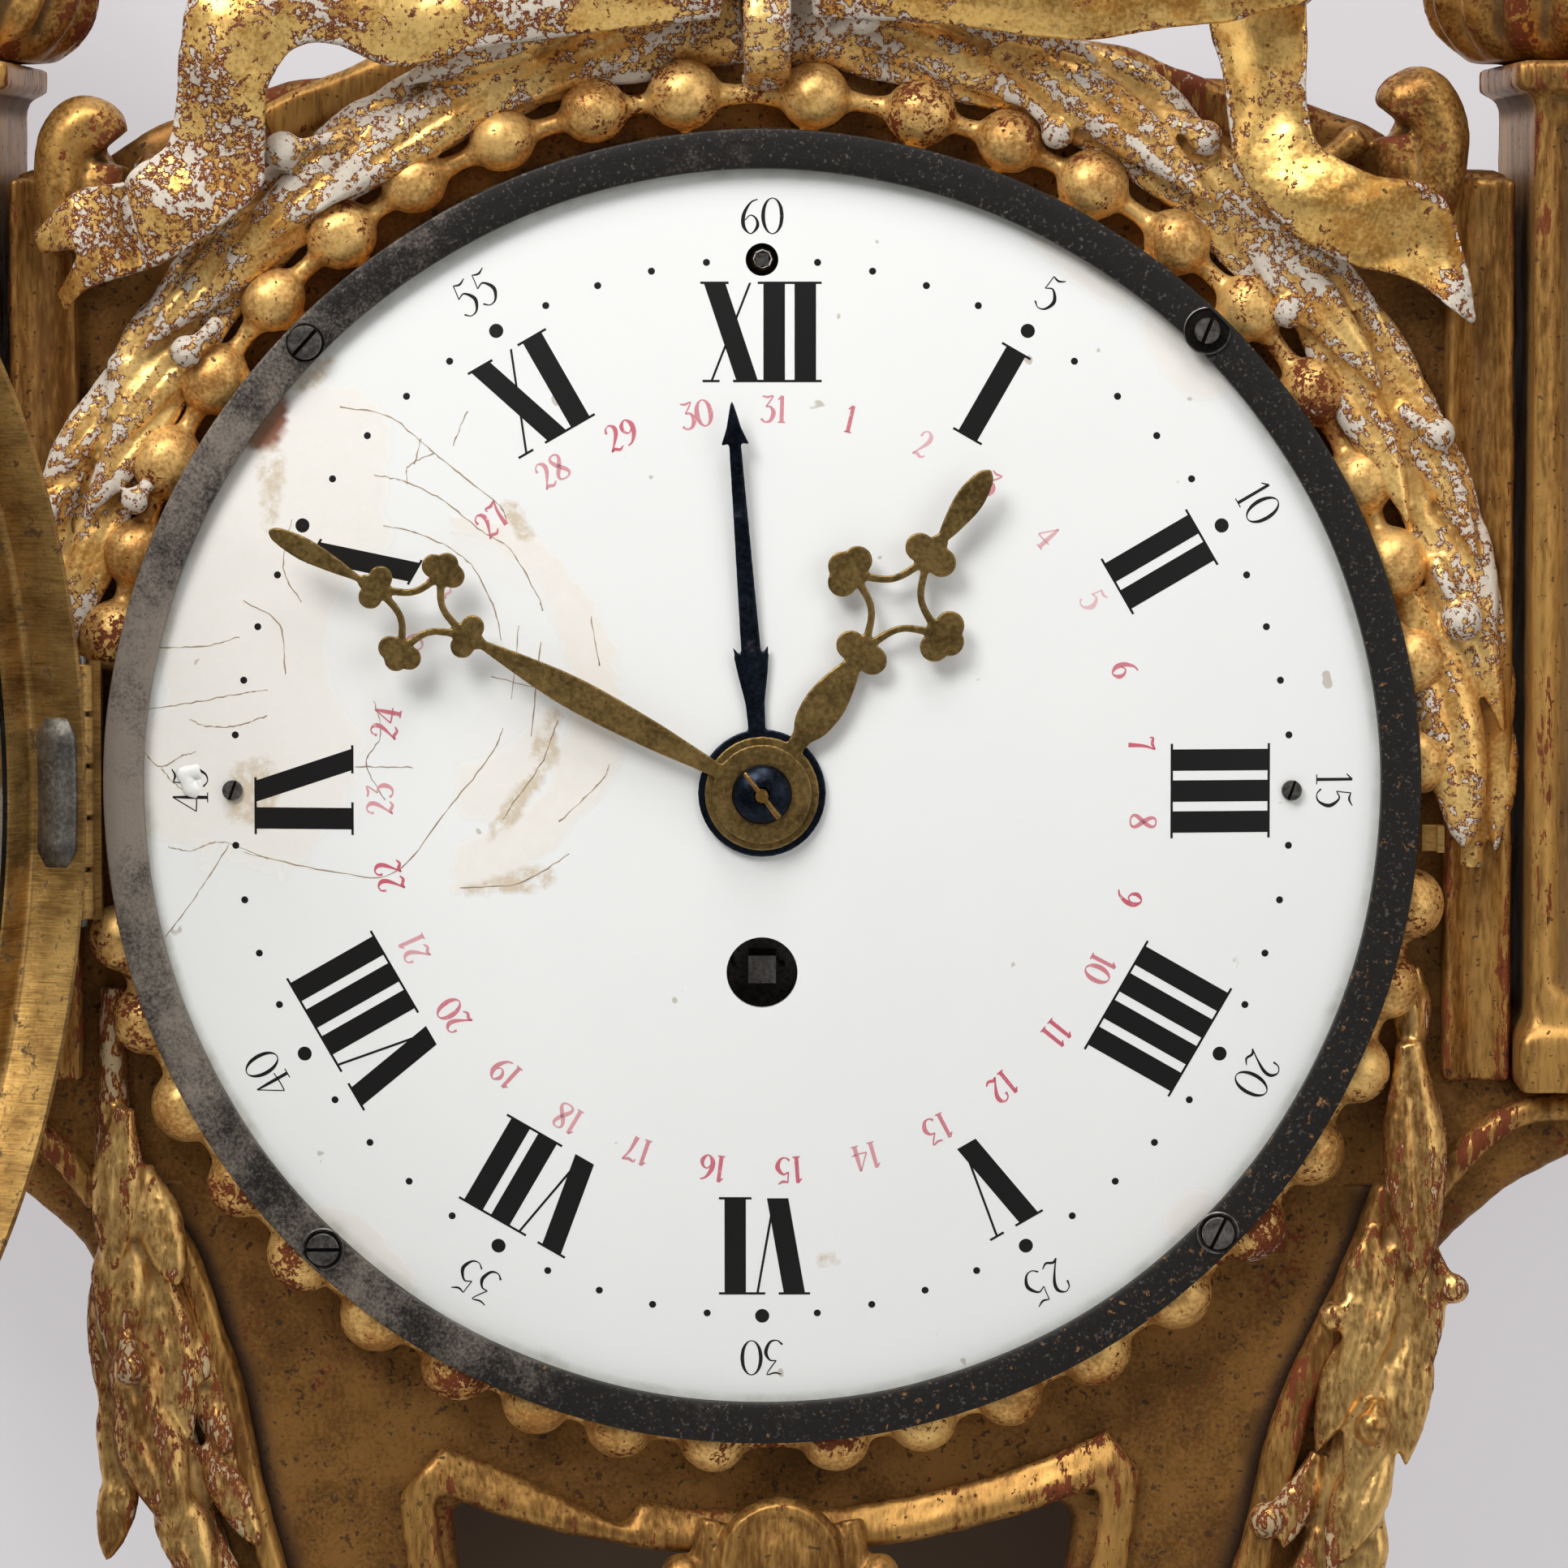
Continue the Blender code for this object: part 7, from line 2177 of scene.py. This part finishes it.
    def _fork(self, obj: Object) -> None:
        """Cut the notch between the two points of the ribbon's tail."""
        cutter = Shape.slab([from_photo(*spot) for spot in self.NOTCH], 60, 100).build("notch")
        modifier = obj.modifiers.new("notch", "BOOLEAN")
        modifier.operation = "DIFFERENCE"
        modifier.object = cutter
        modifier.solver = "EXACT"
        settle(obj)
        bpy.data.objects.remove(cutter)


@dataclass
class Case(Assembly):
    """The wooden case, its mouldings, scrolls, pilasters and urns.

    Attributes:
        base: How far the borders' backs stand forward of the wall.
        borders: The half widths of the trunk's left and right border.
        boss_shift: How far the boss sits right of the middle.
        boss_drop: How far it sits lower than its CAD node.
        urn_height: An urn's height.
        urn_radius: Its radius.
        gadroons: The number of its gadroons.
        gadroon_depth: Their depth, as a share of the radius.
    """

    base: float = CASE_FRONT - 0.6
    borders: Spot = (2.3, 3.2)
    boss_shift: float = 3.2
    boss_drop: float = 2.9
    urn_height: float = 64.0
    urn_radius: float = 37.5
    gadroons: int = 20
    gadroon_depth: float = 0.15

    BORDERS = {Side.LEFT: ((112.6, -71), (108.8, -77), (103.5, -84.8), (99.0, -97.8), (95.6, -108.4),
        (91.8, -127.2), (88.5, -139.7)), Side.RIGHT: ((113.0, -72), (109.2, -82), (105.4, -91),
        (101.2, -100), (97.1, -108.5), (92.9, -121), (89.3, -137))}
    TAIL = ((76, -178), (60, -232), (46, -300), (38, -345))
    OGEE = ((88, 117.5), (80, 121.0), (72, 124.0), (64, 127.5), (54, 129.0), (44, 129.5))
    HOLLOW = ((121.6, 0), (121.6, 5.4), (122.4, 6.4), (123.6, 6.0), (125.0, 4.4), (127.6, 3.4), (130.6, 4.4),
              (132.4, 6.4), (133.4, 6.8), (133.9, 6.0), (133.9, 0))
    FILLET = ((178, -57.5), (160, -57.8), (142, -58), (134, -60), (126, -66.5), (119, -75))
    CLIPS = (((-66.0, -129.3), (-57.0, -118.3)), ((-57.0, -118.3), (-34.9, -128.8)), ((60.6, -114.4),
        (69.4, -125.3)))
    BOSS = ((0.05, 0), (11.3, 0), (11.5, 0.45), (11.0, 0.72), (10.2, 0.9), (9.3, 0.88), (8.7, 0.74),
            (6.0, 0.84),
            (3.0, 0.97), (0.05, 1))
    BRACKET = ((12.5, 4.5, 7), (13.5, 5.5, 0), (13.0, 5.0, -9))
    SCROLL = (
        (6.8, ((117.2, 100.5, 4.4, 5.0), (119.4, 107.0, 4.6, 5.6), (120.2, 113.0, 4.8, 6.2),
               (119.2, 118.6, 5.2, 6.6), (116.6, 122.2, 5.4, 6.8), (113.2, 121.8, 4.9, 6.6),
               (111.2, 119.2, 3.7, 6.0))),
        (6.0, ((114.2, 100.0, 4.3, 4.6), (113.6, 106.0, 4.6, 5.0), (112.8, 112.0, 4.6, 5.0),
               (112.4, 115.6, 4.1, 4.4))),
        (3.6, ((98.0, 110.4, 2.2, 3.0), (101.5, 112.4, 2.3, 3.0), (105.2, 114.8, 3.0, 3.4),
               (106.6, 115.6, 2.2, 2.6))))
    SCROLL_SHIFTS = {Side.LEFT: (4.2, -4.6), Side.RIGHT: (0.4, 0.4)}
    URN = ((0.02, 0), (0.76, 0), (0.81, 0.02), (0.87, 0.045), (0.92, 0.075), (0.96, 0.11), (0.99, 0.16),
        (1.0, 0.21), (0.985, 0.285), (0.95, 0.36), (0.89, 0.435), (0.81, 0.5), (0.69, 0.56), (0.55, 0.605),
        (0.43, 0.64), (0.4, 0.665), (0.45, 0.7), (0.46, 0.725), (0.4, 0.78), (0.29, 0.855), (0.2, 0.91),
        (0.14, 0.95), (0.08, 0.985), (0.02, 1.0))

    def build(self) -> None:
        """Carve the case and everything that is fixed to it."""
        case = self.studio.copy("case_carved", "case_carcass")
        self.dress(case, self.looks.ground, Slot.DULL, ["case_carcass"], cut=Cut(2.4, 2, 0.25, 22.0, 12))
        for side in Side:
            self._borders(side)
        self._window()
        for side in Side:
            self._scroll(side)
        for side in Side:
            self._pilaster(side)
        self.studio.paint(self.looks.iron_plain, "hanging_plate", "movement_seat")

    def _trim(self, obj: Object, cut: Cut, stands_for: Sequence[str] = ()) -> None:
        """Carve a moulding and give it the mouldings' finish."""
        self.dress(obj, self.looks.trim, Slot.GILT, stands_for, cut=cut)

    def _borders(self, side: Side) -> None:
        """The raised strip along the trunk's edge, the hollow strip up the wing and the shelf's fillet.

        Args:
            side: The side of the case.
        """
        s = side.value
        line = smooth_line([(s * x, z) for x, z in self.BORDERS[side] + self.TAIL], 6)
        half = self.borders[side is Side.RIGHT]
        strip = self._board(line, half, self.base, 6.4)
        self._groove(side, line, half)
        ogee = smooth_line([(s * x, z) for x, z in self.OGEE], 5)
        strip.add(self._board(ogee, 4.4, self.base - 4, 5.6))
        self._trim(strip.build("trunk_border_" + side.word), Cut(0.8, 3, 0.25, 7.0, 14))
        rings = [[(s * x, self.base + h, z) for x, h in self.HOLLOW] for z in np.linspace(-53.0, 108.5, 40)]
        self._trim(Shape.loft(rings).build("wing_hollow_" + side.word), Cut(0.9, 3, 0.22, 10.0, 16))
        path = [(x, CASE_FRONT + 0.8, z) for x, z in smooth_line([(s * x, z) for x, z in self.FILLET], 8)]
        fillet = Shape.swept(path, [(2.6, 3.2)] * len(path))
        self._trim(fillet.build("shelf_fillet_" + side.word), Cut(0.8, 3, 0.2, 8.0, 14))

    @staticmethod
    def _board(line: Sequence[Spot], half: float, base: float, rise: float) -> Shape:
        """A flat strip with broken edges.

        Args:
            line: The (x, z) points of its middle.
            half: Its half width.
            base: How far its back stands forward of the wall.
            rise: Its thickness.

        Returns:
            The strip.
        """
        section = ((-1, 0), (-1, rise - 1.4), (-0.6, rise), (0.6, rise), (1, rise - 1.4), (1, 0))
        return Shape.loft([[(x + nx * half * v, base + f, z + nz * half * v) for v, f in section]
                           for (x, z), (nx, nz) in zip(line, flanks(line))])

    def _groove(self, side: Side, line: Sequence[Spot], half: float) -> None:
        """Painted shade with some dirt in the corner between the trunk and its border: a dark strip.

        Args:
            side: The side of the case.
            line: The (x, z) points of the border's middle.
            half: The border's half width.
        """
        points, faces, marks = [], [], []
        for k, (x, z) in enumerate(line):
            for j in range(7):
                aside = side.value * (half - 0.4 + 9.0 * j / 6)
                points.append(world((x - aside, CASE_FRONT + 0.7 - 1.4 * j / 6, z)))
                # Darkest against the border and fading outward: painted shade with some dirt.
                marks.append(-1.3 * (1 - j / 6)**2.2)
            if k:
                faces += [(7 * k + j, 7 * k + j + 1, 7 * k + j - 6, 7 * k + j - 7) for j in range(6)]
        obj = new_object("trunk_groove_" + side.word, points, faces)
        write_marks(obj.data, "relief", marks)
        thick = obj.modifiers.new("thick", "SOLIDIFY")
        thick.thickness = 0.4 * MM
        thick.offset = 0.0
        settle(obj)
        self.dress(obj, self.looks.groove, Slot.DULL)

    def _trimmed(self, mesh: bpy.types.Mesh) -> None:
        """Widen the window's head as the real one was cut, and take off its outer corners.

        Args:
            mesh: The moulding's mesh.
        """
        for vertex in mesh.vertices:
            x, z = vertex.co.x / MM, vertex.co.z / MM + DIAL_DROP
            share = min(1.0, max(0.0, (z + 185) / 45))
            x, z = x * (1 + 0.047 * share) + 1.1 * share, z + share * 0.8 * x / 55
            for (ax, az), (bx, bz) in self.CLIPS:
                length = math.hypot(bx - ax, bz - az)
                nx, nz = -(bz - az) / length, (bx - ax) / length
                over = (x - ax) * nx + (z - az) * nz
                if over > 0 and ax - 12 < x < bx + 12 and z > -160:
                    x, z = x - over * nx, z - over * nz
            vertex.co.x, vertex.co.z = x * MM, (z - DIAL_DROP) * MM

    def _window(self) -> None:
        """The moulding round the pendulum window, the boss over it and the knob under the case."""
        obj = self.studio.copy("window_moulding_carved", "window_moulding")
        self.studio.carver.carve(obj, Cut(0.9, 1))
        self._trimmed(obj.data)
        self._trim(obj, Cut(0.9, 3, 0.25, 9.0, 20), ["window_moulding"])
        low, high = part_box("keystone_boss")
        back, front = -high[1] / MM, -low[1] / MM
        middle, shift = (low[2] + high[2]) / 2 / MM + DIAL_DROP - self.boss_drop, self.boss_shift
        rise = front - back
        shape = Shape.turned([(r, rise * h) for r, h in self.BOSS], 72, (shift, back, middle))
        for x in (-17.5, 17.5):
            shape.add(Shape.ball((x + shift, CASE_FRONT + 6.0, middle - 3.0), 4.2, 20))
        for s in (-1, 1):
            path = [(s * x + shift, CASE_FRONT + f, middle + z) for x, f, z in self.BRACKET]
            shape.add(Shape.swept(smooth_line(path, 5), [(2.6, 3.0)] * 11))
        self._trim(shape.build("boss_carved"), Cut(0.55, 3, 0.2, 5.0, 16), ["keystone_boss"])
        knob = self.studio.copy("finial_carved", "bottom_finial")
        self._trim(knob, Cut(1.0, 6, 0.2, 7.0, 20), ["bottom_finial"])

    def _scroll(self, side: Side) -> None:
        """The rolled leaf at one end of the ogee top; the left one was set lower and further out.

        Args:
            side: The side of the case.
        """
        s, base = side.value, CASE_FRONT + GAP
        out, up = self.SCROLL_SHIFTS[side]
        shape = Shape()
        for level, rows in self.SCROLL:
            line = smooth_line(rows, 6)
            path = [(s * (x + out), base + level, z + up) for x, z, _, _ in line]
            shape.add(Shape.swept(path, [(half, deep) for _, _, half, deep in line], 18))
        eye = (s * (116.2 + out), base + 0.5, 114.0 + up)
        shape.add(Shape.turned([(0.05, 0), (5.6, 0), (5.0, 4.4), (0.05, 5.2)], 32, eye))
        self.dress(shape.build("scroll_carved_" + side.word), self.looks.dull, Slot.GILT,
                   ["scroll_" + side.word],
                   cut=Cut(0.65, 3, 0.2, 6.0, 20))

    def _gadroon(self, degrees: float, height: float) -> float:
        """A factor on an urn's radius, for its slanting gadroons.

        Args:
            degrees: The angle round the urn.
            height: The height on it.

        Returns:
            The factor.
        """
        share = height / self.urn_height
        fade = max(0.0, min(1.0, (share - 0.01) * 14, (0.6 - share) * 10))
        wave = abs(math.sin(math.radians(self.gadroons * degrees + 600 * share) / 2))
        return 1 - self.gadroon_depth * fade * (1 - wave)

    def _pilaster(self, side: Side) -> None:
        """A fluted pilaster and the urn on it.

        Args:
            side: The side of the case.
        """
        obj = self.studio.copy("pilaster_carved_" + side.word, "pilaster_" + side.word)
        self._trim(obj, Cut(1.3, 2, 0.2, 14.0, 16), ["pilaster_" + side.word])
        low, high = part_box("urn_" + side.word)
        middle = [(a + b) / 2 / MM for a, b in zip(low, high)]
        profile = [(r * self.urn_radius, h * self.urn_height) for r, h in self.URN]
        at = (middle[0], -middle[1], low[2] / MM + DIAL_DROP)
        urn = Shape.turned(profile, 160, at, Axis.UP, self._gadroon)
        self.dress(urn.build("urn_carved_" + side.word), self.looks.dull, Slot.GILT, ["urn_" + side.word],
                   cut=Cut(1.0, 3, 0.2, 8.0, 20))


@dataclass
class Bezel(Assembly):
    """The open brass bezel with its glass, and the hinge that carries it.

    Attributes:
        glass_radius: The glass's radius.
        glass_edge: How far its edge stands forward of the wall, shut.
        glass_rise: Its dome's height.
        glass_thick: Its thickness.
        patch_sweep: How far the solder patch reaches round the bezel, in degrees.
        patch_level: How far its middle stands forward of the wall, shut.
        patch_depth: Its thickness.
        hinge_length: The hinge's length.
        knuckles: The number of its knuckles.
    """

    glass_radius: float = 109.2
    glass_edge: float = 94.7
    glass_rise: float = 8.0
    glass_thick: float = 1.8
    patch_sweep: float = 13.2
    patch_level: float = 87.0
    patch_depth: float = 1.4
    hinge_length: float = 46.0
    knuckles: int = 5

    RING = ((116.8, 81.9), (118.0, 81.9), (118.0, 83.6), (117.7, 84.0), (118.0, 84.4), (118.0, 89.9),
        (116.9, 91.6), (115.6, 93.0), (115.2, 93.6), (114.2, 94.2), (113.4, 95.2), (112.0, 95.9),
        (106.2, 95.9), (105.6, 95.5), (105.5, 95.0), (109.5, 95.0), (109.5, 92.6), (111.0, 92.4),
        (115.2, 92.3), (116.2, 92.0), (116.6, 91.6), (116.8, 91.0), (116.8, 88.0), (116.8, 85.0))
    PATCH = ((83.0, 0.0), (83.4, 0.75), (87.1, 1.0), (90.6, 0.75), (91.0, 0.0))
    PIN = ((0.03, -24), (0.7, -24), (0.9, -23.6), (0.9, 23.6), (0.7, 24), (0.03, 24))

    @staticmethod
    def swung(shape: Shape) -> Shape:
        """A shape made in the shut place, turned open about the hinge.

        Args:
            shape: The shape.

        Returns:
            The turned copy.
        """
        turn = math.radians(HINGE_OPEN)
        cosine, sine = math.cos(turn), math.sin(turn)

        def rule(point: Point) -> Point:
            """One point's place."""
            x, f, z = point[0] - HINGE[0], point[1] - HINGE[1], point[2]
            return HINGE[0] + x * cosine - f * sine, HINGE[1] + x * sine + f * cosine, z
        return shape.moved(rule)

    def build(self) -> None:
        """Make ring, glass, solder patch, hinge and catch."""
        ring = self.swung(Shape.turned(self.RING, 300)).build("bezel_turned")
        self.dress(ring, self.looks.bezel, Slot.BRASS, ["bezel_ring"], 30, Body.BEZEL)
        outer = [(self.glass_radius * k / 24, self.glass_edge + self.glass_rise * (1 - (k / 24)**2))
                 for k in range(25)]
        outer[0] = (0.05, outer[0][1])
        inner = [(r, f - self.glass_thick) for r, f in reversed(outer)]
        glass = self.swung(Shape.turned(outer + inner, 180)).build("glass_dome")
        self.dress(glass, self.looks.glass, Slot.GLASS, ["bezel_glass"], 40, Body.BEZEL)
        self._patch()
        for node, side, body in (("hinge_leaf_case", -1, Body.CASE), ("hinge_leaf_bezel", 1, Body.BEZEL)):
            self._leaf(node, side, body)
        pin = Shape.turned(self.PIN, 24, (HINGE[0], HINGE[1], 0), Axis.UP).build("hinge_pin_turned")
        self.dress(pin, self.looks.steel, Slot.BRASS, ["hinge_pin"], 35)
        self.studio.paint(self.looks.bezel, "bezel_catch")

    def _patch(self) -> None:
        """The old lead solder on the inside of the bezel's wall, by the hinge."""
        level = self.patch_level
        rings = []
        for k in range(25):
            angle = math.radians(180 - self.patch_sweep / 2 + self.patch_sweep * k / 24)
            end = min(k, 24 - k) / 24
            depth = self.patch_depth * min(1.0, end * 9) + 0.05
            reach = min(1.0, 0.55 + end * 4)
            section = [(116.9 - lift * depth, level + (f - level) * reach) for f, lift in self.PATCH]
            section += [(117.2, level + 3.9 * reach), (117.2, level - 3.9 * reach)]
            rings.append([(radius * math.cos(angle), f, radius * math.sin(angle)) for radius, f in section])
        obj = self.swung(Shape.loft(rings)).build("solder_patch")
        self.dress(obj, self.looks.lead, Slot.IRON, body=Body.BEZEL)

    def _leaf(self, node: str, side: int, body: Body) -> None:
        """One leaf of the hinge, with its round knuckles.

        Args:
            node: The CAD node that it replaces.
            side: -1 for the leaf on the ring, 1 for the one on the bezel.
            body: The body that carries it.
        """
        length, knuckle = self.hinge_length, self.hinge_length / self.knuckles
        end = 3.2 if side < 0 else 2.2
        shape = self._plate(1.2, end, sorted((side * 2.8, side * 8.4)), (-length / 2, length / 2))
        for k in range(0 if side < 0 else 1, self.knuckles, 2):
            low = -length / 2 + k * knuckle + 0.4
            high = low + knuckle - 0.8
            profile = [(1.2, low), (1.95, low), (2.2, low + 0.25), (2.2, high - 0.25), (1.95, high),
                       (1.2, high)]
            shape.add(Shape.turned(profile, 36, axis=Axis.UP))
            shape.add(self._plate(1.25, 2.15, sorted((side * 0.2, side * 3.6)), (low + 0.1, high - 0.1)))
        placed = shape.moved(lambda point: (point[0] + HINGE[0], point[1] + HINGE[1], point[2]))
        if body is Body.BEZEL:
            placed = self.swung(placed)
        self.dress(placed.build(node + "_rolled"), self.looks.bezel, Slot.BRASS, [node], 35, body)

    @staticmethod
    def _plate(left: float, right: float, depth: Sequence[float], height: Spot) -> Shape:
        """A flat plate with these sides, back and front, and lower and upper end."""
        back, front = depth
        outline = ((left, back), (right, back), (right, front), (left, front))
        return Shape.loft([[(x, f, z) for x, f in outline] for z in height])


@dataclass
class Movement(Assembly):
    """The movement behind the dial and the pendulum.

    Attributes:
        bob_radius: The bob's radius.
        bob_half: Half its thickness.
        bob_height: The height of its middle over the dial's centre.
        rod_half: Half the rod's width.
        rod_top: The height of the rod's upper end.
    """

    bob_radius: float = 24.0
    bob_half: float = 6.0
    bob_height: float = -252.0
    rod_half: float = 1.1
    rod_top: float = 60.2

    BRASS = ("front_plate", "back_plate", "barrel", "intermediate_wheel", "centre_wheel", "third_wheel",
             "escape_wheel", "minute_wheel", "hour_wheel", "date_wheel", "date_drive_wheel",
             "suspension_cock")
    STEEL = ("barrel_arbor", "click", "cannon_pinion", "anchor", "regulator_arbor")

    def build(self) -> None:
        """Turn the bob smooth and paint the wheelwork."""
        low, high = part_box("pendulum")
        middle = -(low[1] + high[1]) / 2 / MM
        turns = [math.pi / 2 * k / 16 for k in range(17)]
        lens = [(self.bob_radius * math.sin(turn), self.bob_half * math.cos(turn)) for turn in turns]
        lens[0] = (0.05, self.bob_half)
        bob = Shape.turned(lens + [(r, -f) for r, f in reversed(lens)], 96, (0, middle, self.bob_height))
        half = self.rod_half
        bar = [(-half, -half), (half, -half), (half, half), (-half, half)]
        bob.add(Shape.loft([[(x, middle + f, z) for x, f in bar] for z in (self.bob_height, self.rod_top)]))
        self.dress(bob.build("pendulum_turned"), self.looks.movement, Slot.BRASS, ["pendulum"], 35,
                   Body.PENDULUM)
        self.studio.paint(self.looks.movement, *self.BRASS)
        self.studio.paint(self.looks.steel, *self.STEEL)
        self.studio.paint(self.looks.silk, "suspension_silk")


@dataclass
class Stage:
    """Floor, wall, light, background and camera.

    Attributes:
        distance: From the camera to the iron ring, in metres.
        elevation: How far the camera looks down, in degrees.
        width: The width of the frame at the iron ring, in metres.
        lamps: The name, the place, the size and the power of each lamp.
        aim: Where the lamps point.
        soft: The strength of the light from all round.
    """

    distance: float = 1.4
    elevation: float = 4.0
    width: float = 0.2782
    lamps: tuple[tuple[str, Point, float, float], ...] = (
        ("key", (-0.85, -1.45, 1.2), 0.8, 27.5), ("fill", (1.5, -1.6, 0.3), 1.3, 8.0),
        ("top", (0.1, -0.8, 1.3), 0.7, 10.5))
    aim: Point = (0, -0.08, -0.14)
    soft: float = 0.29

    def build(self) -> None:
        """Set up everything that isn't the clock."""
        self._camera()
        self._floor()
        self._world()
        self._wall()
        for name, at, size, power in self.lamps:
            data = bpy.data.lights.new(name, "AREA")
            data.size = size
            data.energy = power
            lamp = bpy.data.objects.new(name, data)
            lamp.location = at
            lamp.rotation_euler = (Vector(self.aim) - Vector(at)).to_track_quat("-Z", "Y").to_euler()
            bpy.context.collection.objects.link(lamp)
        bpy.context.scene.view_settings.view_transform = "Standard"

    def _camera(self) -> None:
        """The photograph's camera: nearly level, a little above the dial."""
        x, z = from_photo(966, 966)
        target = world((x, RING_FRONT, z))
        turn = math.radians(self.elevation)
        data = bpy.data.cameras.new("camera")
        data.sensor_width = 36.0
        data.lens = 36.0 * self.distance / self.width
        data.clip_start = 0.05
        camera = bpy.data.objects.new("camera", data)
        camera.location = target + Vector((0, -math.cos(turn), math.sin(turn))) * self.distance
        camera.rotation_euler = (math.pi / 2 - turn, 0, 0)
        bpy.context.collection.objects.link(camera)
        bpy.context.scene.camera = camera

    @staticmethod
    def _floor() -> None:
        """A pale round floor well below the clock."""
        count, radius, level = 64, 1.3, -0.9
        turns = [2 * math.pi * k / count for k in range(count)]
        points = [(radius * math.cos(turn), radius * math.sin(turn), level) for turn in turns]
        floor = new_object("floor", points, [tuple(range(count))])
        floor.data.materials.append(Pen("floor_pale").surface(srgb(206, 206, 206), 0.8))

    @staticmethod
    def _wall() -> None:
        """A pale wall behind the clock, with a painted shadow behind the window; the wall is clear from
        behind.
        """
        back, side, low, high = 0.012, 1.6, -0.9, 1.4
        corners = [(-side, back, low), (side, back, low), (side, back, high), (-side, back, high)]
        wall = new_object("wall", corners, [(0, 1, 2, 3)])
        pen = Pen("wall_pale")
        pale = pen.node("Emission", {"Color": srgb(224, 221, 224)}).outputs[0]
        clear = pen.node("BsdfTransparent").outputs[0]
        behind = pen.node("NewGeometry").outputs["Backfacing"]
        parts = pen.parts()
        across = pen.scaled(parts[0], 1 / 0.078)
        upward = pen.scaled(parts[2], 1 / 0.13, (DIAL_DROP + 225) * MM / 0.13)
        squares = [pen.math("POWER", pen.math("ABSOLUTE", part), 2.0) for part in (across, upward)]
        # A soft oval behind the pendulum window is a painted shadow: a darker brown wall colour that does not
        # glow.
        outside_painted_shadow = pen.step(pen.math("ADD", *squares), 0.9, 2.0)
        wall.data.materials.append(pen.surface(pen.mix(outside_painted_shadow, srgb(136, 116, 98), srgb(226, 224, 227)), 0.9))
        rays = pen.seen("Is Glossy Ray", "Is Transmission Ray")
        front = pen.veil(pen.math("MULTIPLY", pen.scaled(rays, 0.66), outside_painted_shadow), pen.shader.outputs[0], pale)
        pen.show(pen.veil(behind, front, clear))

    def _world(self) -> None:
        """Soft light from all round; what camera, metal and glass see is pale behind and dimmer in front."""
        studio = bpy.data.worlds.new("studio")
        bpy.context.scene.world = studio
        studio.use_nodes = True
        studio.node_tree.nodes.clear()
        pen = Nodes(studio.node_tree)
        soft = pen.node("Background", {"Color": (1.0, 0.99, 0.975), "Strength": self.soft}).outputs[0]
        back = pen.node("SeparateXYZ", {0: pen.node("TexCoord").outputs["Generated"]}).outputs[1]
        behind = pen.node("MapRange", {"Value": back, "From Min": -0.6, "From Max": 0.1}).outputs[0]
        tone = pen.mix(behind, srgb(118, 117, 118), srgb(212, 212, 215))
        seen = pen.node("Background", {"Color": tone}).outputs[0]
        rays = pen.seen("Is Transmission Ray", "Is Glossy Ray")
        pen.node("OutputWorld", {"Surface": pen.veil(rays, soft, seen)})


def main() -> None:
    """Dress the clock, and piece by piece."""
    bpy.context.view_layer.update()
    Stage().build()
    studio = Studio(frame)
    for assembly in (Dial, Ring, Hands, Beads, Laurel, Ribbons, Case, Bezel, Movement):
        assembly(studio).build()
        LOG.info("%s done", assembly.__name__)


if __name__ == "__main__":
    main()
